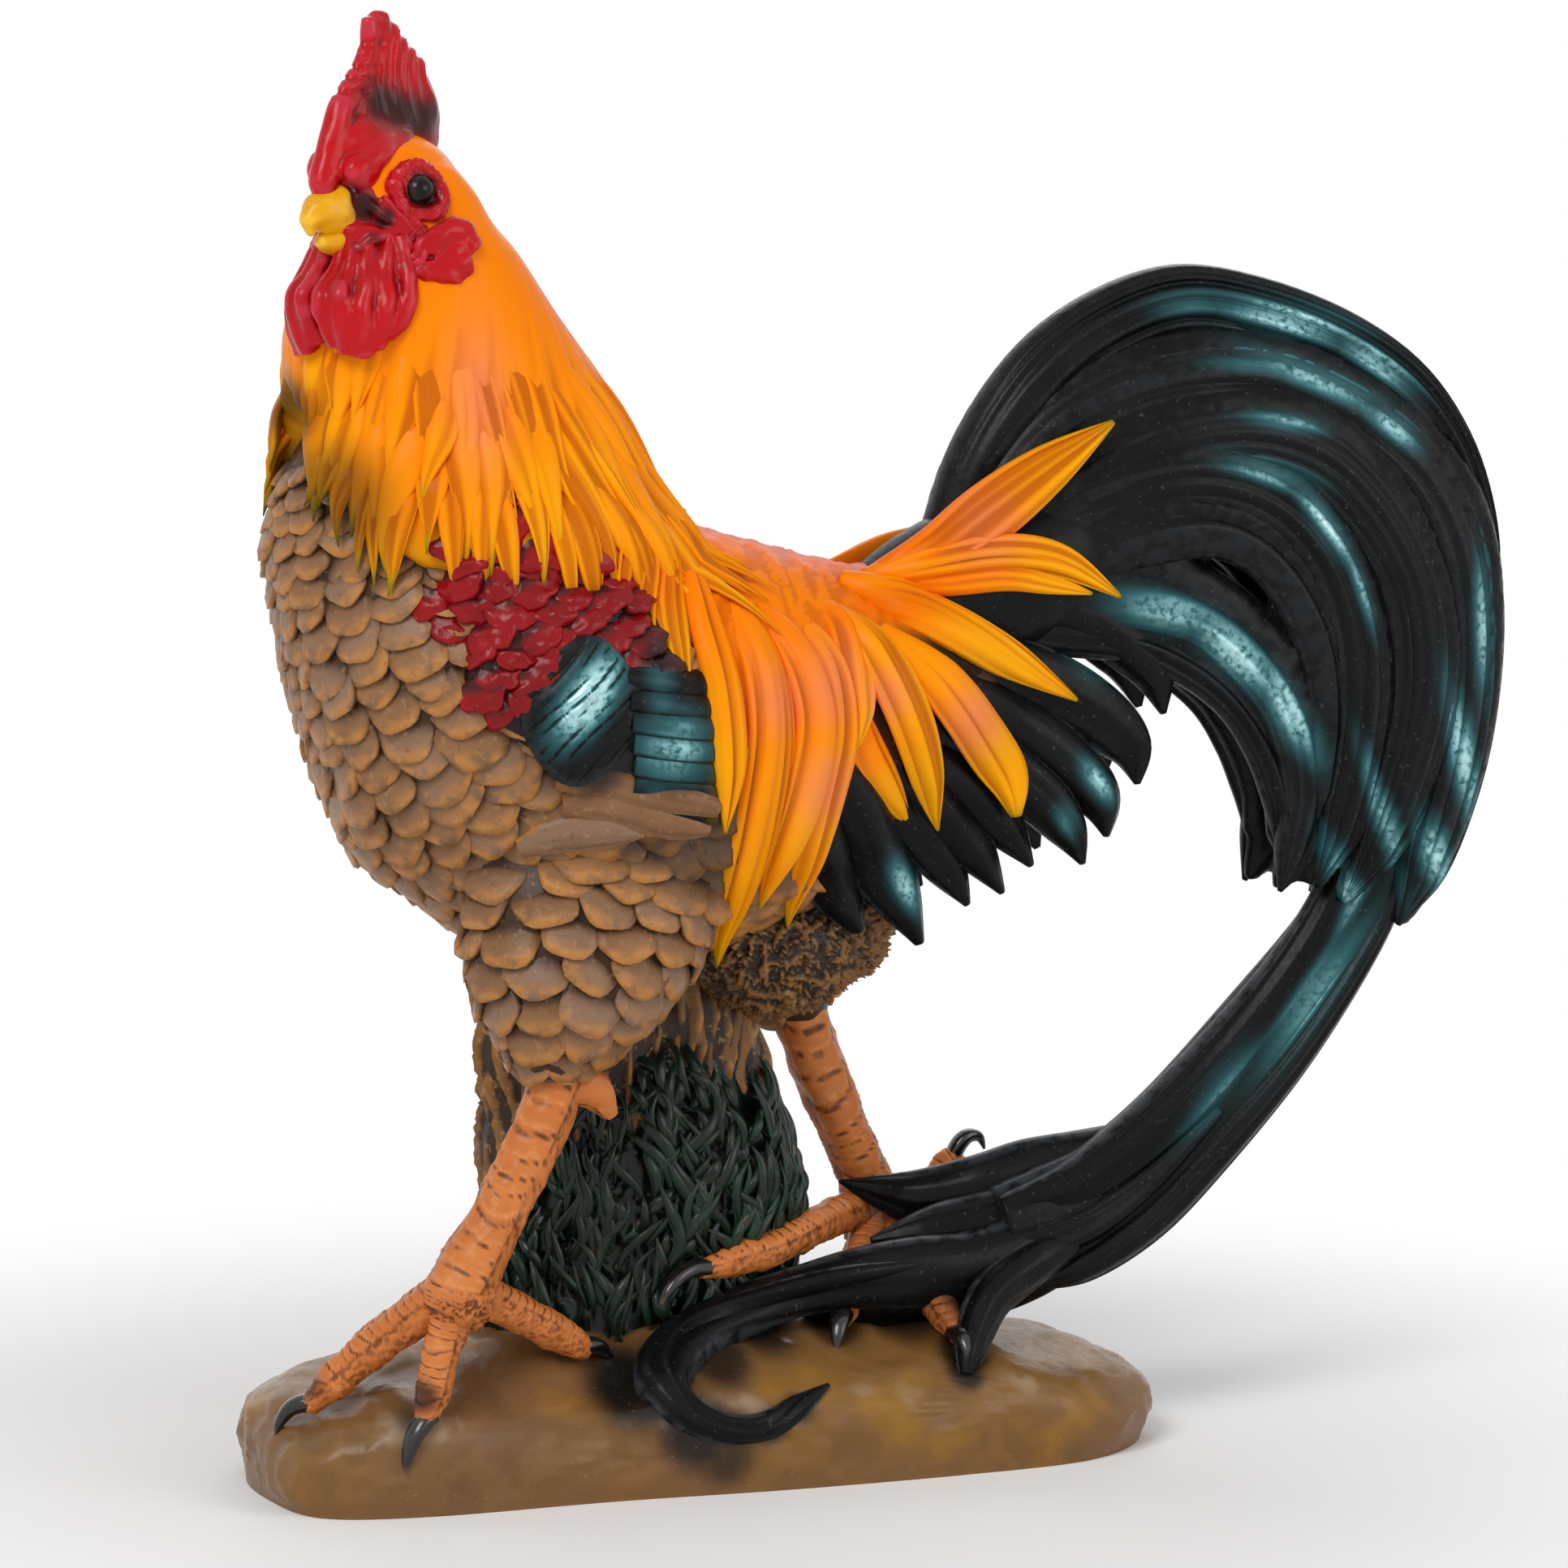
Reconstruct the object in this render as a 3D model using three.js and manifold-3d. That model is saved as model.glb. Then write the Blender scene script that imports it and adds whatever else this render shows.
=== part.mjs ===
// Rooster statuette: a painted, hollow-cast resin figure of a rooster striding over a rock.
//
// Units are millimetres and +Z is up. The rooster walks towards -X, so its left side is at -Y.
// The origin lies on the flat underside of the base, below the middle of the figure.
// Every piece is a closed solid. Where one piece is glued to another it is cut back to its
// neighbour's shape, grown by the glue gap, so the pieces seat on each other at any size.

import * as THREE from 'three';
import { mergeVertices } from 'three/addons/utils/BufferGeometryUtils.js';
import Module from 'manifold-3d';

const wasm = await Module();
wasm.setup();

// The glue gap between neighbouring castings.
const GLUE_GAP = 0.3;

// The rock base, its hollow underside and the plate that closes it.
const BASE_LENGTH = 258;
const BASE_DEPTH = 98;
const ROCK_HEIGHT = 43;
const BASE_WALL = 6;
const PLATE_THICKNESS = 4;
const PLATE_LEDGE = 5;
const VENT_DIAMETER = 10;

// The tree stump that carries the body's weight between the legs.
const STUMP_LENGTH = 86;
const STUMP_DEPTH = 54;
const STUMP_WALL = 6;
const STUMP_CENTRE_X = -17;
const STUMP_CENTRE_Y = 18;

// The body: how high its axis lies above the rock, and how far forward the breast reaches.
const BODY_LENGTH = 214;
const BODY_WIDTH = 108;
const BODY_HEIGHT = 136;
const BODY_WALL = 6;
const BODY_LIFT = 162;
const BREAST_X = -119;

// The neck, the head and what grows on the head.
const NECK_HEIGHT = 141;
const HACKLE_THICKNESS = 5;
const HEAD_LENGTH = 46;
const HEAD_WIDTH = 38;
const HEAD_HEIGHT = 38;
const HEAD_TURN = 34;
const COMB_HEIGHT = 46;
const COMB_ROOT = 4;
const COMB_LENGTH = 60;
const COMB_THICKNESS = 9;
const BEAK_LENGTH = 19;
const EYE_DIAMETER = 9;
const EYE_RING_LENGTH = 20;
const WATTLE_LENGTH = 33;
const EARLOBE_LENGTH = 24;

// The legs, the feet and the steel rod inside each leg.
const LEG_DIAMETER = 17;
const TOE_DIAMETER = 10;
const CLAW_LENGTH = 10;
const ROD_DIAMETER = 5;
const ROD_END_DEPTH = 12;

// The feathers.
const WING_THICKNESS = 22;
const FEATHER_THICKNESS = 7;
const SICKLE_THICKNESS = 12;
const TAIL_CORE_WIDTH = 40;
const LONG_SICKLE_THICKNESS = 17;
const GRASS_HEIGHT = 74;

// Places that several pieces share.
const BODY_AXIS_Z = ROCK_HEIGHT + BODY_LIFT;
const ROCK_CREST = new THREE.Vector2(-18, 6);
const HEAD_CENTRE = new THREE.Vector3(-91, -18, BODY_AXIS_Z + NECK_HEIGHT);
const TAIL_ROOT = new THREE.Vector3(BREAST_X + 0.92 * BODY_LENGTH, 0, BODY_AXIS_Z + 0.243 * BODY_HEIGHT);
const SIDES = [{ name: 'left', sign: -1 }, { name: 'right', sign: 1 }];

// A smooth value between the rows of a table; at counts rows from 0 and may lie between two.
function rowAt(rows, at) {
  const last = rows.length - 1;
  const low = Math.min(Math.floor(at), last - 1);
  const part = at - low;
  const before = rows[Math.max(low - 1, 0)];
  const after = rows[Math.min(low + 2, last)];
  return rows[low].map((start, column) => {
    const end = rows[low + 1][column];
    const bend = 2 * before[column] - 5 * start + 4 * end - after[column];
    const twist = 3 * start - before[column] - 3 * end + after[column];
    return start + 0.5 * part * (end - before[column] + part * (bend + part * twist));
  });
}

// A closed ring of points round a centre, spanned by two half axes.
function ringOf(centre, across, along, count) {
  const ring = [];
  for (let i = 0; i < count; i += 1) {
    const angle = (2 * Math.PI * i) / count;
    const point = centre.clone().addScaledVector(across, Math.cos(angle));
    ring.push(point.addScaledVector(along, Math.sin(angle)));
  }
  return ring;
}

// The closed skin over a row of rings, with a fan over each end.
function skinOver(rings) {
  const count = rings[0].length;
  const points = rings.flat();
  const faces = [];
  for (let r = 0; r + 1 < rings.length; r += 1) {
    for (let i = 0; i < count; i += 1) {
      const next = (i + 1) % count;
      const [a, b] = [r * count + i, r * count + next];
      faces.push(a, b, b + count, a, b + count, a + count);
    }
  }
  for (const [ring, start, turned] of [[rings[0], 0, true], [rings.at(-1), points.length - count, false]]) {
    const middle = ring.reduce((sum, point) => sum.add(point), new THREE.Vector3()).divideScalar(count);
    const centre = points.push(middle) - 1;
    for (let i = 0; i < count; i += 1) {
      const pair = [start + i, start + ((i + 1) % count)];
      faces.push(...(turned ? pair.reverse() : pair), centre);
    }
  }
  const geometry = new THREE.BufferGeometry().setFromPoints(points);
  geometry.setIndex(faces);
  return geometry;
}

// Six times the volume that a triangle mesh encloses, below zero when it faces inward.
function signedSize(positions, triangles) {
  const corner = (k) => new THREE.Vector3(positions[3 * k], positions[3 * k + 1], positions[3 * k + 2]);
  let total = 0;
  for (let i = 0; i < triangles.length; i += 3) {
    const [a, b, c] = [corner(triangles[i]), corner(triangles[i + 1]), corner(triangles[i + 2])];
    total += a.dot(b.cross(c));
  }
  return total;
}

// The solid inside a closed geometry, facing out.
function solidOf(geometry) {
  const bare = new THREE.BufferGeometry();
  bare.setAttribute('position', geometry.getAttribute('position'));
  bare.setIndex(geometry.getIndex());
  const merged = mergeVertices(bare, 1e-4);
  const vertProperties = new Float32Array(merged.getAttribute('position').array);
  const triVerts = new Uint32Array(merged.getIndex().array);
  if (signedSize(vertProperties, triVerts) < 0) {
    triVerts.reverse();
  }
  return new wasm.Manifold(new wasm.Mesh({ numProp: 3, vertProperties, triVerts }));
}

// The main body of a solid, without crumbs that a cut has left.
function mainBody(solid) {
  const bodies = solid.simplify(GLUE_GAP / 4).decompose();
  bodies.sort((a, b) => b.volume() - a.volume());
  return bodies[0];
}

// A piece as its own form, cut back from its neighbours' forms grown by the glue gap.
function seated(form, neighbours) {
  let solid = form(0);
  for (const neighbour of neighbours) {
    solid = solid.subtract(neighbour(GLUE_GAP));
  }
  return solid;
}

// Several forms grown together into one.
function joined(forms) {
  return (grow) => forms.map((form) => form(grow)).reduce((sum, solid) => sum.add(solid));
}

// A strand: oval rings along a curve through points, thin towards the flat direction.
// Each row of sizes holds the half width and the half thickness at the point of the same number.
function strand(points, sizes, flat, { steps = 2, sides = 8 } = {}) {
  const curve = new THREE.CatmullRomCurve3(points);
  const count = (points.length - 1) * steps;
  return (grow) => {
    const rings = [];
    for (let i = 0; i <= count; i += 1) {
      const tangent = curve.getTangent(i / count);
      const thin = flat.clone().addScaledVector(tangent, -flat.dot(tangent)).normalize();
      const wide = tangent.clone().cross(thin);
      const [width, thickness] = rowAt(sizes, i / steps).map((size) => Math.max(size, 0.5) + grow);
      const end = i === 0 ? -grow : i === count ? grow : 0;
      const centre = curve.getPoint(i / count).addScaledVector(tangent, end);
      rings.push(ringOf(centre, wide.multiplyScalar(width), thin.multiplyScalar(thickness), sides));
    }
    return solidOf(skinOver(rings));
  };
}

// An upright form: level oval rings, each row its height, centre x and y, and half sizes in x and y.
function upright(rows, { steps = 2, sides = 20 } = {}) {
  const count = (rows.length - 1) * steps;
  return (grow) => {
    const rings = [];
    for (let i = 0; i <= count; i += 1) {
      const [z, x, y, halfX, halfY] = rowAt(rows, i / steps);
      const end = i === 0 ? -grow : i === count ? grow : 0;
      const centre = new THREE.Vector3(x, y, z + (rows.at(-1)[0] > rows[0][0] ? end : -end));
      const across = new THREE.Vector3(halfX + grow, 0, 0);
      rings.push(ringOf(centre, across, new THREE.Vector3(0, halfY + grow, 0), sides));
    }
    return solidOf(skinOver(rings));
  };
}

// An egg: a sphere drawn out to three half sizes, turned and moved to its centre.
function egg(centre, halves, turn = new THREE.Euler(), sides = 10) {
  return (grow) => {
    const geometry = new THREE.SphereGeometry(1, sides, Math.round(0.6 * sides));
    geometry.scale(halves.x + grow, halves.y + grow, halves.z + grow);
    geometry.applyMatrix4(new THREE.Matrix4().makeRotationFromEuler(turn));
    geometry.translate(centre.x, centre.y, centre.z);
    return solidOf(geometry);
  };
}

// A round bar between two points.
function bar(start, end, radius, sides = 16) {
  return (grow) => {
    const along = end.clone().sub(start);
    const round = radius + grow;
    const geometry = new THREE.CylinderGeometry(round, round, along.length() + 2 * grow, sides);
    const upward = new THREE.Vector3(0, 1, 0);
    geometry.applyQuaternion(new THREE.Quaternion().setFromUnitVectors(upward, along.clone().normalize()));
    const middle = start.clone().add(end).multiplyScalar(0.5);
    geometry.translate(middle.x, middle.y, middle.z);
    return solidOf(geometry);
  };
}

const outlineCount = 28;

// The rock's outline seen from above, drawn in by an inset; shares of half its length and depth.
function rockOutline(inset = 0) {
  const shares = [
    [-1.0, -0.35], [-0.93, -0.85], [-0.7, -1.0], [-0.3, -0.97], [0.1, -1.0], [0.5, -0.96], [0.8, -0.84],
    [0.97, -0.45], [1.0, 0.0], [0.92, 0.55], [0.68, 0.88], [0.3, 1.0], [-0.2, 0.95], [-0.6, 1.0],
    [-0.88, 0.78], [-1.0, 0.25],
  ];
  const corners = shares.map(([x, y]) => new THREE.Vector3((x * BASE_LENGTH) / 2, (y * BASE_DEPTH) / 2, 0));
  const curve = new THREE.CatmullRomCurve3(corners, true);
  const points = curve.getPoints(outlineCount).slice(0, outlineCount);
  return points.map((point) => point.setLength(point.length() - inset));
}

// The rock's rings: how far each lies from the crest, as a share, and how high, as a share.
const ROCK_RINGS = [
  [0.97, 0], [0.99, 0.13], [1.0, 0.28], [0.985, 0.42], [0.94, 0.53], [0.86, 0.62], [0.72, 0.71],
  [0.55, 0.83], [0.35, 0.94], [0.15, 1.0],
];

// The height of the rock's upper side above a place on the ground.
function rockTop(x, y) {
  const outline = rockOutline();
  const place = new THREE.Vector2(x, y).sub(ROCK_CREST);
  let share = 0;
  for (let i = 0; i < outline.length; i += 1) {
    const a = new THREE.Vector2(outline[i].x, outline[i].y).sub(ROCK_CREST);
    const next = outline[(i + 1) % outlineCount];
    const b = new THREE.Vector2(next.x, next.y).sub(ROCK_CREST);
    const area = a.cross(b);
    const [alongA, alongB] = [place.cross(b) / area, a.cross(place) / area];
    if (alongA >= 0 && alongB >= 0) {
      share = alongA + alongB;
    }
  }
  const upper = ROCK_RINGS.slice(2);
  if (share >= 1) {
    return upper[0][1] * ROCK_HEIGHT;
  }
  const outer = upper.findLast(([reach]) => reach >= share);
  const inner = upper[upper.indexOf(outer) + 1] ?? [0, 1];
  const part = (outer[0] - share) / (outer[0] - inner[0]);
  return (outer[1] + part * (inner[1] - outer[1])) * ROCK_HEIGHT;
}

// The rock as rings about its crest; an inset draws every ring in, and a drop lowers its upper side.
function rockForm(inset, drop, bottom) {
  const outline = rockOutline(inset);
  const rings = ROCK_RINGS.map(([share, height]) => outline.map((point) => {
    const x = ROCK_CREST.x + share * (point.x - ROCK_CREST.x);
    const y = ROCK_CREST.y + share * (point.y - ROCK_CREST.y);
    const z = height === 0 ? bottom : Math.max(height * ROCK_HEIGHT - drop, bottom + 0.5);
    return new THREE.Vector3(x, y, z);
  }));
  return solidOf(skinOver(rings));
}

const rock = (grow) => rockForm(-grow, -grow, -grow);

// A flat slab with the rock's outline, drawn in.
function rockSlab(inset, thickness, bottom) {
  const shape = new THREE.Shape(rockOutline(inset).map((point) => new THREE.Vector2(point.x, point.y)));
  const geometry = new THREE.ExtrudeGeometry(shape, { depth: thickness, bevelEnabled: false });
  geometry.translate(0, 0, bottom);
  return solidOf(geometry);
}

// The stump from the rock to the belly, as level rings: share of its height, how much each ring is
// moved along x, and how much wider each half size is than the stump's own.
const STUMP_RINGS = [[0, 0, 4, 0], [0.25, 1, -2, 0], [0.5, 0, -1, -1], [0.75, -1, 0, -1], [1, 0, -2, -2]];
const STUMP_FOOT = 0.4 * ROCK_HEIGHT;
const STUMP_TOP = BODY_AXIS_Z - 48;
const stump = upright(STUMP_RINGS.map(([share, shift, widerX, widerY]) => [
  STUMP_FOOT + share * (STUMP_TOP - STUMP_FOOT), STUMP_CENTRE_X + shift, STUMP_CENTRE_Y,
  STUMP_LENGTH / 2 + widerX, STUMP_DEPTH / 2 + widerY,
]), { steps: 1, sides: 18 });

// The bore inside the stump, open to the hollow rock below and to the hollow body above.
const BORE_INSET = STUMP_WALL + 3;
const stumpBore = upright([BASE_WALL, BODY_AXIS_Z].map((z) => [
  z, STUMP_CENTRE_X, STUMP_CENTRE_Y, STUMP_LENGTH / 2 - BORE_INSET, STUMP_DEPTH / 2 - BORE_INSET,
]), { steps: 1, sides: 14 });

// The torso's rings from breast to rump: share of the length, then the middle and the half height as
// shares of the height, and the half width as a share of the width.
const TORSO_ROWS = [
  [0.0, 0.37, 0.03, 0.04], [0.03, 0.32, 0.22, 0.22], [0.09, 0.22, 0.42, 0.34],
  [0.18, 0.125, 0.456, 0.435], [0.32, 0.022, 0.5, 0.49], [0.46, -0.037, 0.456, 0.5],
  [0.6, -0.037, 0.397, 0.454], [0.74, -0.015, 0.316, 0.36], [0.845, 0.03, 0.257, 0.287],
  [0.93, 0.06, 0.184, 0.194], [1.0, 0.08, 0.03, 0.03],
];

// One torso section in millimetres.
function torsoSection(at) {
  const [share, middle, halfHeight, halfWidth] = rowAt(TORSO_ROWS, at);
  return {
    x: BREAST_X + share * BODY_LENGTH,
    z: BODY_AXIS_Z + middle * BODY_HEIGHT,
    halfHeight: halfHeight * BODY_HEIGHT,
    halfWidth: halfWidth * BODY_WIDTH,
  };
}

// The torso; a grow below zero gives the hollow inside a wall of that thickness.
function torso(grow) {
  const rings = [];
  const steps = 1.5 * (TORSO_ROWS.length - 1);
  const sides = grow < 0 ? 12 : 18;
  const [front, back] = [BREAST_X - Math.min(grow, 0), BREAST_X + BODY_LENGTH + Math.min(grow, 0)];
  for (let i = 0; i <= steps; i += 1) {
    const section = torsoSection(i / 1.5);
    const inside = section.x >= front - 1e-6 && section.x <= back + 1e-6;
    if (inside && Math.min(section.halfHeight, section.halfWidth) + grow > 1) {
      const end = i === 0 ? -Math.max(grow, 0) : i === steps ? Math.max(grow, 0) : 0;
      const centre = new THREE.Vector3(section.x + end, 0, section.z);
      const across = new THREE.Vector3(0, section.halfWidth + grow, 0);
      rings.push(ringOf(centre, across, new THREE.Vector3(0, 0, section.halfHeight + grow), sides));
    }
  }
  return solidOf(skinOver(rings));
}

// The torso's section at a place along x.
function sectionAt(x) {
  let [low, high] = [0, TORSO_ROWS.length - 1];
  for (let i = 0; i < 30; i += 1) {
    const middle = (low + high) / 2;
    [low, high] = torsoSection(middle).x < x ? [middle, high] : [low, middle];
  }
  return torsoSection(low);
}

// How far the torso's side lies from the middle plane, at a place given by x and z.
function torsoSide(x, z) {
  const section = sectionAt(x);
  const height = (z - section.z) / section.halfHeight;
  return Math.abs(height) < 1 ? section.halfWidth * Math.sqrt(1 - height * height) : 0;
}

// The hackle's outer bell from the head down over the shoulders; a thickness draws it in to the neck.
function neckRows(thickness) {
  const top = HEAD_CENTRE.z;
  return [
    [top - 6, HEAD_CENTRE.x + 4, HEAD_CENTRE.y, 20 - thickness, 18 - thickness],
    [top - 14, HEAD_CENTRE.x + 7, -14, 24 - thickness, 22 - thickness],
    [top - 32, -79, -10, 37 - thickness, 30 - thickness],
    [top - 52, -72, -6, 44 - thickness, 38 - thickness],
    [top - 77, -66, -3, 51 - thickness, 47 - thickness],
    [top - 92, -60, -1, 57 - thickness, 50 - thickness],
    [top - 102, -54, 0, 54 - thickness, 46 - thickness],
  ];
}

const bell = upright(neckRows(0), { steps: 1 });
const neck = upright(neckRows(HACKLE_THICKNESS), { steps: 1 });
const neckHollow = upright(neckRows(HACKLE_THICKNESS + BODY_WALL).slice(2), { steps: 1, sides: 12 });
const trunk = joined([torso, neck]);

// An upright form's side at a place given by x and z, as a y coordinate on the chosen side.
function uprightSide(rows, x, z, sign) {
  let at = 0;
  while (at < rows.length - 2 && rows[at + 1][0] > z) {
    at += 1;
  }
  const part = THREE.MathUtils.clamp((rows[at][0] - z) / (rows[at][0] - rows[at + 1][0]), 0, 1);
  const [, middleX, middleY, halfX, halfY] = rows[at].map((v, k) => v + part * (rows[at + 1][k] - v));
  const reach = Math.min(Math.abs((x - middleX) / halfX), 1);
  return middleY + sign * halfY * Math.sqrt(1 - reach * reach);
}

// A place on the body's side view: a share of the body's length from the breast, and how far above the
// body's axis, as a share of its height.
function onBody([share, rise]) {
  return new THREE.Vector2(BREAST_X + share * BODY_LENGTH, BODY_AXIS_Z + rise * BODY_HEIGHT);
}

// A leaf-shaped feather on the bird's side: its line as places on the side view, and its half widths.
// A lift holds it off the side below it, and least keeps it that far from the middle plane.
function sideFeather(line, widths, sign, options = {}) {
  const { lift = 0, least = 0, half = FEATHER_THICKNESS / 2, sides = 4 } = options;
  const spans = 4;
  const curve = new THREE.SplineCurve(line.map(onBody));
  const points = curve.getPoints(spans).map(({ x, y: z }) => (
    new THREE.Vector3(x, sign * (Math.max(torsoSide(x, z), thighSide(x, z, sign), least) + lift), z)
  ));
  const sizes = points.map((point, i) => {
    const [width] = rowAt(widths.map((value) => [value]), (i * (widths.length - 1)) / spans);
    return [width, Math.min(half, 0.4 + width)];
  });
  return strand(points, sizes, new THREE.Vector3(0, sign, 0.25), { steps: 1, sides });
}

// The wing's padded shoulder and its short flight feathers behind it.
function wingForm(sign) {
  const line = [[0.164, 0.309], [0.238, 0.279], [0.313, 0.184], [0.379, 0.074], [0.425, -0.015]];
  return sideFeather(line, [7, 23, 30, 27, 10], sign, { half: WING_THICKNESS / 2, lift: -3, sides: 10 });
}

function flightForm(sign) {
  const feathers = [0, 0.074, 0.147, 0.221].map((drop) => {
    const top = [[0.35, 0.199], [0.416, 0.169], [0.472, 0.125], [0.509, 0.066]];
    const line = top.map(([share, rise]) => [share, rise - drop]);
    return sideFeather(line, [5, 8, 8, 3], sign, { half: WING_THICKNESS / 4, lift: 2 });
  });
  return joined(feathers);
}

// The hackle's main feathers: ribs that run down the bell from the head and end in pointed tips over the
// shoulders. Each row is the x of the rib on the shoulder, the x of its tip, and how far the tip and the
// rib's upper end lie above the body's axis.
const HACKLE_ROOT_RISE = 75;
const HACKLE_RIB_SIZES = [[3.5, 2.5], [6, 4], [8, 5.5], [8, 5], [1, 1]];

// One level section of the bell at a height.
function bellSection(z) {
  const rows = neckRows(0);
  const at = Math.min(Math.max(rows.findIndex((row) => row[0] <= z), 1), rows.length - 1);
  const part = THREE.MathUtils.clamp((rows[at - 1][0] - z) / (rows[at - 1][0] - rows[at][0]), 0, 1);
  return rows[at - 1].map((value, k) => value + part * (rows[at][k] - value));
}

function hackleTips(sign) {
  const tips = [
    [-104, -110, 57, 82], [-91, -94, 54, 96], [-79, -77, 44, 110], [-67, -63, 47, 112], [-55, -44, 42, 112],
    [-44, -27, 30, 112], [-34, -12, 23, 112],
  ];
  const rootZ = BODY_AXIS_Z + HACKLE_ROOT_RISE;
  const [, rootMiddle, , rootHalf] = bellSection(rootZ);
  return tips.map(([rootX, tipX, tipRise, topRise]) => {
    const neckPlaces = [topRise, (topRise + HACKLE_ROOT_RISE) / 2].map((rise) => {
      const [z, middleX, , halfX] = bellSection(BODY_AXIS_Z + rise);
      return [middleX + ((rootX - rootMiddle) / rootHalf) * halfX, z];
    });
    const places = [
      ...neckPlaces, [rootX, rootZ], [(rootX + tipX) / 2, (rootZ + BODY_AXIS_Z + tipRise) / 2],
      [tipX, BODY_AXIS_Z + tipRise],
    ];
    const points = places.map(([x, z]) => {
      const side = Math.max(Math.abs(uprightSide(neckRows(0), x, z, sign)) - 2, torsoSide(x, z) + 2);
      return new THREE.Vector3(x, sign * side, z);
    });
    return strand(points, HACKLE_RIB_SIZES, new THREE.Vector3(0, sign, 0), { steps: 1, sides: 4 });
  });
}

// The rib down the nape.
const napeRib = strand(
  [[118, -2], [97, -2], [75, -3], [52, -4], [38, 4]].map(([rise, inset]) => {
    const [, middleX, middleY, halfX] = bellSection(BODY_AXIS_Z + rise);
    return new THREE.Vector3(middleX + halfX + inset, middleY, BODY_AXIS_Z + rise);
  }),
  HACKLE_RIB_SIZES, new THREE.Vector3(1, 0, 0.4), { steps: 1, sides: 4 },
);

const hackle = joined([bell, napeRib, ...SIDES.flatMap((side) => hackleTips(side.sign))]);

// The head's own frame: forward along the beak, outward to the bird's left, and up.
function headPlace(forward, left, up) {
  const turn = THREE.MathUtils.degToRad(HEAD_TURN);
  const ahead = new THREE.Vector3(-Math.cos(turn), -Math.sin(turn), 0).multiplyScalar(forward);
  const aside = new THREE.Vector3(Math.sin(turn), -Math.cos(turn), 0).multiplyScalar(left);
  return HEAD_CENTRE.clone().add(ahead).add(aside).add(new THREE.Vector3(0, 0, up));
}

const HEAD_YAW = new THREE.Euler(0, 0, THREE.MathUtils.degToRad(HEAD_TURN));
const HEAD_SIDEWAYS = headPlace(0, 1, 0).sub(HEAD_CENTRE);
const HEAD_HALVES = new THREE.Vector3(HEAD_LENGTH, HEAD_WIDTH, HEAD_HEIGHT).multiplyScalar(0.5);
const head = egg(HEAD_CENTRE, HEAD_HALVES, HEAD_YAW, 14);

// The comb: a toothed blade along the middle of the head, sunk into the crown.
function comb(grow) {
  const outline = [
    [0.45, -0.04], [0.5, 0.1], [0.44, 0.34], [0.39, 0.3], [0.32, 0.66], [0.26, 0.6], [0.14, 1.0],
    [0.07, 0.78], [0.0, 0.92], [-0.06, 0.68], [-0.17, 0.74], [-0.22, 0.48], [-0.34, 0.48],
    [-0.36, 0.12], [-0.28, -0.1], [0.2, -0.15],
  ];
  const corners = outline.map(([x, z]) => new THREE.Vector2(-x * COMB_LENGTH, z * COMB_HEIGHT));
  const thickness = COMB_THICKNESS - 3 + 2 * grow;
  const bevel = { bevelSize: 1.5 + grow, bevelThickness: 1.5, bevelSegments: 1, bevelOffset: -1.5 };
  const geometry = new THREE.ExtrudeGeometry(new THREE.Shape(corners), { depth: thickness, ...bevel });
  geometry.translate(0, 0, -thickness / 2);
  geometry.rotateX(Math.PI / 2);
  geometry.rotateZ(HEAD_YAW.z);
  geometry.translate(HEAD_CENTRE.x, HEAD_CENTRE.y, HEAD_CENTRE.z + COMB_ROOT);
  return solidOf(geometry);
}

// The two halves of the beak: short, blunt and hooked, rooted inside the head.
function beakForm(upper) {
  const root = HEAD_LENGTH / 2 - 7;
  const tip = HEAD_LENGTH / 2 - 7 + BEAK_LENGTH;
  const rise = upper ? 1.5 : -8;
  const fall = upper ? -6 : -9;
  const reach = upper ? tip : tip - 5;
  const points = [
    headPlace(root, 0, rise),
    headPlace(root + 0.5 * (reach - root), 0, rise + (upper ? 0 : -0.5)),
    headPlace(reach, 0, fall),
  ];
  const sizes = upper ? [[9, 7.5], [7, 6], [1.2, 1.5]] : [[8, 4.5], [6, 3.6], [1.2, 1.2]];
  return strand(points, sizes.map(([side, height]) => [height, side]), HEAD_SIDEWAYS, { steps: 2, sides: 8 });
}

const upperBeak = beakForm(true);
const lowerBeak = beakForm(false);

// The fleshy pieces on each side of the head.
function onHead(forward, sign, left, up, halves) {
  return egg(headPlace(forward, -sign * left, up), new THREE.Vector3(...halves), HEAD_YAW);
}

const CHEEK = HEAD_WIDTH / 2;
const eye = (sign) => onHead(8, sign, CHEEK - 2, 4, [EYE_DIAMETER / 2, 4.5, EYE_DIAMETER / 2]);
const eyeRing = (sign) => onHead(7, sign, CHEEK - 3, 3.5, [EYE_RING_LENGTH / 2, 4.2, 0.42 * EYE_RING_LENGTH]);
const earlobe = (sign) => onHead(-2, sign, CHEEK - 1, -13, [EARLOBE_LENGTH / 2, 5, 0.36 * EARLOBE_LENGTH]);

function wattle(sign) {
  const top = -14;
  const points = [
    headPlace(HEAD_LENGTH / 2 - 9, -sign * 7, top),
    headPlace(HEAD_LENGTH / 2 - 5, -sign * 10, top - 0.4 * WATTLE_LENGTH),
    headPlace(HEAD_LENGTH / 2 - 5, -sign * 12, top - 0.8 * WATTLE_LENGTH),
  ];
  const sizes = [[11, 4.5], [12, 5.5], [6, 4]];
  return strand(points, sizes, HEAD_SIDEWAYS, { steps: 2, sides: 10 });
}

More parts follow.
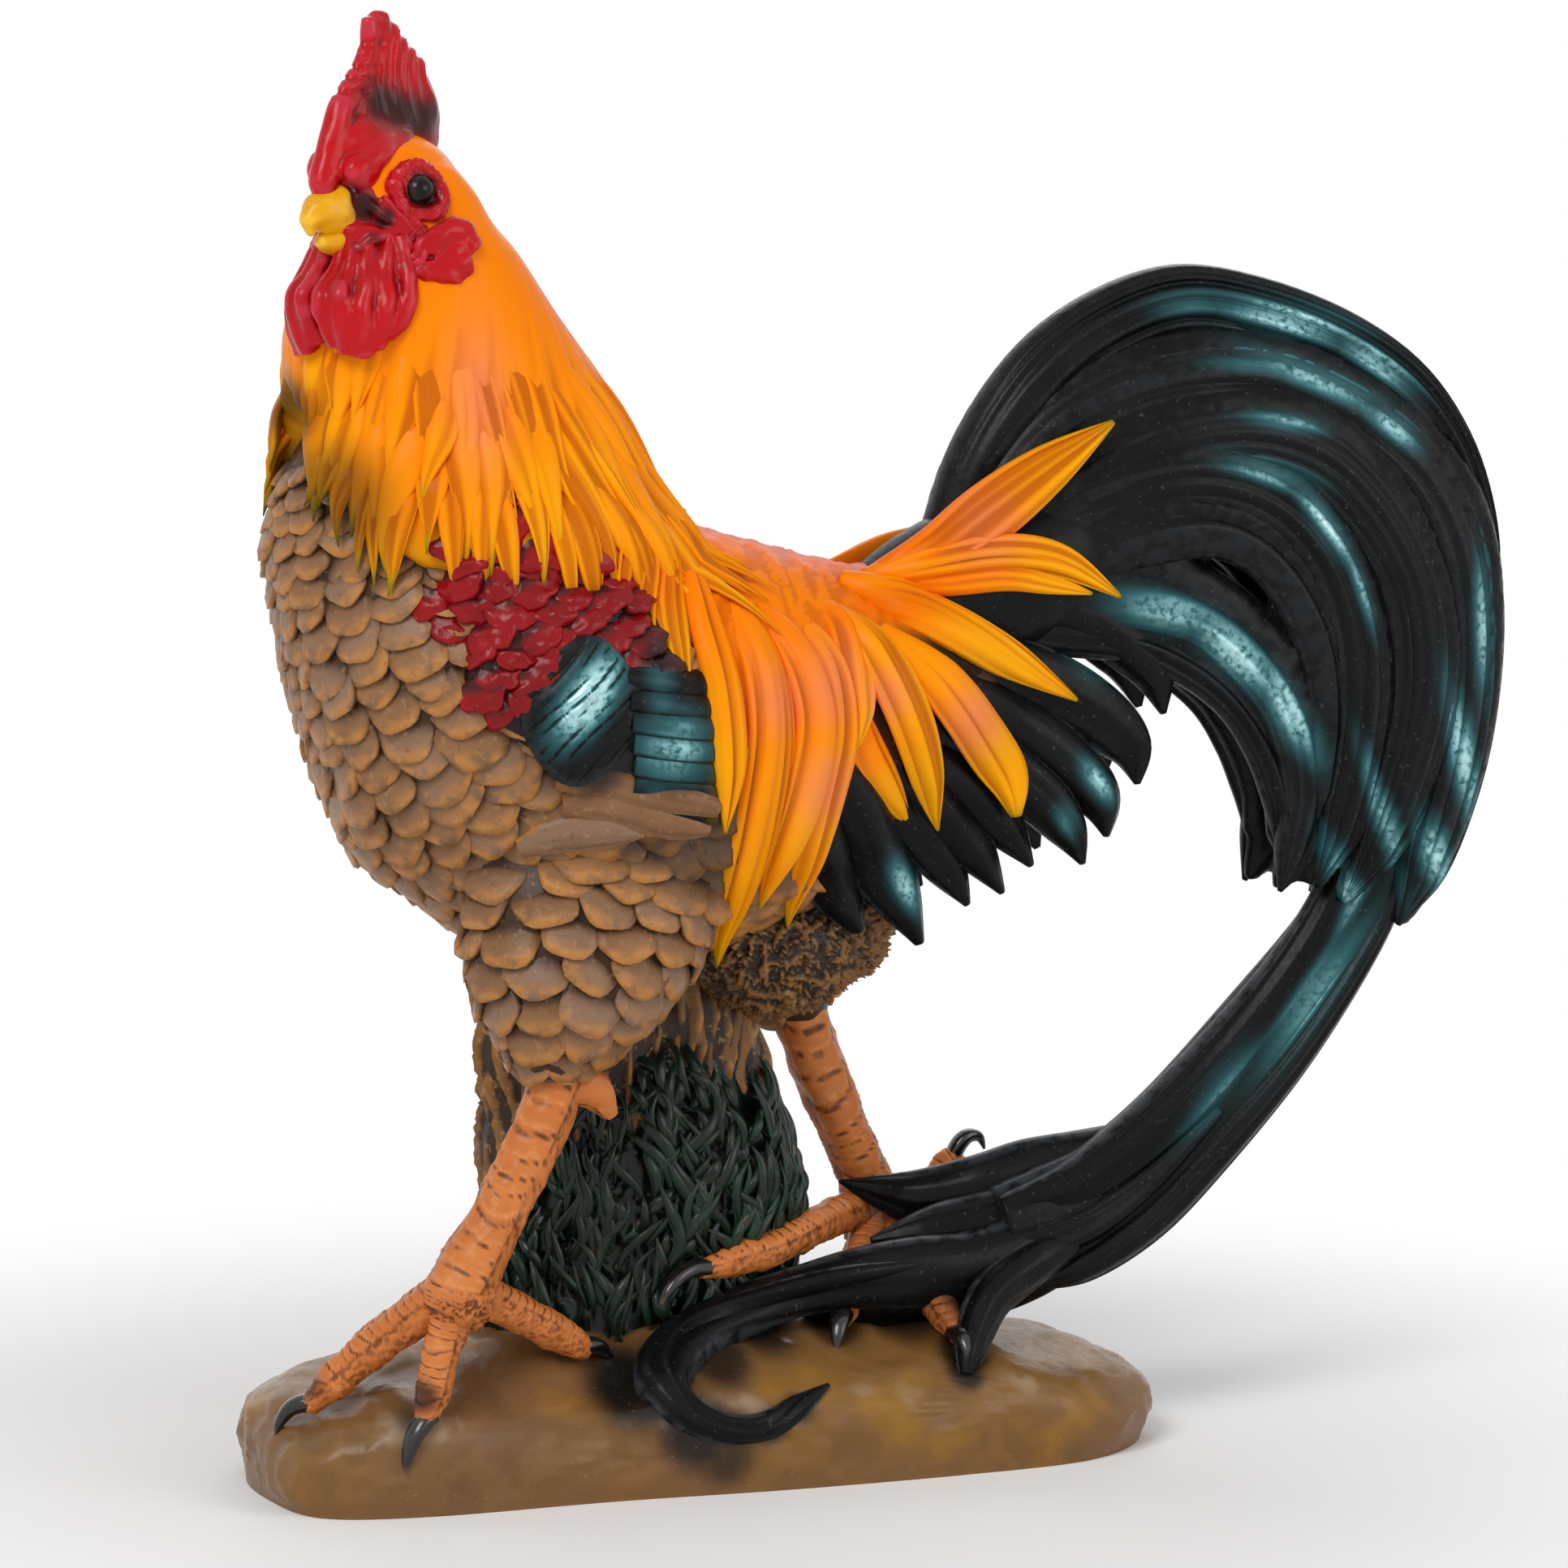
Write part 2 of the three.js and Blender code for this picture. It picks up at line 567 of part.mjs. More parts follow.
// The legs: the left one strides forward and the right one trails. A thigh is level rings, each a height
// from the body's axis, a centre and two half sizes. A line gives x, y and the share of the body's lift
// from the knee to the ankle. A toe has its tip on the rock and the height of its arch; a raised toe has
// the rise of its tip too, and its claw can be a hook through three offsets from the tip.
const LEGS = [
  {
    name: 'left', sign: -1,
    thigh: [[-9, -34, -22, 26, 14], [-30, -36, -28, 36, 20], [-50, -41, -33, 34, 23],
      [-66, -45, -35, 27, 21], [-79, -49, -36, 18, 16], [-89, -52, -37, 10, 10]],
    line: [[-43, -35, 0.556], [-56, -38, 0.364], [-68, -40, 0.228], [-80, -42, 0.105]],
    toes: [
      { name: 'middle', tip: [-117, -23], arch: 3 }, { name: 'outer', tip: [-91, -47], arch: 1 },
      { name: 'inner', tip: [-103, -6], arch: 3 }, { name: 'hind', tip: [-40, -24], arch: 1 },
    ],
  },
  {
    name: 'right', sign: 1,
    thigh: [[-9, 8, 20, 26, 14], [-30, 12, 26, 32, 18], [-50, 20, 30, 28, 20],
      [-66, 28, 32, 22, 17], [-78, 33, 31, 15, 13], [-88, 37, 30, 9, 9]],
    line: [[33, 30, 0.549], [46, 31, 0.333], [56, 32, 0.198], [62, 31, 0.093]],
    toes: [
      { name: 'middle', tip: [-4, -14], arch: 3, rise: 10 }, { name: 'outer', tip: [65, -29], arch: 3 },
      { name: 'inner', tip: [35, -18], arch: 4 },
      { name: 'hind', tip: [80, 26], arch: -5, rise: 36, hook: [[-1, 0, -1], [4, -1, 7], [11, -1, 6]] },
    ],
  },
];

function legPoints(leg) {
  return leg.line.map(([x, y, share]) => new THREE.Vector3(x, y, ROCK_HEIGHT + share * BODY_LIFT));
}

function thighRows(leg) {
  return leg.thigh.map(([rise, ...rest]) => [BODY_AXIS_Z + rise, ...rest]);
}

const thigh = (leg) => upright(thighRows(leg), { steps: 1, sides: 16 });

// How far a thigh's outer side lies from the middle plane at a place given by x and z, or 0 beside it.
function thighSide(x, z, sign) {
  const rows = thighRows(LEGS.find((leg) => leg.sign === sign));
  const level = rows.findLast((row) => row[0] >= z);
  if (!level || z < rows.at(-1)[0] || Math.abs(x - level[1]) > level[3]) {
    return 0;
  }
  return sign * uprightSide(rows, x, z, sign);
}

function shank(leg) {
  const radius = LEG_DIAMETER / 2;
  const sizes = [1, 0.97, 0.95, 1.1].map((share) => [share * radius, share * radius]);
  return strand(legPoints(leg), sizes, new THREE.Vector3(0, 1, 0), { steps: 1, sides: 10 });
}

// The line of one toe: from the ankle, over its arch, down to the rock.
function toePoints(leg, toe) {
  const radius = TOE_DIAMETER / 2;
  const ankle = legPoints(leg).at(-1);
  const end = new THREE.Vector3(...toe.tip, rockTop(...toe.tip) + 0.75 * radius + (toe.rise ?? 0));
  return [0, 0.35, 0.7, 1].map((part) => {
    const point = ankle.clone().lerp(end, part);
    const floor = rockTop(point.x, point.y) + 0.75 * radius;
    const arched = point.z + 0.6 * toe.arch * Math.sin(Math.PI * part);
    return part === 0 ? point : point.setZ(Math.max(arched, floor));
  });
}

function foot(leg) {
  const radius = TOE_DIAMETER / 2;
  const ankle = legPoints(leg).at(-1);
  const heelHalves = new THREE.Vector3(1, 1, 1).multiplyScalar(0.625 * LEG_DIAMETER);
  const heel = egg(ankle.clone().setZ(ankle.z - 2), heelHalves);
  const toes = leg.toes.map((toe) => {
    const sizes = [1.15, 1.05, 1, 0.75].map((share) => [share * radius, share * radius]);
    return strand(toePoints(leg, toe), sizes, new THREE.Vector3(0, 0, 1), { steps: 1, sides: 6 });
  });
  return joined([heel, ...toes]);
}

function claw(leg, toe) {
  const points = toePoints(leg, toe);
  const tip = points.at(-1);
  const ahead = tip.clone().sub(points.at(-2));
  ahead.z *= 0.5;
  ahead.normalize();
  const bent = [-2, 0.45 * CLAW_LENGTH, CLAW_LENGTH].map((reach, k) => {
    const point = tip.clone().addScaledVector(ahead, reach);
    return point.setZ(Math.max(rockTop(point.x, point.y) + [3.2, 3, 0.9][k], tip.z - [0, 1.5, 6][k]));
  });
  const line = toe.hook ? toe.hook.map((offset) => new THREE.Vector3(...offset).add(tip)) : bent;
  const sizes = [[3.2, 3.2], [2.6, 2.8], [0.7, 0.7]];
  return strand(line, sizes, new THREE.Vector3(0, 0, 1), { steps: 1, sides: 6 });
}

// The steel rod from the thigh through the leg into the heel.
function rod(leg) {
  const [top, , , ankle] = legPoints(leg);
  const along = ankle.clone().sub(top).normalize();
  const start = top.clone().addScaledVector(along, -ROD_END_DEPTH);
  return bar(start, ankle, ROD_DIAMETER / 2, 12);
}

// The rough feathers under the belly behind the stump.
const bellyPlace = onBody([0.65, -0.471]);
const bellyFluff = egg(new THREE.Vector3(bellyPlace.x, 2, bellyPlace.y), new THREE.Vector3(28, 24, 21));

// A place on the tail, measured from its root on the rump.
function tailPoint(x, y, z) {
  return new THREE.Vector3(x, y, z).add(TAIL_ROOT);
}

// A tail feather that lies in an upright plane at a set distance from the middle.
function tailFeather(line, widths, y, thickness, options = {}) {
  const points = line.map(([x, z]) => tailPoint(x, y, z));
  const sizes = widths.map((width) => [width, Math.min(thickness / 2, width + 0.5)]);
  return strand(points, sizes, new THREE.Vector3(0, 1, 0), { steps: 1, sides: 8, ...options });
}

const tailCore = strand(
  [tailPoint(-40, 0, -22), tailPoint(-8, 0, -8), tailPoint(20, 0, 2), tailPoint(42, 0, 6)],
  [[16, 0.4], [24, 0.5], [28, 0.42], [12, 0.2]].map(([half, share]) => [half, share * TAIL_CORE_WIDTH]),
  new THREE.Vector3(0, 1, 0), { steps: 2, sides: 10 },
);

const topSickle = tailFeather(
  [[-2, 4], [13, 32], [31, 54], [52, 71], [75, 77], [104, 71], [133, 54], [152, 27], [157, -8], [152, -42],
    [143, -76], [131, -105]],
  [10, 14, 15, 15, 14, 14, 14, 13, 12, 11, 9, 3], 0, SICKLE_THICKNESS + 3,
);

function middleSickle(sign) {
  const line = [[0, 4], [18, 28], [40, 46], [64, 52], [90, 46], [112, 28], [127, 2], [133, -30],
    [129, -62], [121, -88]];
  return tailFeather(line, [9, 14, 16, 16, 16, 15, 14, 13, 11, 3], sign * 10, SICKLE_THICKNESS);
}

function lowerSickle(sign) {
  const line = [[2, 0], [24, 18], [46, 26], [70, 24], [88, 9], [99, -16], [102, -42], [98, -68], [89, -88]];
  return tailFeather(line, [9, 13, 15, 15, 14, 13, 11, 9, 3], sign * 17, SICKLE_THICKNESS);
}

// The right inner sickle sits further back than the left one.
function innerSickle(sign) {
  const setBack = sign > 0 ? 7 : 0;
  const line = [[4, -10], [30, -1], [54, 0], [76, -7], [92, -21], [101, -44], [104, -66], [99, -83]];
  const moved = line.map(([x, z]) => [x + setBack, z]);
  return tailFeather(moved, [8, 12, 14, 13, 11, 9, 7, 2.5], sign * 11, SICKLE_THICKNESS);
}

// The covert feathers under the tail: a fan of leaves whose tips step down towards the belly.
function coverts(sign) {
  const feathers = [
    [[0.93, 0.213], [1.178, -0.007]], [[0.911, 0.169], [1.117, -0.169]],
    [[0.883, 0.125], [1.079, -0.265]], [[0.846, 0.066], [1.023, -0.316]],
    [[0.81, -0.007], [0.935, -0.375]], [[0.752, -0.096], [0.818, -0.471]],
  ];
  const fan = feathers.map(([root, tip]) => {
    const line = [0, 0.5, 1].map((part) => [
      root[0] + part * (tip[0] - root[0]),
      root[1] + part * (tip[1] - root[1]) + 0.044 * Math.sin(Math.PI * part),
    ]);
    return sideFeather(line, [13, 12, 2.5], sign, { least: 14, lift: 1, half: 4.5 });
  });
  const shoulder = [[0.949, 0.228], [0.855, 0.081], [0.743, -0.081]];
  return joined([sideFeather(shoulder, [9, 11, 9], sign, { least: 11, half: 7 }), ...fan]);
}

// The saddle: long pointed feathers that hang from the back over the flank and the tail root.
function saddle(sign) {
  const feathers = [
    [[0.762, 0.287], [0.897, 0.43], [1.037, 0.559], 9],
    [[0.752, 0.279], [0.93, 0.338], [1.089, 0.235], 6],
    [[0.762, 0.265], [0.935, 0.279], [1.051, 0.243], 4],
    [[0.715, 0.279], [0.864, 0.184], [1.028, 0.029], 7],
    [[0.752, 0.213], [0.874, -0.007], [0.939, -0.199], 7],
    [[0.692, 0.272], [0.766, 0.051], [0.832, -0.221], 7],
    [[0.678, 0.279], [0.701, 0.059], [0.692, -0.044], 6],
    [[0.631, 0.294], [0.673, 0.015], [0.636, -0.404], 6],
    [[0.589, 0.309], [0.635, 0.037], [0.574, -0.353], 9],
    [[0.542, 0.324], [0.572, 0.015], [0.542, -0.478], 9],
    [[0.505, 0.331], [0.516, 0.081], [0.51, -0.176], 6],
  ];
  const parts = feathers.map(([root, middle, tip, width]) => (
    sideFeather([root, middle, tip], [width + 1, width + 1, 1.2], sign, { least: 21, lift: 3.5, half: 4.6 })
  ));
  const ridge = [0.397, 0.491, 0.584, 0.678, 0.771, 0.846].map((share) => {
    const section = sectionAt(BREAST_X + share * BODY_LENGTH);
    return new THREE.Vector3(section.x, sign * 0.3 * section.halfWidth, section.z + section.halfHeight - 7);
  });
  const ridgeSizes = [17, 18, 18, 17, 15, 10].map((width) => [width, 6]);
  const mantle = strand(ridge, ridgeSizes, new THREE.Vector3(0, sign * 0.35, 1), { steps: 1, sides: 8 });
  const flankLine = [[0.453, 0.287], [0.575, 0.287], [0.696, 0.243], [0.827, 0.257]];
  const flank = sideFeather(flankLine, [8, 13, 14, 9], sign, { least: 10, lift: 1, half: 6, sides: 8 });
  return joined([mantle, flank, ...parts]);
}

// Everything on one side of the middle plane, less half the glue gap.
function halfSpace(sign) {
  const box = new THREE.BoxGeometry(900, 900, 900);
  box.translate(0, sign * (450 + GLUE_GAP / 2), 300);
  return solidOf(box);
}

// Where the long sickle's tip lies, low over the rock.
const SICKLE_FOOT = new THREE.Vector3(TAIL_ROOT.x + 6, -12, ROCK_HEIGHT + 11);

// The long sickle sweeps round behind the bird and down to the rock, where strands curl off it. Each row
// is how far behind its foot a point lies, its y, and how high, as a share of the drop from the tail.
const longSickle = (() => {
  const rows = [
    [113, 0, 0.902], [115, 0, 0.728], [110, 0, 0.598], [101, 0, 0.473],
    [81, -1, 0.321], [55, -4, 0.168], [34, -7, 0.082], [17, -9, 0.035],
    [1, -10, 0.02],
  ];
  const points = rows.map(([behind, y, share]) => (
    new THREE.Vector3(SICKLE_FOOT.x + behind, y, SICKLE_FOOT.z + share * (TAIL_ROOT.z - SICKLE_FOOT.z))
  ));
  const half = LONG_SICKLE_THICKNESS / 2;
  const sizes = [9, 10, 11, 13, 16, 17, 17, 18, 17].map((width) => [width, Math.min(half, width)]);
  return strand(points, sizes, new THREE.Vector3(0.2, 1, 0), { steps: 1, sides: 10 });
})();

// A strand at the sickle's lower end: its line as offsets from the sickle's foot.
function footStrand(line, sizes, flat, steps = 1) {
  const points = line.map((offset) => new THREE.Vector3(...offset).add(SICKLE_FOOT));
  return strand(points, sizes, new THREE.Vector3(...flat), { steps, sides: 8 });
}

// The widest strand stands on the rock behind the toes, turns round in front and thins out in a curl.
const curledRibbon = footStrand(
  [[12, -1, 3], [-9, -3, -3], [-26, -4, -3.5], [-43, -4, -4], [-62, -4, -6.5], [-79, -5, -11],
    [-95, -10, -16], [-104, -19, -22], [-106, -29, -28], [-100, -35, -34], [-90, -37, -37],
    [-80, -37, -36], [-71, -34, -32], [-62, -30, -28]],
  [[9, 5], [10, 5], [9.5, 5], [8.5, 5], [7, 5], [7, 5], [7.5, 5], [7.5, 5], [6, 5], [4.5, 4.5], [4, 4],
    [4, 4], [3.5, 3.5], [1.2, 1.2]],
  [0, -0.8, 0.5],
);
const ribbonFoot = footStrand(
  [[4, 1, -8], [-12, 3, -13], [-34, 3, -13], [-56, 3, -11]], [[10, 4], [9, 5], [8, 5], [4, 4]], [0, 1, 0],
);
const curledStrand = joined([curledRibbon, ribbonFoot]);

const shortStrand = footStrand(
  [[12, -4, 0], [1, -8, -5], [-8, -13, -10], [-14, -18, -17], [-18, -23, -23], [-20, -25, -27]],
  [[7, 6], [6.5, 5], [6, 5], [5.5, 4.5], [4.5, 4], [2.5, 2]], [0, -1, 0.5],
);

const ankleStrand = footStrand(
  [[44, 7, 26], [24, 9, 17], [2, 12, 12], [-14, 18, 13], [-26, 24, 16]],
  [[10, 6], [11.5, 6], [11.5, 5.5], [9, 5], [2.5, 2.5]], [0, 1, 0], 2,
);

// Grass: three tufts of pointed blades that lean against the front of the stump.
function grassTuft(number) {
  const middle = STUMP_CENTRE_X - 22 + 24 * number;
  const front = STUMP_CENTRE_Y - STUMP_DEPTH / 2;
  const blades = [0, 1, 2, 3, 4].map((k) => {
    const x = middle + 5.5 * (k - 2);
    const lean = 5 * Math.sin(2.1 * k + number);
    const y = front - 2 + 2 * Math.cos(3 * k + number);
    const rise = GRASS_HEIGHT * (0.8 + 0.2 * Math.cos(1.7 * k + 2 * number));
    const base = rockTop(x, y) - 3;
    const points = [
      new THREE.Vector3(x, y, base), new THREE.Vector3(x + 0.4 * lean, y - 1.5, base + 0.5 * rise),
      new THREE.Vector3(x + lean, y + 1, base + rise),
    ];
    return strand(points, [[5, 6], [5.5, 6], [1, 1.5]], new THREE.Vector3(0, 1, 0), { steps: 1, sides: 4 });
  });
  return joined(blades);
}

// Paints, each a colour with its roughness and how metallic it looks.
const PAINTS = {
  rock: ['#7C5B33', 0.45, 0.0],
  plate: ['#6A4E2C', 0.8, 0.0],
  bark: ['#7A5428', 0.7, 0.0],
  grass: ['#1F2B22', 0.6, 0.0],
  breast: ['#8A6040', 0.5, 0.0],
  fluff: ['#5F3F1C', 0.75, 0.0],
  gold: ['#F7941D', 0.35, 0.0],
  yellow: ['#E8A01C', 0.4, 0.0],
  crimson: ['#A80F1E', 0.25, 0.0],
  wine: ['#7E0C14', 0.35, 0.0],
  beak: ['#E0A92A', 0.35, 0.0],
  eyeBlack: ['#0A0808', 0.08, 0.0],
  black: ['#1B1D1F', 0.4, 0.2],
  teal: ['#2E4E54', 0.35, 0.4],
  leg: ['#D98545', 0.5, 0.0],
  claw: ['#15120F', 0.2, 0.0],
  steel: ['#8C8F92', 0.35, 1.0],
};

const rooster = new THREE.Group();

// One finished piece: the main body of its solid as a named mesh in its own paint.
function addPiece(name, solid, paint) {
  const { vertProperties, triVerts } = mainBody(solid).getMesh();
  const geometry = new THREE.BufferGeometry();
  geometry.setAttribute('position', new THREE.BufferAttribute(new Float32Array(vertProperties), 3));
  geometry.setIndex(new THREE.BufferAttribute(new Uint32Array(triVerts), 1));
  geometry.computeVertexNormals();
  const [color, roughness, metalness] = PAINTS[paint];
  const mesh = new THREE.Mesh(geometry, new THREE.MeshStandardMaterial({ color, roughness, metalness }));
  mesh.name = name;
  rooster.add(mesh);
}

// The base: the rock, hollow below, with a ledge for its plate and a hole under the stump.
const hollow = rockForm(BASE_WALL + PLATE_LEDGE, BASE_WALL, PLATE_THICKNESS + GLUE_GAP);
const pocket = rockSlab(BASE_WALL, PLATE_THICKNESS + 2 * GLUE_GAP + 1, -1);
addPiece('base_rock', rock(0).subtract(hollow).subtract(pocket).subtract(stumpBore(0)), 'rock');
const vent = bar(new THREE.Vector3(60, 0, -5), new THREE.Vector3(60, 0, 20), VENT_DIAMETER / 2);
addPiece('base_plate', rockSlab(BASE_WALL + GLUE_GAP, PLATE_THICKNESS, 0).subtract(vent(0)), 'plate');
const rods = LEGS.map((leg) => rod(leg));
addPiece('stump', seated(stump, [rock, trunk, ...rods]).subtract(stumpBore(0)), 'bark');

// The body: the hollow torso and neck, open towards the stump.
const bodyHollow = torso(-BODY_WALL).add(neckHollow(0)).add(stumpBore(0));
addPiece('body', trunk(0).subtract(bodyHollow), 'breast');

// The legs: thigh, shank, foot and claws, with the rod running through them.
const thighs = LEGS.map(thigh);
const shanks = LEGS.map(shank);
const feet = LEGS.map(foot);
const claws = LEGS.map((leg) => leg.toes.map((toe) => claw(leg, toe)));
LEGS.forEach((leg, k) => {
  addPiece(`thigh_${leg.name}`, seated(thighs[k], [trunk, stump, rods[k]]), 'breast');
  addPiece(`leg_${leg.name}`, seated(shanks[k], [trunk, thighs[k], stump, rods[k]]), 'leg');
  addPiece(`foot_${leg.name}`, seated(feet[k], [rock, stump, shanks[k], rods[k]]), 'leg');
  addPiece(`leg_rod_${leg.name}`, seated(rods[k], [trunk]), 'steel');
  leg.toes.forEach((toe, n) => {
    addPiece(`claw_${leg.name}_${toe.name}`, seated(claws[k][n], [rock, feet[k]]), 'claw');
  });
});
addPiece('belly_fluff', seated(bellyFluff, [trunk, stump, ...thighs, ...shanks]), 'fluff');

const tufts = [0, 1, 2].map(grassTuft);
const limbs = [...thighs, ...shanks, ...feet, ...claws.flat()];
const besideGrass = [rock, stump, trunk, ...limbs, bellyFluff, curledStrand];
tufts.forEach((tuft, k) => {
  addPiece(`grass_tuft_${k + 1}`, seated(tuft, [...besideGrass, ...tufts.slice(0, k)]), 'grass');
});

// The head and what grows on it.
const wattles = SIDES.map((side) => wattle(side.sign));
addPiece('head', seated(head, [neck, bell]), 'yellow');
addPiece('comb', seated(comb, [head, neck, bell, upperBeak]), 'crimson');
addPiece('beak_upper', seated(upperBeak, [head]), 'beak');
addPiece('beak_lower', seated(lowerBeak, [head, upperBeak]), 'beak');
SIDES.forEach(({ name, sign }, k) => {
  addPiece(`eye_${name}`, seated(eye(sign), [head]), 'eyeBlack');
  addPiece(`eye_ring_${name}`, seated(eyeRing(sign), [head, eye(sign), upperBeak]), 'crimson');
  addPiece(`earlobe_${name}`, seated(earlobe(sign), [head, bell, neck, eyeRing(sign)]), 'crimson');
  const besideWattle = [head, upperBeak, lowerBeak, bell, earlobe(sign), ...wattles.slice(0, k)];
  addPiece(`wattle_${name}`, seated(wattles[k], besideWattle), 'crimson');
});

// The wings, the hackle over them and the saddle behind.
const wings = SIDES.map((side) => wingForm(side.sign));
const flights = SIDES.map((side) => flightForm(side.sign));
SIDES.forEach(({ name }, k) => {
  addPiece(`wing_${name}`, seated(wings[k], [trunk, thighs[k]]), 'wine');
  addPiece(`wing_flights_${name}`, seated(flights[k], [trunk, thighs[k], wings[k]]), 'teal');
});
addPiece('hackle', seated(hackle, [trunk, ...wings, ...flights, head]), 'gold');

// The tail: core, sickles from the outside in, and the coverts under it.
const middleSickles = SIDES.map((side) => middleSickle(side.sign));
const lowerSickles = SIDES.map((side) => lowerSickle(side.sign));
const innerSickles = SIDES.map((side) => innerSickle(side.sign));
const sickles = [topSickle, ...middleSickles, ...lowerSickles, ...innerSickles];
addPiece('tail_core', seated(tailCore, [trunk]), 'black');
addPiece('sickle_top', seated(topSickle, [trunk, tailCore]), 'black');
SIDES.forEach(({ name }, k) => {
  const outer = [trunk, tailCore, topSickle];
  addPiece(`sickle_middle_${name}`, seated(middleSickles[k], outer), 'black');
  outer.push(middleSickles[k]);
  addPiece(`sickle_lower_${name}`, seated(lowerSickles[k], outer), 'black');
  outer.push(lowerSickles[k]);
  addPiece(`sickle_inner_${name}`, seated(innerSickles[k], outer), 'teal');
});
const covertFans = SIDES.map((side) => coverts(side.sign));
const hanging = [trunk, stump, hackle, tailCore, ...sickles, ...wings, ...flights, ...thighs];
SIDES.forEach(({ name, sign }, k) => {
  const above = [trunk, stump, tailCore, ...sickles, ...thighs, bellyFluff];
  addPiece(`tail_coverts_${name}`, seated(covertFans[k], above), 'black');
  const drape = (grow) => saddle(sign)(grow).intersect(halfSpace(sign));
  addPiece(`saddle_${name}`, seated(drape, [...hanging, bellyFluff, covertFans[k]]), 'gold');
});

// The long sickle and the strands that run from it over the rock.
const grounded = [rock, ...feet, ...shanks, ...claws.flat()];
addPiece('long_sickle', seated(longSickle, [...sickles, ...grounded]), 'black');
addPiece('strand_curled', seated(curledStrand, [longSickle, ...grounded, stump]), 'black');
addPiece('strand_short', seated(shortStrand, [longSickle, curledStrand, ...grounded]), 'black');
addPiece('strand_ankle', seated(ankleStrand, [longSickle, curledStrand, ...grounded]), 'black');

export default rooster;
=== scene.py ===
import math

import bmesh
import bpy
import numpy as np
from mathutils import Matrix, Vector
from mathutils.bvhtree import BVHTree


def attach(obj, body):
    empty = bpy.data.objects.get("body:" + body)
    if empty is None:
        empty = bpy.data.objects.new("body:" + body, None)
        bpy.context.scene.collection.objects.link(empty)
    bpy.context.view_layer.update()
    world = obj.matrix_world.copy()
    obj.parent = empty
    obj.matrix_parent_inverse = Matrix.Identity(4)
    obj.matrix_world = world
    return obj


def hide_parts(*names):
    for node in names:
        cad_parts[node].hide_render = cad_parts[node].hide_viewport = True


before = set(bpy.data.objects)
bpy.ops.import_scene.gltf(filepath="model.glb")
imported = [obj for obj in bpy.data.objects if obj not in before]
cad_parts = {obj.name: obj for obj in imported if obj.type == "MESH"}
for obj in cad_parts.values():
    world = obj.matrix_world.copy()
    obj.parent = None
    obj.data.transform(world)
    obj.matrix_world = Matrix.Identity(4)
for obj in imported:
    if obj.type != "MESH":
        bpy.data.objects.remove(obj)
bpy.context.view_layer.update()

# %% [markdown]
# # A painted resin rooster, dressed on its CAD frame
#
# The statuette is a hollow resin casting that was sculpted in clay, cast, glued together and painted by
# hand. The CAD frame gives every piece its place and size, and this file gives the pieces their
# sculpted surface and their paint. The box that the frame fills is kept.

# %% [markdown]
# ## Camera and light
#
# The bird was photographed from its left side, a little from the front and from just above its feet, with
# a long lens that keeps it nearly free of perspective. A large soft lamp stands at the upper left, a
# weaker one fills the right, and a bright world lights the rest. The floor takes the soft shadow and
# fades into the white of the world further out, as a studio sweep does.

# %% The camera
AZIMUTH = math.radians(-18)
ELEVATION = math.radians(6.5)
AIM = Vector((0.024, 0.0, 0.186))
DISTANCE = 1.6
SENSOR_WIDTH = 36
PIXEL_SIZE = 0.2228e-3  # metres on the bird that one of the photo's 1932 columns covers
FRAME_WIDTH = 1932 * PIXEL_SIZE
toward_camera = Vector((
    math.sin(AZIMUTH) * math.cos(ELEVATION), -math.cos(AZIMUTH) * math.cos(ELEVATION), math.sin(ELEVATION),
))
camera = bpy.data.objects.new("camera", bpy.data.cameras.new("camera"))
bpy.context.collection.objects.link(camera)
camera.data.sensor_width = SENSOR_WIDTH
camera.data.lens = SENSOR_WIDTH * DISTANCE / FRAME_WIDTH
camera.location = AIM + toward_camera * DISTANCE
camera.rotation_euler = toward_camera.to_track_quat("Z", "Y").to_euler()
bpy.context.scene.camera = camera
print("lens", round(camera.data.lens, 1), "mm")


# %% One function adds every node
def add_node(tree, kind, inputs=(), **settings):
    """A shader node with its settings; each input is a value or the output that feeds it."""
    made = tree.nodes.new("ShaderNode" + kind)
    for name, value in settings.items():
        setattr(made, name, value)
    for name, value in dict(inputs).items():
        if isinstance(value, bpy.types.NodeSocket):
            tree.links.new(value, made.inputs[name])
        else:
            made.inputs[name].default_value = value
    return made


def paint_colour(code):
    """An sRGB hex colour as linear red, green, blue and alpha."""
    parts = [int(code[i:i + 2], 16) / 255 for i in (1, 3, 5)]
    return tuple(p / 12.92 if p < 0.04045 else ((p + 0.055) / 1.055) ** 2.4 for p in parts) + (1.0,)


# %% The light
def soft_lamp(name, side, size, watts):
    """A square lamp that looks at the bird from a place beside the camera."""
    lamp = bpy.data.objects.new(name, bpy.data.lights.new(name, "AREA"))
    lamp.data.size = size
    lamp.data.energy = watts
    lamp.location = AIM + Vector(side)
    lamp.rotation_euler = Vector(side).to_track_quat("Z", "Y").to_euler()
    bpy.context.collection.objects.link(lamp)


soft_lamp("key_lamp", (-0.9, -1.0, 1.1), 0.7, 13)
soft_lamp("fill_lamp", (0.9, -1.1, 0.5), 0.8, 5)
soft_lamp("back_lamp", (0.5, 1.2, 0.9), 0.9, 3.5)

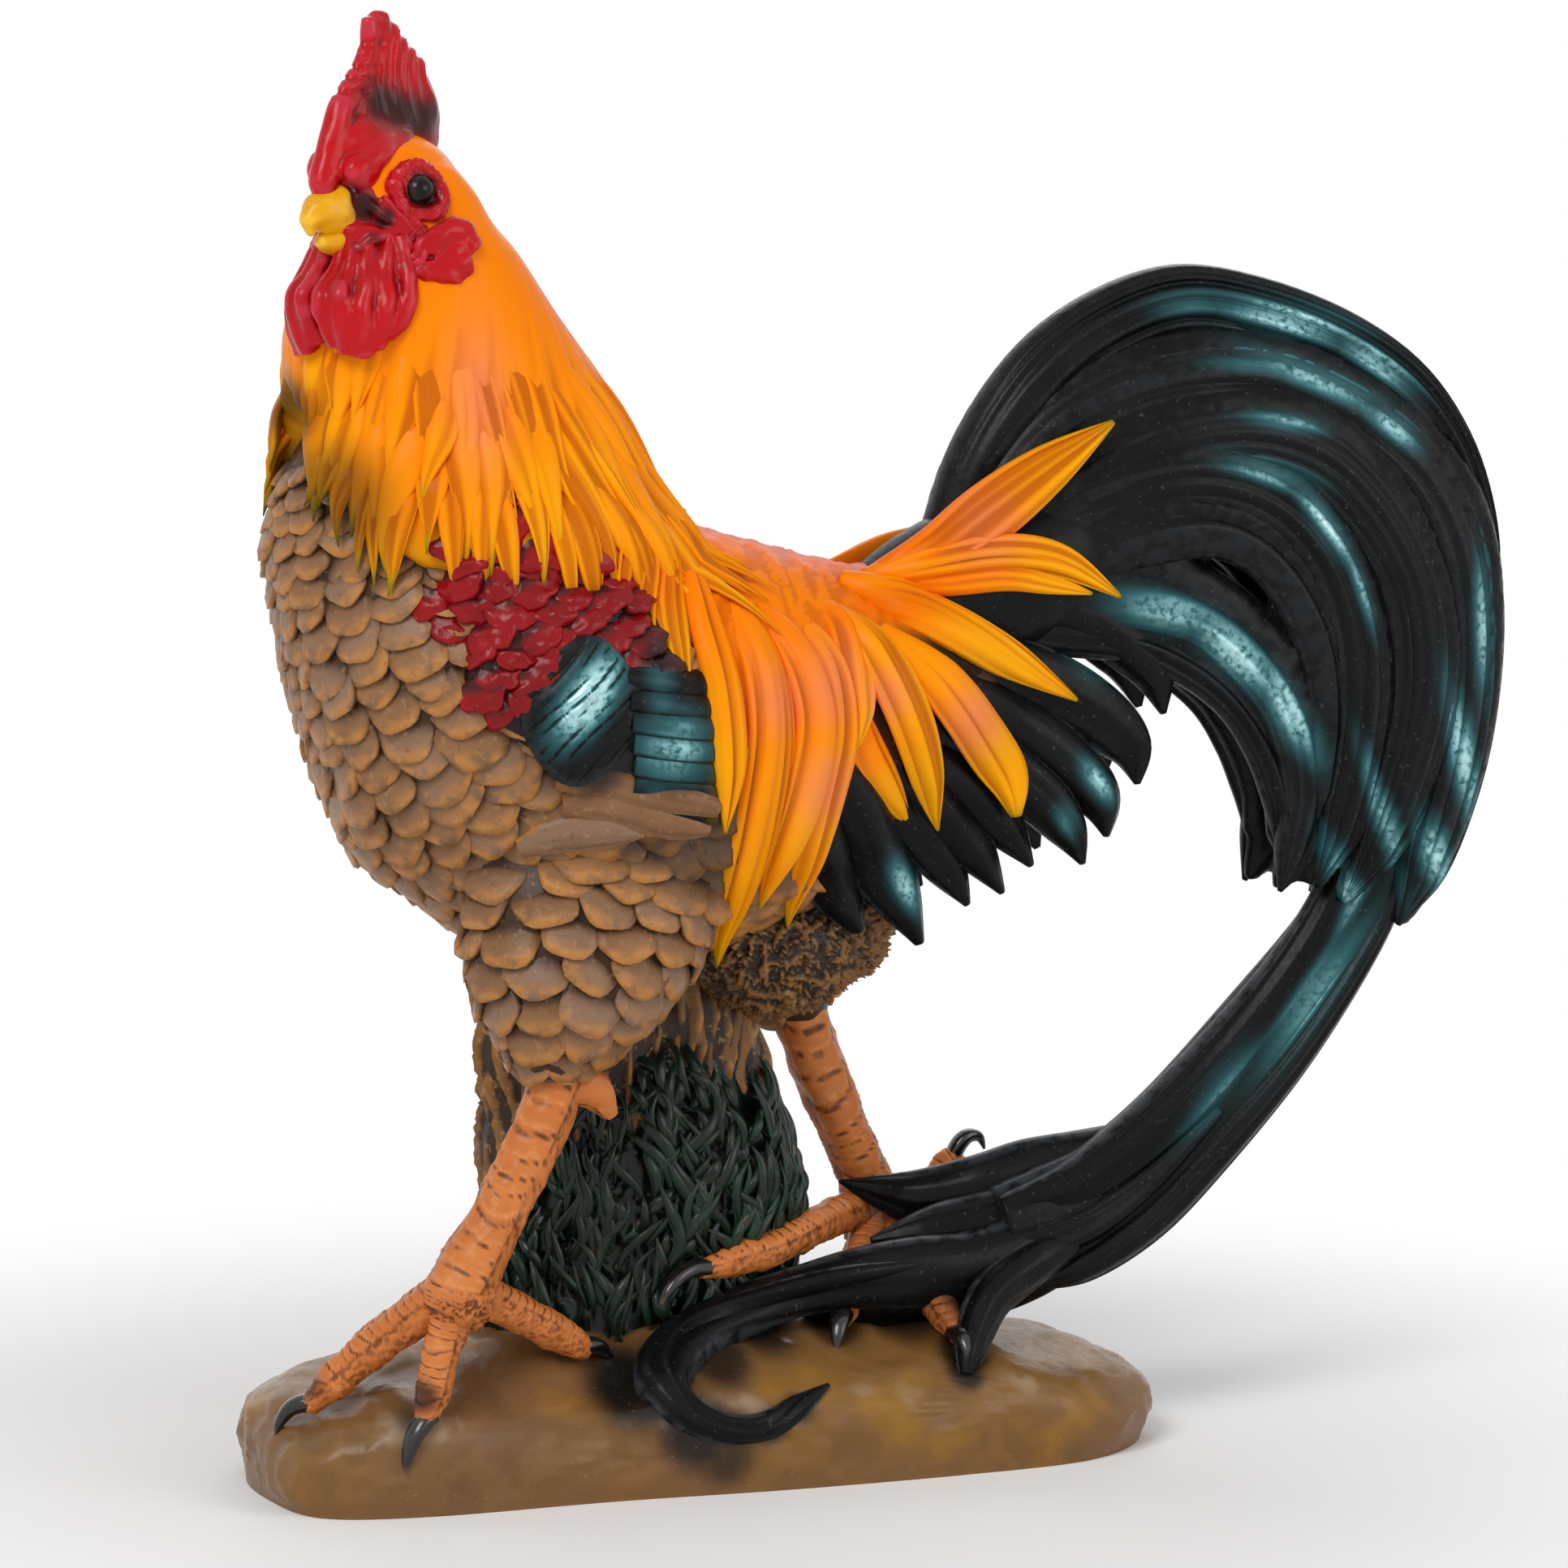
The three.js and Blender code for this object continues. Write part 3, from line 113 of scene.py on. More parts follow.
WHITE = (1, 1, 1, 1)
WORLD_LIGHT = 0.42  # how much the world lights the bird; seen or mirrored, it is plain white
world = bpy.data.worlds.new("white_studio")
bpy.context.scene.world = world
world.use_nodes = True
sky = world.node_tree
sky.nodes.clear()
rays = add_node(sky, "LightPath")
seen = rays.outputs["Is Camera Ray"]
for kind in ("Is Glossy Ray", "Is Transmission Ray"):
    seen = add_node(sky, "Math", {0: seen, 1: rays.outputs[kind]}, operation="MAXIMUM").outputs[0]
strength = add_node(sky, "MapRange", {"Value": seen, "To Min": WORLD_LIGHT, "To Max": 1.0})
glow = add_node(sky, "Background", {"Color": WHITE, "Strength": strength.outputs[0]})
sky.links.new(glow.outputs[0], add_node(sky, "OutputWorld").inputs["Surface"])
bpy.context.scene.view_settings.view_transform = "Standard"


# %% The floor
def mesh_of(bm, name):
    """What a bmesh holds, as a mesh; the bmesh is freed."""
    mesh = bpy.data.meshes.new(name)
    bm.to_mesh(mesh)
    bm.free()
    return mesh


FLOOR_HALF = 6
SHADOW_KEPT, SHADOW_GONE = 0.14, 0.42  # metres from the middle, between which the paper fades to white
bm = bmesh.new()
bmesh.ops.create_grid(bm, x_segments=2, y_segments=2, size=FLOOR_HALF)
floor_mesh = mesh_of(bm, "studio_floor")
studio_floor = bpy.data.objects.new("studio_floor", floor_mesh)
bpy.context.collection.objects.link(studio_floor)
floor_paint = bpy.data.materials.new("white_paper_floor")
floor_paint.use_nodes = True
tree = floor_paint.node_tree
tree.nodes.clear()
place = add_node(tree, "TexCoord")
reach = add_node(tree, "VectorMath", {0: place.outputs["Object"]}, operation="LENGTH")
fade = add_node(tree, "MapRange", {
    "Value": reach.outputs["Value"], "From Min": SHADOW_KEPT, "From Max": SHADOW_GONE,
}, interpolation_type="SMOOTHSTEP")
paper = add_node(tree, "BsdfDiffuse", {"Color": WHITE})
glow = add_node(tree, "Emission", {"Color": WHITE, "Strength": 1.0})
blend = add_node(tree, "MixShader", {0: fade.outputs[0], 1: paper.outputs[0], 2: glow.outputs[0]})
tree.links.new(blend.outputs[0], add_node(tree, "OutputMaterial").inputs["Surface"])
floor_mesh.materials.append(floor_paint)

# %% [markdown]
# ## Working in clay
#
# The sculptor built this bird from simple clay forms: a torso, a neck, two thighs. Each form is a closed
# bar whose rings are moved to oval sections. Feathers are the same: one small blank is made with mesh
# operators, many copies of it go into one mesh, and every copy is bent to its own place. All sizes in
# these functions are millimetres, as a maker measures them, and the mesh is written in metres.

# %% Values between the rows of a table
def row_at(rows, at):
    """A smooth value between the rows of a table; at counts rows from 0 and may lie between two."""
    rows = np.asarray(rows, float)
    at = np.clip(np.asarray(at, float), 0, len(rows) - 1)
    low = np.minimum(at.astype(int), len(rows) - 2)
    part = (at - low).reshape(at.shape + (1,) * (rows.ndim - 1))
    before, start = rows[np.maximum(low - 1, 0)], rows[low]
    end, after = rows[low + 1], rows[np.minimum(low + 2, len(rows) - 1)]
    bend = 2 * before - 5 * start + 4 * end - after
    twist = 3 * start - before - 3 * end + after
    return start + 0.5 * part * (end - before + part * (bend + part * twist))


def unit(vectors):
    """Vectors of length one."""
    vectors = np.asarray(vectors, float)
    return vectors / np.maximum(np.linalg.norm(vectors, axis=-1, keepdims=True), 1e-9)


def at_share(rows, share):
    """A smooth value at a share of a table's length, from 0 at its first row to 1 at its last."""
    return row_at(rows, share * (len(rows) - 1))


def smooth_step(low, high, value):
    """0 below low, 1 above high, and a soft rise between them."""
    part = np.clip((np.asarray(value, float) - low) / (high - low), 0, 1)
    return part * part * (3 - 2 * part)


# %% Bumps that a thumb leaves in clay
WAVES = 14       # sine waves in all directions that add up to the lumps
USUAL_SUM = 3.2  # what their sum seldom passes


def bumps(places, size, seed, ridged=False, stretch=(1, 1, 1)):
    """Soft lumps between -1 and 1 that repeat about every size millimetres, or sharp ridges."""
    random = np.random.default_rng(seed)
    total = np.zeros(places.shape[:-1])
    for _ in range(WAVES):
        way = unit(random.normal(0, 1, 3)) * np.array(stretch) / size
        total += np.sin(2 * math.pi * (places @ way) * random.uniform(0.6, 1.5) + random.uniform(0, 7))
    total = total / USUAL_SUM
    return 1 - 2 * np.minimum(np.abs(total) * 1.6, 1) if ridged else np.clip(total, -1, 1)


# %% A clay bar and a scale blank
def corners_of(mesh, kind="co"):
    """The corners of a mesh as an array, or with kind normal the way that each faces."""
    flat = np.empty(3 * len(mesh.vertices))
    mesh.vertices.foreach_get(kind, flat)
    return flat.reshape(-1, 3)


def places_of(mesh):
    """Where the corners of a mesh lie, in millimetres."""
    return corners_of(mesh) * 1000


def move_to(mesh, places):
    """Puts the corners of a mesh at places in millimetres."""
    mesh.vertices.foreach_set("co", (np.asarray(places) / 1000).ravel())


def clay_bar(sides, cuts):
    """A closed bar: its mesh, and how far along (0 to 1) and round (an angle) each corner lies."""
    bm = bmesh.new()
    bmesh.ops.create_cone(bm, cap_ends=True, segments=sides, radius1=1, radius2=1, depth=1)
    upright = [edge for edge in bm.edges if abs(edge.verts[0].co.z - edge.verts[1].co.z) > 0.5]
    bmesh.ops.subdivide_edges(bm, edges=upright, cuts=cuts, use_grid_fill=True)
    mesh = mesh_of(bm, "clay_bar")
    corners = corners_of(mesh)
    return mesh, corners[:, 2] + 0.5, np.arctan2(corners[:, 1], corners[:, 0])


def scale_blank(steps):
    """A round scale one unit in radius with a short skirt below its rim, closed underneath."""
    bm = bmesh.new()
    bmesh.ops.create_grid(bm, x_segments=steps, y_segments=steps, size=1)
    for corner in bm.verts:
        x, y = corner.co.x, corner.co.y
        corner.co = (x * math.sqrt(1 - y * y / 2), y * math.sqrt(1 - x * x / 2), 0)
    rim = [edge for edge in bm.edges if edge.is_boundary]
    skirt = bmesh.ops.extrude_edge_only(bm, edges=rim)["geom"]
    for part in skirt:
        if isinstance(part, bmesh.types.BMVert):
            part.co.z = -1
    bmesh.ops.holes_fill(bm, edges=[edge for edge in bm.edges if edge.is_boundary], sides=0)
    bmesh.ops.recalc_face_normals(bm, faces=bm.faces)
    mesh = mesh_of(bm, "scale_blank")
    return mesh, corners_of(mesh)


# %% From blanks to a finished piece
def add_piece(name, mesh, material, replaces=(), slot=None, **paint):
    """A mesh as a piece that rides on the frame.

    The paint values are stored at the corners; one number stands for all of them.
    """
    mesh.name = name
    for kind, values in paint.items():
        layer = mesh.attributes.new(kind, "FLOAT", "POINT")
        layer.data.foreach_set("value", np.resize(np.asarray(values, np.float32), len(mesh.vertices)))
    mesh.polygons.foreach_set("use_smooth", np.ones(len(mesh.polygons), bool))
    mesh.materials.clear()
    mesh.materials.append(material)
    piece = bpy.data.objects.new(name, mesh)
    bpy.context.collection.objects.link(piece)
    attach(piece, "root")
    if replaces:
        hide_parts(*replaces)
    print(f"{name}: {len(mesh.polygons)} faces")


def press(name, blank, places, material, **options):
    """Copies of one blank in one mesh; places holds, for each copy, every corner in millimetres."""
    bm = bmesh.new()
    for _ in places:
        bm.from_mesh(blank)
    mesh = mesh_of(bm, name)
    move_to(mesh, places)
    bm = bmesh.new()
    bm.from_mesh(mesh)
    bmesh.ops.recalc_face_normals(bm, faces=bm.faces)
    bm.to_mesh(mesh)
    bm.free()
    add_piece(name, mesh, material, **options)


def rings_of(blank, centres, across, along):
    """The corners of a clay bar whose ring at each share of its length has a centre and two half axes."""
    _, share, turn = blank
    centre, side, rise = (at_share(rows, share) for rows in (centres, across, along))
    return centre + side * np.cos(turn)[:, None] + rise * np.sin(turn)[:, None]


# %% [markdown]
# ## Paint
#
# The cast bird is sprayed and brushed in layers: a flat base coat, a dark wash that stays in the hollows,
# a nearly dry brush that catches the rims, soft airbrushed clouds, and a satin lacquer over all. Each
# paint here is built in that order. On many pieces the dark in the hollows is also painted shade and the
# light on the rims a painted highlight. Both need to know where the rims and hollows are, and the pieces
# store that at their corners, so the paint follows the sculpture.

# %% The base of a paint
def start_paint(name):
    """A new paint with its shader; returns the material, its nodes and the shader."""
    material = bpy.data.materials.new(name)
    material.use_nodes = True
    tree = material.node_tree
    tree.nodes.clear()
    shader = add_node(tree, "BsdfPrincipled")
    tree.links.new(shader.outputs[0], add_node(tree, "OutputMaterial").inputs["Surface"])
    return material, tree, shader


def speckle(tree, size, detail=3.0, stretch=(1, 1, 1)):
    """Noise whose spots are about size millimetres across."""
    place = add_node(tree, "TexCoord")
    spread = add_node(tree, "Mapping", {"Vector": place.outputs["Object"], "Scale": stretch})
    noise = add_node(tree, "TexNoise", {"Vector": spread.outputs[0], "Scale": 500 / size, "Detail": detail})
    return noise.outputs["Fac"]


def painted(name, base, coats, rough=(0.36, 0.52), gloss=0.3, grain=1.5, depth=0.2, metal=None,
            spread=(1, 1, 1), shine=0.2):
    """A paint of coats: each has a driver, the range in which it starts to cover, its most and its colour.

    A driver is the name of a value stored at the corners, or the size of a speckle in millimetres, or both.
    """
    material, tree, shader = start_paint(name)
    grit = speckle(tree, grain, 5, spread)
    colour = paint_colour(base)
    for driver, low, high, most, code in coats:
        stored, size = driver if isinstance(driver, tuple) else (driver, None)
        if not isinstance(stored, str):
            stored, size = None, stored
        specks = speckle(tree, size, 4, spread) if size else None
        value = add_node(tree, "Attribute", attribute_name=stored).outputs["Fac"] if stored else specks
        amount = add_node(tree, "MapRange", {
            "Value": value, "From Min": low, "From Max": high, "To Min": 0.0, "To Max": most,
        }, interpolation_type="SMOOTHSTEP").outputs[0]
        if stored and size:
            broken = add_node(tree, "MapRange", {
                "Value": specks, "From Min": 0.32, "From Max": 0.58,
            }, interpolation_type="SMOOTHSTEP").outputs[0]
            amount = add_node(tree, "Math", {0: amount, 1: broken}, operation="MULTIPLY").outputs[0]
        mixed = add_node(tree, "Mix", {0: amount, 6: colour, 7: paint_colour(code)}, data_type="RGBA")
        colour = mixed.outputs[2]
    tree.links.new(colour, shader.inputs["Base Color"])
    roughness = add_node(tree, "MapRange", {
        "Value": grit, "From Min": 0.3, "From Max": 0.7, "To Min": rough[0], "To Max": rough[1],
    })
    tree.links.new(roughness.outputs[0], shader.inputs["Roughness"])
    bump = add_node(tree, "Bump", {"Height": grit, "Distance": depth / 1000, "Strength": 1.0})
    tree.links.new(bump.outputs[0], shader.inputs["Normal"])
    if metal:
        powder = add_node(tree, "Attribute", attribute_name=metal[0]).outputs["Fac"]
        flakes = add_node(tree, "Math", {0: powder, 1: metal[1]}, operation="MULTIPLY")
        tree.links.new(flakes.outputs[0], shader.inputs["Metallic"])
    for socket, value in (("IOR", 1.5), ("Specular IOR Level", shine), ("Coat Weight", gloss),
                          ("Coat Roughness", 0.2)):
        shader.inputs[socket].default_value = value
    return material


# %% Breast paint: brown base, grey wash in the middle, painted shade in the hollows, ochre dry brush on rims
BREAST_PAINT = painted("satin_acrylic_breast", "#7D583A", [
    (9, 0.35, 0.65, 0.8, "#8C6746"), ("tint", 0.4, 1.0, 0.4, "#8C7668"),
    ("hollow", 0.05, 0.9, 0.92, "#342015"), (("rim", 2.4), 0.1, 1.0, 0.85, "#C38340"),
    (1.1, 0.58, 0.70, 0.22, "#C49C6C"), (0.9, 0.38, 0.28, 0.4, "#5A3C28"),
    ("smoke", 0.0, 1.0, 0.95, "#1E1B1A"),
], rough=(0.32, 0.48), gloss=0.08, grain=1.2, depth=0.4, shine=0.16)

# %% [markdown]
# ## Airbrush
#
# Where two colours meet, the painter sprayed a little black or dark olive from an airbrush. Each burst is
# a soft ball: a centre, a reach and a strength. The pieces near it store how much they caught.

# %% Airbrush bursts
def sprayed(places, bursts):
    """How much black each place caught from bursts of centre x, y, z, reach and strength.

    The bird is painted from its sides, so a burst reaches twice as far across it.
    """
    caught = np.zeros(places.shape[:-1])
    for x, y, z, reach, strength in bursts:
        away = np.linalg.norm((places - (x, y, z)) * (1, 0.5, 1), axis=-1)
        caught = np.maximum(caught, strength * (1 - smooth_step(0.3 * reach, reach, away)))
    return caught


# %% [markdown]
# ## The torso, the thighs and the neck as one skin
#
# The torso's rings run from the breast to the rump, the thighs' rings from the hip down to the knee and the
# neck's from the head to the shoulders. Remeshing fuses the bars into one skin, and smoothing closes the
# creases where they meet. Later pieces are laid on this skin by sending a ray at it.

# %% The rings of the body
# Each ring of the torso: its x, its centre's height, and its half sizes upwards and sideways.
TORSO_ROWS = [
    (-119.0, 255.3, 4.1, 4.3), (-112.6, 248.5, 29.9, 23.8), (-99.7, 234.9, 57.1, 36.7),
    (-80.5, 222.0, 62.0, 47.0), (-50.5, 208.0, 68.0, 52.9), (-20.6, 200.0, 62.0, 54.0),
    (9.4, 200.0, 54.0, 49.0), (39.4, 203.0, 43.0, 38.9), (61.8, 209.1, 35.0, 31.0),
    (80.0, 213.2, 25.0, 21.0), (95.0, 215.9, 4.1, 3.2),
]
# Each ring of the neck and the thighs: its height, its centre's x and y, and its half sizes.
NECK_ROWS = [
    (355, -88, -18, 14.5, 12), (348, -85.5, -17.6, 17.5, 13.5), (340, -84, -16.8, 20.5, 17),
    (332, -82, -14.5, 25.5, 21.5), (314, -79.5, -10, 36, 30), (294, -72, -6, 44, 38), (269, -66, -3, 51, 47),
    (254, -60, -1, 57, 50), (244, -54, 0, 54, 46), (226, -50, 0, 40, 36),
]
THIGH_ROWS = {
    "left": [(198, -34, -20, 22, 12), (175, -36, -28, 36, 20), (155, -41, -33, 34, 23),
             (139, -45, -35, 28, 22), (126, -49, -36, 19, 17), (115, -53, -37, 9, 9)],
    "right": [(198, 8, 18, 22, 12), (175, 12, 26, 32, 18), (155, 20, 30, 28, 20),
              (139, 28, 32, 22, 17), (127, 33, 31, 15, 13), (116, 37, 30, 9, 9)],
}


def torso_bar():
    """The torso as a bar's mesh and its corners, ring by ring from the breast to the rump."""
    blank = clay_bar(64, 90)
    x, z, tall, wide = np.array(TORSO_ROWS).T
    centres = np.column_stack([x, 0 * x, z])
    return blank[0], rings_of(blank, centres, np.outer(wide, (0, 1, 0)), np.outer(tall, (0, 0, 1)))


def level_bar(rows, cuts=60):
    """An upright form in the same way; each row is a height, a centre x and y, and two half sizes."""
    blank = clay_bar(64, cuts)
    z, x, y, long, deep = np.array(rows, float).T
    centres = np.column_stack([x, y, z])
    return blank[0], rings_of(blank, centres, np.outer(long, (1, 0, 0)), np.outer(deep, (0, 1, 0)))


def fused(name, bars, voxel, rounds):
    """Bars fused into one closed mesh by remeshing, and smoothed some rounds; returns a plain mesh."""
    bm = bmesh.new()
    for blank, places in bars:
        start = len(bm.verts)
        bm.from_mesh(blank)
        bm.verts.ensure_lookup_table()
        for corner, place in zip(bm.verts[start:], places / 1000):
            corner.co = place
    lump = bpy.data.objects.new(name, mesh_of(bm, name))
    bpy.context.collection.objects.link(lump)
    remesh = lump.modifiers.new("remesh", "REMESH")
    remesh.mode, remesh.voxel_size = "VOXEL", voxel / 1000
    soften = lump.modifiers.new("soften", "SMOOTH")
    soften.factor, soften.iterations = 0.6, rounds
    made = bpy.data.meshes.new_from_object(lump.evaluated_get(bpy.context.evaluated_depsgraph_get()))
    bpy.data.objects.remove(lump)
    return made


def tree_of(mesh):
    """A search tree over a mesh, in millimetres."""
    return BVHTree.FromPolygons(places_of(mesh).tolist(), [tuple(face.vertices) for face in mesh.polygons])


def egg(centre, halves, finer=5):
    """An egg-shaped blank and its corners."""
    bm = bmesh.new()
    bmesh.ops.create_icosphere(bm, subdivisions=finer, radius=1)
    mesh = mesh_of(bm, "egg")
    return mesh, corners_of(mesh) * halves + centre


# %% The head's own directions and its skull
HEAD_CENTRE = np.array([-91.0, -18.0, 346.0])
AHEAD = np.array([-0.829, -0.559, 0])
OUTWARD = np.array([0.559, -0.829, 0])
SKULL_AT = (-2, 0, 0)
SKULL_HALF = (21.5, 15.4, 18.5)


def on_head(places):
    """Places given as forward, outward and up from the head's centre."""
    places = np.atleast_2d(np.asarray(places, float))
    return HEAD_CENTRE + places[:, :1] * AHEAD + places[:, 1:2] * OUTWARD + places[:, 2:] * (0, 0, 1)


def head_egg(at, halves, finer=4):
    """An egg-shaped blank turned with the head."""
    mesh, corners = egg(at, halves, finer)
    return mesh, on_head(corners)


# %% The body skin
body_bars = [torso_bar(), level_bar(THIGH_ROWS["left"]), level_bar(THIGH_ROWS["right"])]
skin_mesh = fused("body_skin", body_bars, 2.0, 6)
skin = tree_of(skin_mesh)
print("skin:", len(skin_mesh.polygons), "faces")


# %% Laying a place on a form
def land(form, start, direction):
    """Where a ray from start hits a form, with the form's outward normal there, or None."""
    place, normal, _, _ = form.ray_cast(Vector(start), Vector(direction))
    if place is None:
        return None
    if normal.dot(Vector(direction)) > 0:
        normal = -normal
    return np.array(place), np.array(normal)


def land_inward(forms, axis, direction, reach=160):
    """The outermost place that a ray towards an axis point hits, over several forms."""
    direction = unit(direction)
    start = np.asarray(axis) + reach * direction
    hits = [hit for hit in (land(form, start, -direction) for form in forms) if hit is not None]
    return min(hits, key=lambda hit: np.linalg.norm(hit[0] - start)) if hits else None


# %% [markdown]
# ## The breast and thigh scales
#
# The sculptor pressed hundreds of small round feathers over the breast and the thighs, row over row, each
# with its tip standing a little proud of the row below. Here every scale is one copy of a round blank. The
# rows circle an axis that leans backwards, so that the tips point down in front and back along the
# flanks. No two scales are quite alike: each has its own length, width, turn and lift.

# %% Rows of scales on a form
ROW_OVERLAP = 0.86  # the step from scale to scale in a row, as a share of a scale's width


def flattened(way, normal):
    """A direction turned into the surface that a normal stands on."""
    return unit(way - np.dot(way, normal) * normal)


def scale_seats(form, centre, pole, first, last, pitch, width_at, keep, seed):
    """Seats of scales in rows round a pole: place, normal, direction of the tip and width.

    The angle from the pole's far end grows from first to last, by a pitch of so many widths a row.
    """
    random = np.random.default_rng(seed)
    pole = unit(pole)
    ahead = unit(np.array([-1.0, 0, 0]) + pole[0] * pole)
    side = np.cross(pole, ahead)

    def reached(angle, around):
        level = ahead * math.cos(around) + side * math.sin(around)
        return land_inward([form], centre, -pole * math.cos(angle) + math.sin(angle) * level)

    seats, angle, row = [], first, 0
    while angle < last:
        around, reach = 0.0, 1.0
        turns = []
        while around < 2 * math.pi:
            hit = reached(angle, around)
            if hit is None:
                around += 0.2
                continue
            reach = np.linalg.norm(hit[0] - centre)
            width = width_at(hit[0])
            turns.append((around, width))
            around += ROW_OVERLAP * width / max(reach * math.sin(angle), 8)
        shift = 0.5 * (row % 2)
        for around, width in turns:
            step = ROW_OVERLAP * width / max(reach * math.sin(angle), 8)
            around += shift * step + random.normal(0, 0.012)
            hit = reached(angle + random.normal(0, 0.010), around)
            if hit is None or not keep(hit[0]):
                continue
            place, normal = hit
            tip = flattened(pole, normal)
            turn = random.normal(0, 0.22)
            tip = unit(tip * math.cos(turn) + np.cross(normal, tip) * math.sin(turn))
            seats.append((place, normal, tip, width * random.uniform(0.86, 1.16)))
        hit = reached(angle, 0.0)
        if hit is None:
            angle += 0.05
        else:
            angle += pitch * width_at(hit[0]) / max(np.linalg.norm(hit[0] - centre), 20)
        row += 1
    return seats


def scale_places(blank, seats, seed, dome=0.05, lift=0.30, skirt=1.6, length=0.98):
    """Every corner of every scale, with how near the rim and how deep in the hollow it lies."""
    random = np.random.default_rng(seed)
    x, y, deep = blank[1].T
    radius = np.hypot(x, y)
    places, rims, hollows, tints = [], [], [], []
    for place, normal, tip, width in seats:
        half = width / 2
        long = half * length * random.uniform(0.92, 1.12)
        wider = 1 + 0.10 * x
        wave = 1 + 0.045 * np.sin(5 * np.arctan2(y, x) + random.uniform(0, 6)) * radius
        ridge = 0.35 * np.exp(-(y / 0.22) ** 2) * (1 - radius ** 2) * random.uniform(0.2, 1.2)
        rise = width * (dome * (1 - radius ** 2.4) + lift * (0.55 * x - 0.1)) + ridge + 0.4
        rise = rise - 0.006 * ((x * long) ** 2 + (y * half) ** 2) / 2
        rise = rise + random.uniform(-0.3, 0.5) + random.uniform(-0.05, 0.05) * width * y + deep * skirt
        thumbed = np.sin(7 * x + random.uniform(0, 6)) * np.sin(6 * y + random.uniform(0, 6))
        rise = rise + 0.25 * thumbed * (deep > -0.5)
        side = np.cross(normal, tip)
        across = y * half * wider * wave + random.uniform(-0.06, 0.06) * width * x * y
        ahead = np.outer(x * long * wave, tip)
        places.append(place + ahead + np.outer(across, side) + np.outer(rise, normal))
        brushed = smooth_step(-0.1, 0.95, x) * (0.45 + 0.55 * smooth_step(0.4, 0.95, radius))
        rims.append(np.where(deep < -0.5, 0.1, brushed))
        # Each scale's skirt and its root, under the tip of the row above, are painted dark: painted shade.
        hollows.append(np.maximum(-deep, 0.9 * smooth_step(0.35, -0.45, x)))
        tints.append(np.full(len(x), random.uniform(0, 1)))
    return np.array(places), np.array(rims), np.array(hollows), np.array(tints)


# %% The seats on the breast and on both thighs
def breast_width(place):
    """Scales grow from 9 mm below the throat to 17 mm at the belly."""
    return float(np.interp(place[2], [150, 200, 245, 275, 300], [17.5, 17.0, 15.0, 11.0, 9.0]))


def thigh_width(place):
    """Scales on a thigh grow from 11 mm above the knee to 18.5 mm at the hip."""
    return float(np.interp(place[2], [112, 130, 175], [11, 15, 18.5]))


def on_skin(place):
    """Whether a place on one form shows, and isn't inside another form."""
    _, _, _, away = skin.find_nearest(Vector(place))
    return away < 1.4


# Corners in x and z: behind and above each of them the cape, the wing or the saddle covers the breast.
COVERED = [(36, 0), (-7, 172), (-16, 214), (-46, 240), (-88, 262)]
KNEE_HEIGHT = 113


def on_breast(place):
    """Where breast scales show."""
    return not any(place[0] > x and place[2] > z for x, z in COVERED) and on_skin(place)


def on_thigh(place):
    """Where thigh scales show."""
    return on_skin(place) and place[2] > KNEE_HEIGHT


SIDES = (("left", -1), ("right", 1))
leathery_scale = scale_blank(6)
torso_form = tree_of(fused("torso_form", [torso_bar()], 2.0, 2))
seats = scale_seats(torso_form, np.array([-42.0, 0, 214]), (0.42, 0.0, -0.91), 0.45, 2.75, 0.43, breast_width,
                    on_breast, 11)
THIGH_LEAN = {"left": -0.12, "right": 0.25}
for side, sign in SIDES:
    rows = THIGH_ROWS[side]
    form = tree_of(fused("thigh_form", [level_bar(rows)], 2.0, 2))
    centre = np.array([rows[2][1] + 4, sign * 26.0, 172])
    seats += scale_seats(form, centre, (THIGH_LEAN[side], sign * 0.05, -1), 0.75, 2.95, 0.42, thigh_width,
                         on_thigh, 21)
print(len(seats), "scales")

# %% Pressing the scales
places, rims, hollows, tints = scale_places(leathery_scale, seats, 5, skirt=2.4)
BREAST_BURSTS = [
    (-92, -40, 262, 20, 0.75), (-78, -46, 255, 17, 0.6), (-30, -50, 186, 24, 0.85), (-12, -50, 174, 22, 0.8),
    (-50, -52, 200, 20, 0.6), (8, -46, 168, 20, 0.5), (-64, -52, 228, 16, 0.35), (-92, 40, 262, 20, 0.7),
    (-30, 50, 186, 24, 0.8), (-12, 50, 174, 22, 0.8),
]
press("breast_scales", leathery_scale[0], places, BREAST_PAINT, slot="breast", rim=rims, hollow=hollows,
      tint=tints, smoke=sprayed(places, BREAST_BURSTS) * 0.8)

# %% The skin between the scales
# The skin between the scales is painted dark brown all over, a painted shade in the gaps; the airbrushed
# black lies over it.
add_piece("body_skin", skin_mesh, BREAST_PAINT, replaces=("body", "thigh_left", "thigh_right"), slot="breast",
          hollow=0.9, smoke=sprayed(places_of(skin_mesh), BREAST_BURSTS))

# %% [markdown]
# ## Long feathers
#
# The cape, the saddle and the tail are long pointed feathers. A maker rolls a clay bar, flattens it, draws
# grooves along it with a needle and lays it on the bird. The function below does the same to a bar: its
# rings follow a line, flattened against the surface they lie on, and grooves run from root to tip.

# %% Laying one long feather
def ways_along(line):
    """The direction of a line at each of its points."""
    return unit(np.gradient(np.asarray(line, float), axis=0))


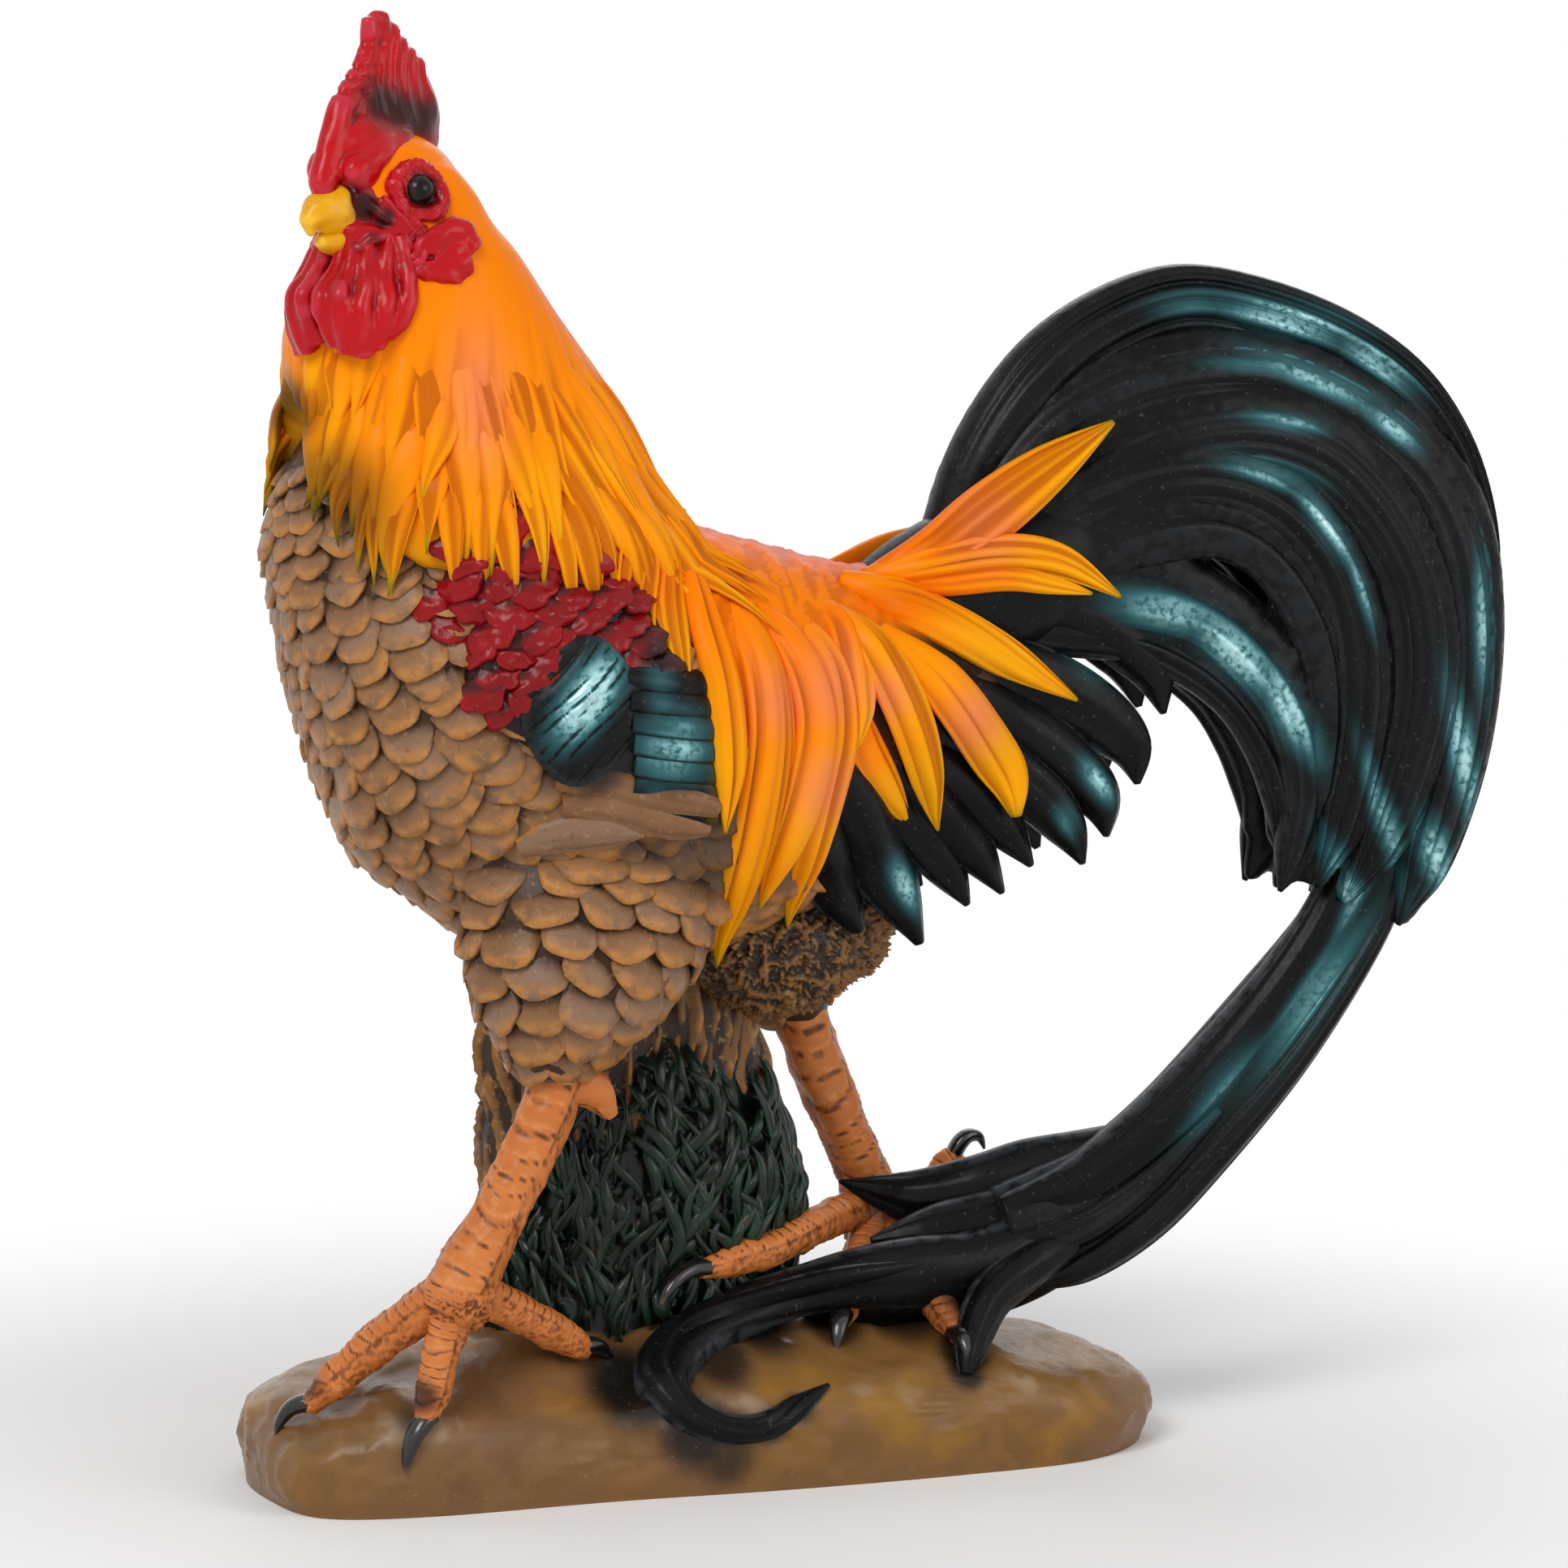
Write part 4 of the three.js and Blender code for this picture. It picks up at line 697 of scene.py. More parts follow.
def lay_feather(blank, line, normals, widths, thick, grooves=2, depth=0.5, seed=0, sag=0.25):
    """The corners of one long feather with how far along, how deep and how near the edge each lies."""
    random = np.random.default_rng(seed)
    _, share, turn = blank
    tangent = unit(at_share(ways_along(line), share))
    normal = at_share(normals, share)
    normal = unit(normal - (normal * tangent).sum(1, keepdims=True) * tangent)
    side = np.cross(tangent, normal)
    wide = np.maximum(at_share(widths, share), 0.15)
    across, height = np.cos(turn), np.sin(turn)
    knots = random.uniform(0, 1, max(int(round(2 * grooves)) + 3, 4))
    drift = 0.35 * np.sin(share * random.uniform(3, 7) + random.uniform(0, 6))
    spot = np.arccos(np.clip(across, -1, 1)) / math.pi * (len(knots) - 2) + 0.5 + drift
    groove = np.clip(row_at(knots, spot) * 1.3 - 0.25, 0, 1)
    groove = groove * (height > -0.2) * smooth_step(0.02, 0.35, share)
    groove = groove * (1 - smooth_step(0.86, 1.0, np.abs(across)))
    tall = np.minimum(thick, wide * 0.8)
    body = tall * np.sign(height) * np.abs(height) ** 0.8
    body = body - depth * groove * tall - sag * (across * wide) ** 2 / np.maximum(2 * wide, 1)
    places = at_share(line, share) + side * (wide * across)[:, None] + normal * body[:, None]
    rim = smooth_step(0.7, 1.0, np.abs(across))
    return places, {"flow": share, "hollow": np.maximum(groove, 0.6 * (height < -0.3)), "rim": rim}


def feather_piece(name, blank, laid, material, bursts=(), **options):
    """Laid feathers as one piece, each with its own tint."""
    places = np.array([one[0] for one in laid])
    paint = {kind: np.array([one[1][kind] for one in laid]) for kind in laid[0][1]}
    shades = np.random.default_rng(len(laid)).uniform(0, 1, len(laid))
    paint["tint"] = np.repeat(shades[:, None], places.shape[1], axis=1)
    paint["smoke"] = sprayed(places, bursts)
    press(name, blank[0], places, material, **paint, **options)


def walk(form, start, heading, length, steps):
    """A line along a form's surface: each step follows the heading and falls back on the surface."""
    place = np.asarray(start, float)
    line, normals = [], []
    for _ in range(steps + 1):
        hit, normal, _, _ = form.find_nearest(Vector(place))
        place, normal = np.array(hit), np.array(normal)
        line.append(place)
        normals.append(normal)
        place = place + flattened(np.asarray(heading(place), float), normal) * (length / steps)
    return np.array(line), np.array(normals)


# %% [markdown]
# ## Gold paint
#
# The cape and the saddle are sprayed orange at the top and along the back, run into warm yellow lower
# down, and end in olive tips. A little pink was misted over the middle of the neck. The wash left a
# darker orange line in each groove.

# %% The gold paint
GOLD_PAINT = painted("satin_acrylic_gold", "#F98204", [
    ("flow", 0.2, 0.9, 1.0, "#F4A606"), ("tint", 0.3, 1.0, 0.4, "#F9B40C"), (24, 0.4, 0.62, 0.45, "#F57E08"),
    ("glow", 0.0, 1.0, 1.0, "#E04A06"), ("pink", 0.0, 1.0, 1.0, "#EF8450"),
    ("hollow", 0.2, 0.9, 0.72, "#B04C06"), ("olive", 0.0, 1.0, 0.95, "#A88A08"),
    ("olive", 0.6, 1.0, 0.5, "#5F5510"), ("smoke", 0.0, 1.0, 1.0, "#221C10"),
], rough=(0.27, 0.38), gloss=0.03, grain=2.0, depth=0.12, shine=0.04)

# %% [markdown]
# ## The cape
#
# The neck feathers hang like a cape from behind the comb to the shoulders. It is open in front, where the
# breast scales reach up to the throat. High on the neck it is one smooth, finely grooved skin, and
# towards its hem it parts into pointed locks in three layers.

# %% Where the hem of the cape hangs
def round_neck(places):
    """How far round the neck a place lies: 0 at the throat and 1 at the nape, below 0 on the left."""
    return np.arctan2(places[..., 1] + 6, -(places[..., 0] + 68)) / math.pi


def hem_height(places):
    """The height of the cape's hem near each place."""
    around = [0, 0.10, 0.2, 0.33, 0.5, 0.65, 0.8, 1.0]
    heights = [300, 288, 266, 254, 247, 240, 238, 240]
    return np.interp(np.abs(round_neck(places)), around, heights)


# %% The skin under the locks
# Needle lines run down the skin: five belts of random ridges, each drawn a little aside of the last.
BELTS, LINES = 5, 120
cape_mesh = fused("cape", [level_bar(NECK_ROWS, 90), head_egg(SKULL_AT, SKULL_HALF, 5)], 1.2, 4)
cape_places = places_of(cape_mesh)
height = cape_places[:, 2]
outward = unit((cape_places + (70, 6, 0)) * (1, 1, 0))
ridges = np.random.default_rng(3).uniform(0, 1, (BELTS + 1, LINES))
level = np.clip((346 - height) / 110, 0, 1) * 4.99
spot = (round_neck(cape_places) * 0.5 + 0.5) * (LINES - 1)
cape_groove = np.zeros(len(height))
for k in range(BELTS):
    belt = np.clip(1 - np.abs(level - k - 0.5), 0, 1)
    cape_groove += row_at(ridges[k], spot + 1.2 * np.sin(level + k)) * belt
needle_depth = 0.75 - 0.75 * smooth_step(292, 336, height)
above_hem = height - hem_height(cape_places)
tuck = smooth_step(0, 7, -above_hem)
cape_places = cape_places + outward * (1.2 - 1.6 * cape_groove * needle_depth - 9 * tuck)[:, None]
move_to(cape_mesh, cape_places)


def cape_tones(places):
    """Red-orange along the nape and the back, pink over the middle of the neck, olive at the hem."""
    x, y, z = places[..., 0], places[..., 1], places[..., 2]
    ridge = np.exp(-((y + 6 * smooth_step(250, 340, z)) / 17) ** 2) * smooth_step(-95, -30, x)
    left_pink = np.exp(-((x + 74) / 9) ** 2 - ((z - 296) / 20) ** 2) * (y < 0)
    return {"glow": 0.8 * ridge, "pink": 0.75 * left_pink}


THROAT_BURSTS = [(-112, -34, 268, 26, 0.6), (-104, 24, 268, 26, 0.6), (-118, -10, 290, 16, 0.75)]
add_piece("cape_skin", cape_mesh, GOLD_PAINT, slot="gold",
          flow=0.2 + 0.5 * (1 - smooth_step(250, 345, height)),
          hollow=cape_groove * needle_depth, tint=0.3, olive=0.5 * (1 - smooth_step(-4, 16, above_hem)),
          smoke=sprayed(cape_places, THROAT_BURSTS), **cape_tones(cape_places))


# %% The locks of the cape
def cape_heading(place):
    """Locks fall, lean back behind the shoulder and run along the back behind the neck."""
    lean = np.interp(place[0], [-118, -95, -70, -40, -10], [-0.22, -0.18, 0.12, 0.42, 0.9])
    return np.array([lean, 0.0, -1.0])


# Each tier: the height of its roots, how far above the hem it ends, how many locks, how wide, how high
# they lie and how much olive their tips caught. Locks shorter than SHORTEST are left to the next tier.
LOCK_TIERS = [(322, 16, 46, 8.0, 0.2, 0.2), (306, 3, 50, 8.2, 1.1, 0.8), (289, -6, 52, 6.6, 1.9, 0.8)]
LOCK_SHAPE = np.array([0.05, 0.5, 0.9, 1.0, 0.85, 0.55, 0.26, 0.05])
CAPE_STARTS, CAPE_ENDS = 0.09, 0.84
SHORTEST = 14
under = tree_of(fused("under", [torso_bar(), level_bar(NECK_ROWS)], 1.8, 8))
lock_blank = clay_bar(18, 14)
random = np.random.default_rng(8)
locks = []
for top, ends, count, wide, lift, dipped in LOCK_TIERS:
    for k in range(count):
        turn = 2 * math.pi * (k + random.uniform(-0.3, 0.3)) / count
        direction = np.array([-math.cos(turn), -math.sin(turn), 0])
        part = abs((turn + math.pi) % (2 * math.pi) - math.pi) / math.pi
        hem = float(hem_height(direction - (68, 6, 0)))
        if part < CAPE_STARTS or part > CAPE_ENDS or top < hem + 8:
            continue
        hit = land_inward([under], (-72, -6, top), direction)
        if hit is None:
            continue
        tongue = 7 * math.sin(13 * turn + 1.3) + 4 * math.sin(29 * turn)
        longer = 1 + 0.2 * smooth_step(0.45, 0.7, part)
        stretch = (top - hem - ends) * longer + tongue + random.uniform(-4, 6)
        if stretch < SHORTEST:
            continue
        line, normals = walk(under, hit[0], cape_heading, stretch, 12)
        share = np.linspace(0, 1, len(line))
        side = np.cross(ways_along(line), normals)
        sway = random.uniform(-2.4, 2.4) * np.sin(share * math.pi * random.uniform(0.9, 2.2))
        rise = -3.4 + (lift + 4.4) * smooth_step(0, 0.6, share) + random.uniform(0, 1.2) * share ** 2
        line = line + normals * rise[:, None] + side * sway[:, None]
        widths = LOCK_SHAPE * (wide * random.uniform(0.7, 1.3)) * 0.62
        places, paint = lay_feather(lock_blank, line, normals, widths, 1.9, 3.2, 0.7, seed=k * 7 + top)
        tips = smooth_step(0.72, 1.02, paint["flow"]) * dipped * (1 - smooth_step(0.6, 0.75, part))
        near_hem = 1 - smooth_step(-8, 14, places[:, 2] - hem_height(places))
        paint["olive"] = np.clip(tips + 0.25 * near_hem, 0, 1)
        paint["flow"] = 0.25 + 0.75 * paint["flow"] * (1 - smooth_step(240, 330, places[:, 2]) * 0.5)
        paint.update(cape_tones(places))
        locks.append((places, paint))
feather_piece("cape_locks", lock_blank, locks, GOLD_PAINT, bursts=THROAT_BURSTS, replaces=("hackle",),
              slot="gold")

# %% [markdown]
# ## The saddle
#
# Behind the wings the gold feathers fall over the flanks in long deeply grooved strands, and towards the
# tail they spread into a fan of broad pointed lobes. Under them lies one smooth mantle, which is the
# glazed red-orange ridge of the back. Each strand is drawn in side view and draped over the flank.

# %% Draping a drawn line over the flank
flank = tree_of(fused("flank", body_bars + [level_bar(NECK_ROWS)], 2.0, 8))
BESIDE = 170  # how far out beside the bird the rays start


def from_side(form, sign, x, z):
    """Where a form lies in side view, seen from one side, with its normal there, or None."""
    return land(form, (x, sign * BESIDE, z), (0, -sign, 0))


def eased(values):
    """A row of values, each blended with its neighbours."""
    return np.convolve(np.pad(values, 2, mode="edge"), [0.1, 0.2, 0.4, 0.2, 0.1], mode="valid")


def drape(drawn, sign, lift, least, form=flank):
    """A line drawn in side view, laid on a form from one side, with its normals.

    Where the form is missing or nearer to the middle than least, the line hangs at least so far out.
    """
    drawn = row_at(drawn, np.linspace(0, len(drawn) - 1, 4 * len(drawn)))
    laid = []
    for x, z in drawn:
        hit = from_side(form, sign, x, z)
        hangs = hit is None or abs(hit[0][1]) < least
        laid.append((least + lift, 0, sign, 0) if hangs else (abs(hit[0][1]) + lift, *hit[1]))
    depths, *normals = (eased(eased(column)) for column in np.array(laid, float).T)
    return np.column_stack([drawn[:, 0], sign * depths, drawn[:, 1]]), unit(np.column_stack(normals))


# %% The strands, drawn from root to tip
# Each strand: its line in x and z, its half widths, its thickness, its grooves, how high it lies.
SADDLE_STRANDS = [
    ([(-33, 262), (-35, 250), (-37, 236)], (2, 3.4, 0.4), 2.6, 1, 2.6),
    ([(-26, 263), (-28, 249), (-30, 236), (-28, 225)], (2, 4.2, 3.8, 0.4), 2.8, 2, 2.8),
    ([(-18, 264), (-21, 248), (-22, 232), (-20, 214)], (2, 4.4, 4.2, 0.4), 3.0, 2, 3.2),
    ([(-11, 264), (-13, 242), (-10, 219), (-9, 198), (-10, 180)], (2, 4.6, 5.2, 4.6, 0.4), 3.4, 3, 4.2),
    ([(-5, 249), (2, 230), (4, 207), (1, 182), (-2, 161), (-3, 140)],
     (3, 6.0, 7.0, 7.5, 6.0, 0.4), 4.6, 4, 3.0),
    ([(6, 244), (13, 229), (18, 210), (15, 190), (9, 172), (5, 157)],
     (3, 6.0, 6.8, 6.8, 5.0, 0.4), 4.4, 3, 3.6),
    ([(16, 241), (23, 226), (25, 207), (21, 187), (18, 167), (17, 150)],
     (3, 5.6, 6.2, 6.2, 4.6, 0.4), 4.0, 3, 2.8),
    ([(27, 218), (33, 202), (42, 188), (52, 176)], (4, 6, 5, 0.4), 2.6, 2, 0.4),
    ([(26, 243), (31, 229), (31, 213), (29, 199)], (3, 5.6, 5.4, 0.4), 3.6, 2, 3.4),
    ([(29, 242), (37, 228), (45, 212), (53, 192), (59, 175)], (3, 6.6, 7.0, 5.4, 0.4), 3.8, 3, 6.4),
    ([(42, 234), (55, 219), (68, 204), (79, 190), (82, 178)], (4, 7.0, 7.6, 6.6, 1.6), 3.4, 3, 7.4),
    ([(34, 243), (50, 238), (66, 230), (83, 220), (101, 209)], (3, 6.8, 7.2, 5.2, 0.6), 4.0, 3, 3.6),
    ([(44, 241), (64, 242), (81, 243), (94, 241), (106, 238)], (3, 3.8, 3.8, 3.0, 0.5), 3.0, 1, 1.4),
    ([(42, 243), (61, 248), (80, 250), (97, 247), (114, 237)], (3, 4.8, 5.2, 4.6, 0.6), 3.6, 2, 2.4),
    ([(44, 242), (61, 250), (77, 261), (94, 273), (112, 285)], (4, 7.6, 8.8, 6.6, 0.8), 4.0, 3, 1.6),
]
PINK_BURSTS = [(22, 218, 12), (20, 190, 12), (6, 215, 10), (66, 206, 11), (74, 258, 12), (38, 214, 8)]


def saddle_tones(places):
    """Red-orange along the ridge of the back and pink where the airbrush passed over the strands."""
    x, y, z = places[..., 0], np.abs(places[..., 1]), places[..., 2]
    ridge = np.exp(-(y / 20) ** 2) * smooth_step(-40, 0, x) * (1 - smooth_step(60, 110, x))
    ridge = np.maximum(ridge, 0.6 * np.exp(-((z - 238) / 8) ** 2 - ((x - 50) / 22) ** 2))
    pink = np.zeros(x.shape)
    for centre_x, centre_z, reach in PINK_BURSTS:
        pink = np.maximum(pink, np.exp(-((x - centre_x) ** 2 + (z - centre_z) ** 2) / reach ** 2))
    return {"glow": 0.85 * ridge, "pink": 0.75 * pink}


saddle_blank = clay_bar(32, 36)
FLANK_DEPTH = 21     # least distance of a feather on the flank from the bird's middle
FIRST_FAN_LOBE = 10  # from this one on, the strands spread towards the tail and lie a little nearer to it
TOP_LOBE = 14        # on the far side it lies lower, or it would show above the back
ROOT_SINK = 6.4      # how deep a strand's root goes under the skin
for side, sign in SIDES:
    laid = []
    for k, (drawn, widths, thick, grooves, lift) in enumerate(SADDLE_STRANDS):
        if sign == 1 and k == TOP_LOBE:
            drawn = [(x + 6, z - 10) for x, z in drawn]
        line, normals = drape(drawn, sign, lift, FLANK_DEPTH - 1.2 * (k >= FIRST_FAN_LOBE))
        sink = ROOT_SINK * (1 - smooth_step(0, 0.3, np.linspace(0, 1, len(line))))
        places, paint = lay_feather(saddle_blank, line - normals * sink[:, None], normals, widths, thick,
                                    2.3 * grooves + 1, 0.6, seed=60 + k, sag=0.4)
        flow = paint["flow"]
        paint.update(saddle_tones(places))
        dusted = 0.25 * paint["rim"] * smooth_step(0.5, 0.8, flow)
        paint["olive"] = 0.8 * smooth_step(0.86, 1.02, flow) + dusted
        paint["flow"] = 0.1 + 0.8 * smooth_step(0.1, 0.9, flow)
        laid.append((places, paint))
    feather_piece("saddle_strands_" + side, saddle_blank, laid, GOLD_PAINT, replaces=("saddle_" + side,),
                  slot="gold")

# %% The mantle under the strands
mantle_mesh = fused("mantle", body_bars, 2.0, 6)
mantle = places_of(mantle_mesh)
x, y, z = mantle.T
lowest = 158 + 52 * smooth_step(16, 36, x) + 0.15 * np.clip(x - 30, 0, 90)
cover = smooth_step(-12, -2, x + 14 * smooth_step(222, 236, z)) * smooth_step(-10, 8, z - lowest)
combed = bumps(mantle, 6, 87, ridged=True, stretch=(1, 0.3, 0.35))
mantle = mantle + corners_of(mantle_mesh, "normal") * (3.4 * cover - 2.4 + 0.3 * combed)[:, None]
move_to(mantle_mesh, mantle)
# Under the fan lobes the mantle is painted black-olive, a painted shade; it is also painted darker lower down
# and in its combed grooves.
shaded = smooth_step(36, 48, x) * (1 - smooth_step(222, 236, z))
low_and_grooves_darker = np.maximum(0.5 * (1 - smooth_step(228, 244, z)), 0.6 * smooth_step(0.1, 1, -combed))
add_piece("saddle_mantle", mantle_mesh, GOLD_PAINT, slot="gold", flow=0.3, hollow=low_and_grooves_darker, tint=0.2,
          olive=0.6 * shaded, smoke=shaded, **saddle_tones(mantle))

# %% [markdown]
# ## Black and teal paint
#
# Everything behind the saddle is satin black. Over it the painter misted teal metallic powder in soft
# clouds where the light would catch a real rooster's feathers, nearly silver in their middle. The ridges
# between the grooves are painted a little grey, partly dry-brushed dust and partly painted highlight, and
# the grooves darker still as painted shade.

# %% The black paint
# Its grey rim coat is partly dry-brushed dust and partly painted highlight; its darker hollow coat is painted
# shade.
BLACK_PAINT = painted("satin_black_with_teal_powder", "#0B0C0D", [
    (14, 0.4, 0.62, 0.6, "#17181A"), (("rim", 2.0), 0.3, 1.0, 0.55, "#4A4E53"),
    ("hollow", 0.2, 0.9, 0.7, "#050506"), ("olive", 0.0, 1.0, 0.85, "#5A4A12"),
    ("sheen", 0.02, 0.55, 1.0, "#2C5D62"), (("sheen", 0.9), 0.35, 1.0, 1.0, "#9CCDD1"),
    ("sheen", 0.75, 1.0, 0.55, "#B9DDDF"), (0.7, 0.64, 0.72, 0.2, "#6E7377"),
], rough=(0.26, 0.42), gloss=0.05, grain=1.1, depth=0.16, metal=("sheen", 0.45), shine=0.09)


def teal_clouds(places, clouds, hollow):
    """How much teal powder each place caught; it stays on the ridges more than in the grooves.

    Each cloud: its centre's x and z, its half sizes along and across, its angle and its strength.
    """
    x, z = places[..., 0], places[..., 2]
    caught = np.zeros(x.shape)
    for centre_x, centre_z, long, wide, angle, strength in clouds:
        turn = math.radians(angle)
        ahead = (x - centre_x) * math.cos(turn) + (z - centre_z) * math.sin(turn)
        aside = (z - centre_z) * math.cos(turn) - (x - centre_x) * math.sin(turn)
        caught = np.maximum(caught, strength * np.exp(-(ahead / long) ** 2 - (aside / wide) ** 2))
    return caught * (1 - 0.6 * hollow)


# %% The tail's sickle feathers, drawn from root to tip
# Each feather: its name in the frame, its line in x and z, its distance from the middle, half widths,
# thickness and grooves.
TAIL_FEATHERS = [
    ("sickle_top", [(70, 246), (81, 272), (97, 294), (115, 308), (138, 316), (161, 313), (186, 304),
                    (206, 291), (220, 274), (228, 254), (231, 236), (230, 219)], 0,
     (7, 9, 10, 10, 10, 10, 10, 10, 9, 8, 6, 1), 9, 8),
    ("sickle_middle", [(76, 252), (92, 273), (111, 288), (136, 296), (163, 296), (188, 286), (208, 271),
                       (220, 252), (225, 230), (225, 206), (221, 182), (213, 158), (205, 140)], 7,
     (6, 9, 11, 12, 12, 12, 12, 12, 11, 10, 9, 7, 3), 8, 8),
    ("sickle_lower", [(86, 248), (104, 266), (128, 279), (155, 283), (178, 276), (195, 260), (207, 238),
                      (211, 214), (207, 190), (198, 167), (186, 148)], 12,
     (6, 9, 10, 11, 11, 11, 10, 10, 9, 7, 3), 8, 7),
    ("sickle_lower", [(92, 252), (108, 264), (130, 271), (150, 270), (167, 262), (180, 248), (188, 230),
                      (191, 210), (189, 190), (184, 171), (176, 153)], 15,
     (6, 8, 8, 8, 8, 8, 8, 8, 7, 6, 3), 7, 5),
    ("sickle_inner", [(88, 246), (110, 253), (127, 258), (145, 258), (160, 251), (172, 238), (180, 221),
                      (182, 202), (180, 184), (175, 168)], 14, (8, 10, 10, 9, 8, 8, 8, 7, 6, 2), 7, 4),
    ("sickle_inner", [(86, 240), (108, 241), (128, 239), (145, 232), (158, 221), (168, 207), (174, 192),
                      (175, 177), (171, 163), (166, 152)], 13, (9, 10, 10, 9, 9, 8, 8, 7, 5, 2), 7, 4),
    ("sickle_inner", [(80, 232), (104, 230), (124, 226), (142, 218), (155, 206), (164, 192), (168, 178),
                      (166, 165)], 11,
     (8, 8, 7, 7, 6, 6, 5, 2), 6, 3),
]
TAIL_CLOUDS = [
    (170, 312, 22, 5, -12, 1.0), (196, 300, 14, 4, -32, 1.0), (176, 296, 26, 4, -22, 0.85),
    (200, 282, 10, 4, -35, 0.9), (140, 317, 14, 4, 4, 0.5), (160, 270, 16, 4, -15, 0.8),
    (176, 256, 16, 4, -55, 0.95), (187, 238, 14, 3, -70, 0.7), (166, 284, 14, 3, -8, 0.7),
    (130, 232, 18, 6, -12, 0.8), (150, 220, 18, 6, -42, 1.0), (166, 204, 16, 5, -60, 1.0),
    (228, 226, 22, 3.4, -88, 0.9), (222, 188, 24, 4.5, -74, 1.0), (214, 160, 14, 5, -64, 1.0),
    (196, 172, 24, 3.4, -68, 0.9), (186, 152, 18, 4, -60, 0.95), (160, 300, 20, 3, -4, 0.5),
]
PLUME_TIP = 0.7  # half width at a plume's tip
tail_blank = clay_bar(84, 64)
backing_blank = clay_bar(20, 40)
laid, tail_bars = {}, []
for k, (node, drawn, away, widths, thick, grooves) in enumerate(TAIL_FEATHERS):
    for side, sign in SIDES if away else SIDES[:1]:
        x, z = np.array(drawn, float).T
        spread = np.minimum(1, 0.55 + 2 * np.linspace(0, 1, len(x)))
        line = np.column_stack([x, sign * away * spread, z])
        facing = np.array([0.0, sign, 0.0])
        leaning = 0.30 * np.cross(facing, ways_along(line)) * -sign * (away > 0)
        broad = np.array(widths) * (1.3 if away else 1.12)
        broad[-1] = PLUME_TIP
        places, paint = lay_feather(tail_blank, line, facing + leaning, broad,
                                    thick * (0.75 if away else 1.0), 2.0 * grooves, 0.3, seed=200 + k,
                                    sag=0.3)
        backing = lay_feather(backing_blank, line - facing * 2.5, np.tile(facing, (len(line), 1)),
                              np.array(widths) * 1.15, 7, 0, 0, seed=1, sag=0)
        tail_bars.append((backing_blank[0], backing[0]))
        paint["sheen"] = teal_clouds(places, TAIL_CLOUDS, paint["hollow"])
        # All but the grooves take the grey rim coat: partly dry-brushed dust, partly painted highlight.
        paint["rim"] = np.maximum(paint["rim"] * 0.6, 0.5 * (paint["hollow"] < 0.1))
        laid.setdefault(node + "_" + side if away else node, []).append((places, paint))
for node, feathers in laid.items():
    feather_piece(node.replace("sickle", "tail_plume"), tail_blank, feathers, BLACK_PAINT, replaces=(node,),
                  slot="black")

# %% The cast body of the tail behind its feathers
tail_mass = fused("tail_mass", tail_bars, 1.8, 5)
seen = places_of(tail_mass)
lines = bumps(seen, 5, 210, ridged=True, stretch=(0.5, 1, 0.5))
move_to(tail_mass, seen + np.outer(0.25 * lines * np.sign(seen[:, 1]), (0, 1, 0)))
# Its ridges are painted grey and its grooves darker: painted highlight and painted shade.
add_piece("tail_mass", tail_mass, BLACK_PAINT, slot="black", rim=0.3 * smooth_step(0.3, 1, lines),
          hollow=smooth_step(0.0, 1.0, -lines), sheen=0.5 * teal_clouds(seen, TAIL_CLOUDS, 0))

# %% [markdown]
# ## The wings
#
# The wing is folded flat on the flank. Its shoulder is covered by crinkled wine-red scales, then comes a
# round black pad with a cloud of teal powder and slanting scratches, then a stack of short square
# feathers that vanish below the saddle. Brown flat feathers close it off at the bottom.

# %% The wing's cushion on the flank
WING_LINE = [(-83, 250), (-76, 247), (-64, 240), (-50, 226), (-38, 214), (-24, 206), (-14, 204)]
WING_HALF = (5, 15, 24, 26, 22, 15, 5)


def wing_cushion(sign):
    """A flat pad that lies on the flank, as a bar with its corners."""
    blank = clay_bar(48, 40)
    line, normals = drape(WING_LINE, sign, -3.0, FLANK_DEPTH)
    half = at_share(WING_HALF, np.linspace(0, 1, len(line)))[:, None]
    rise = unit(np.cross(normals, ways_along(line)))
    return blank[0], rings_of(blank, line, rise * half, normals * np.minimum(8.0, half * 0.6))


# The near-black hollow coat is painted shade under and between the scales.
WINE_PAINT = painted("satin_wine_red", "#930810", [
    (6, 0.35, 0.65, 0.7, "#74060D"), (("rim", 1.6), 0.3, 1.0, 0.25, "#AE1C26"),
    ("hollow", 0.25, 0.9, 1.0, "#1E1A1A"), (0.8, 0.64, 0.74, 0.3, "#30282A"),
    ("smoke", 0.0, 1.0, 0.9, "#161617"),
], rough=(0.15, 0.26), gloss=0.16, grain=0.9, depth=0.3, shine=0.12)

# %% Where the wine-red scales lie, as an outline in x and z
WINE_REACH = [
    (-88, 250), (-86, 262), (-77, 267), (-62, 276), (-54, 262), (-45, 263), (-34, 254), (-18, 246),
    (-14, 222), (-30, 221), (-47, 232), (-55, 224), (-63, 215), (-70, 205), (-78, 215), (-86, 232),
]


def inside(x, z, corners):
    """Whether a place in side view lies inside a closed outline."""
    within = False
    for (x1, z1), (x2, z2) in zip(corners, corners[1:] + corners[:1]):
        if (z1 > z) != (z2 > z) and x < x1 + (z - z1) * (x2 - x1) / (z2 - z1):
            within = not within
    return within


# %% The cushions and their crinkled wine-red scales
wing_scale = scale_blank(10)
SHOULDER_SMOKE = [(-60, -60, 204, 14, 0.9), (-25, -56, 225, 15, 1.0), (-60, 60, 204, 14, 0.9),
                  (-25, 56, 225, 15, 1.0), (-70, -56, 203, 9, 0.7)]


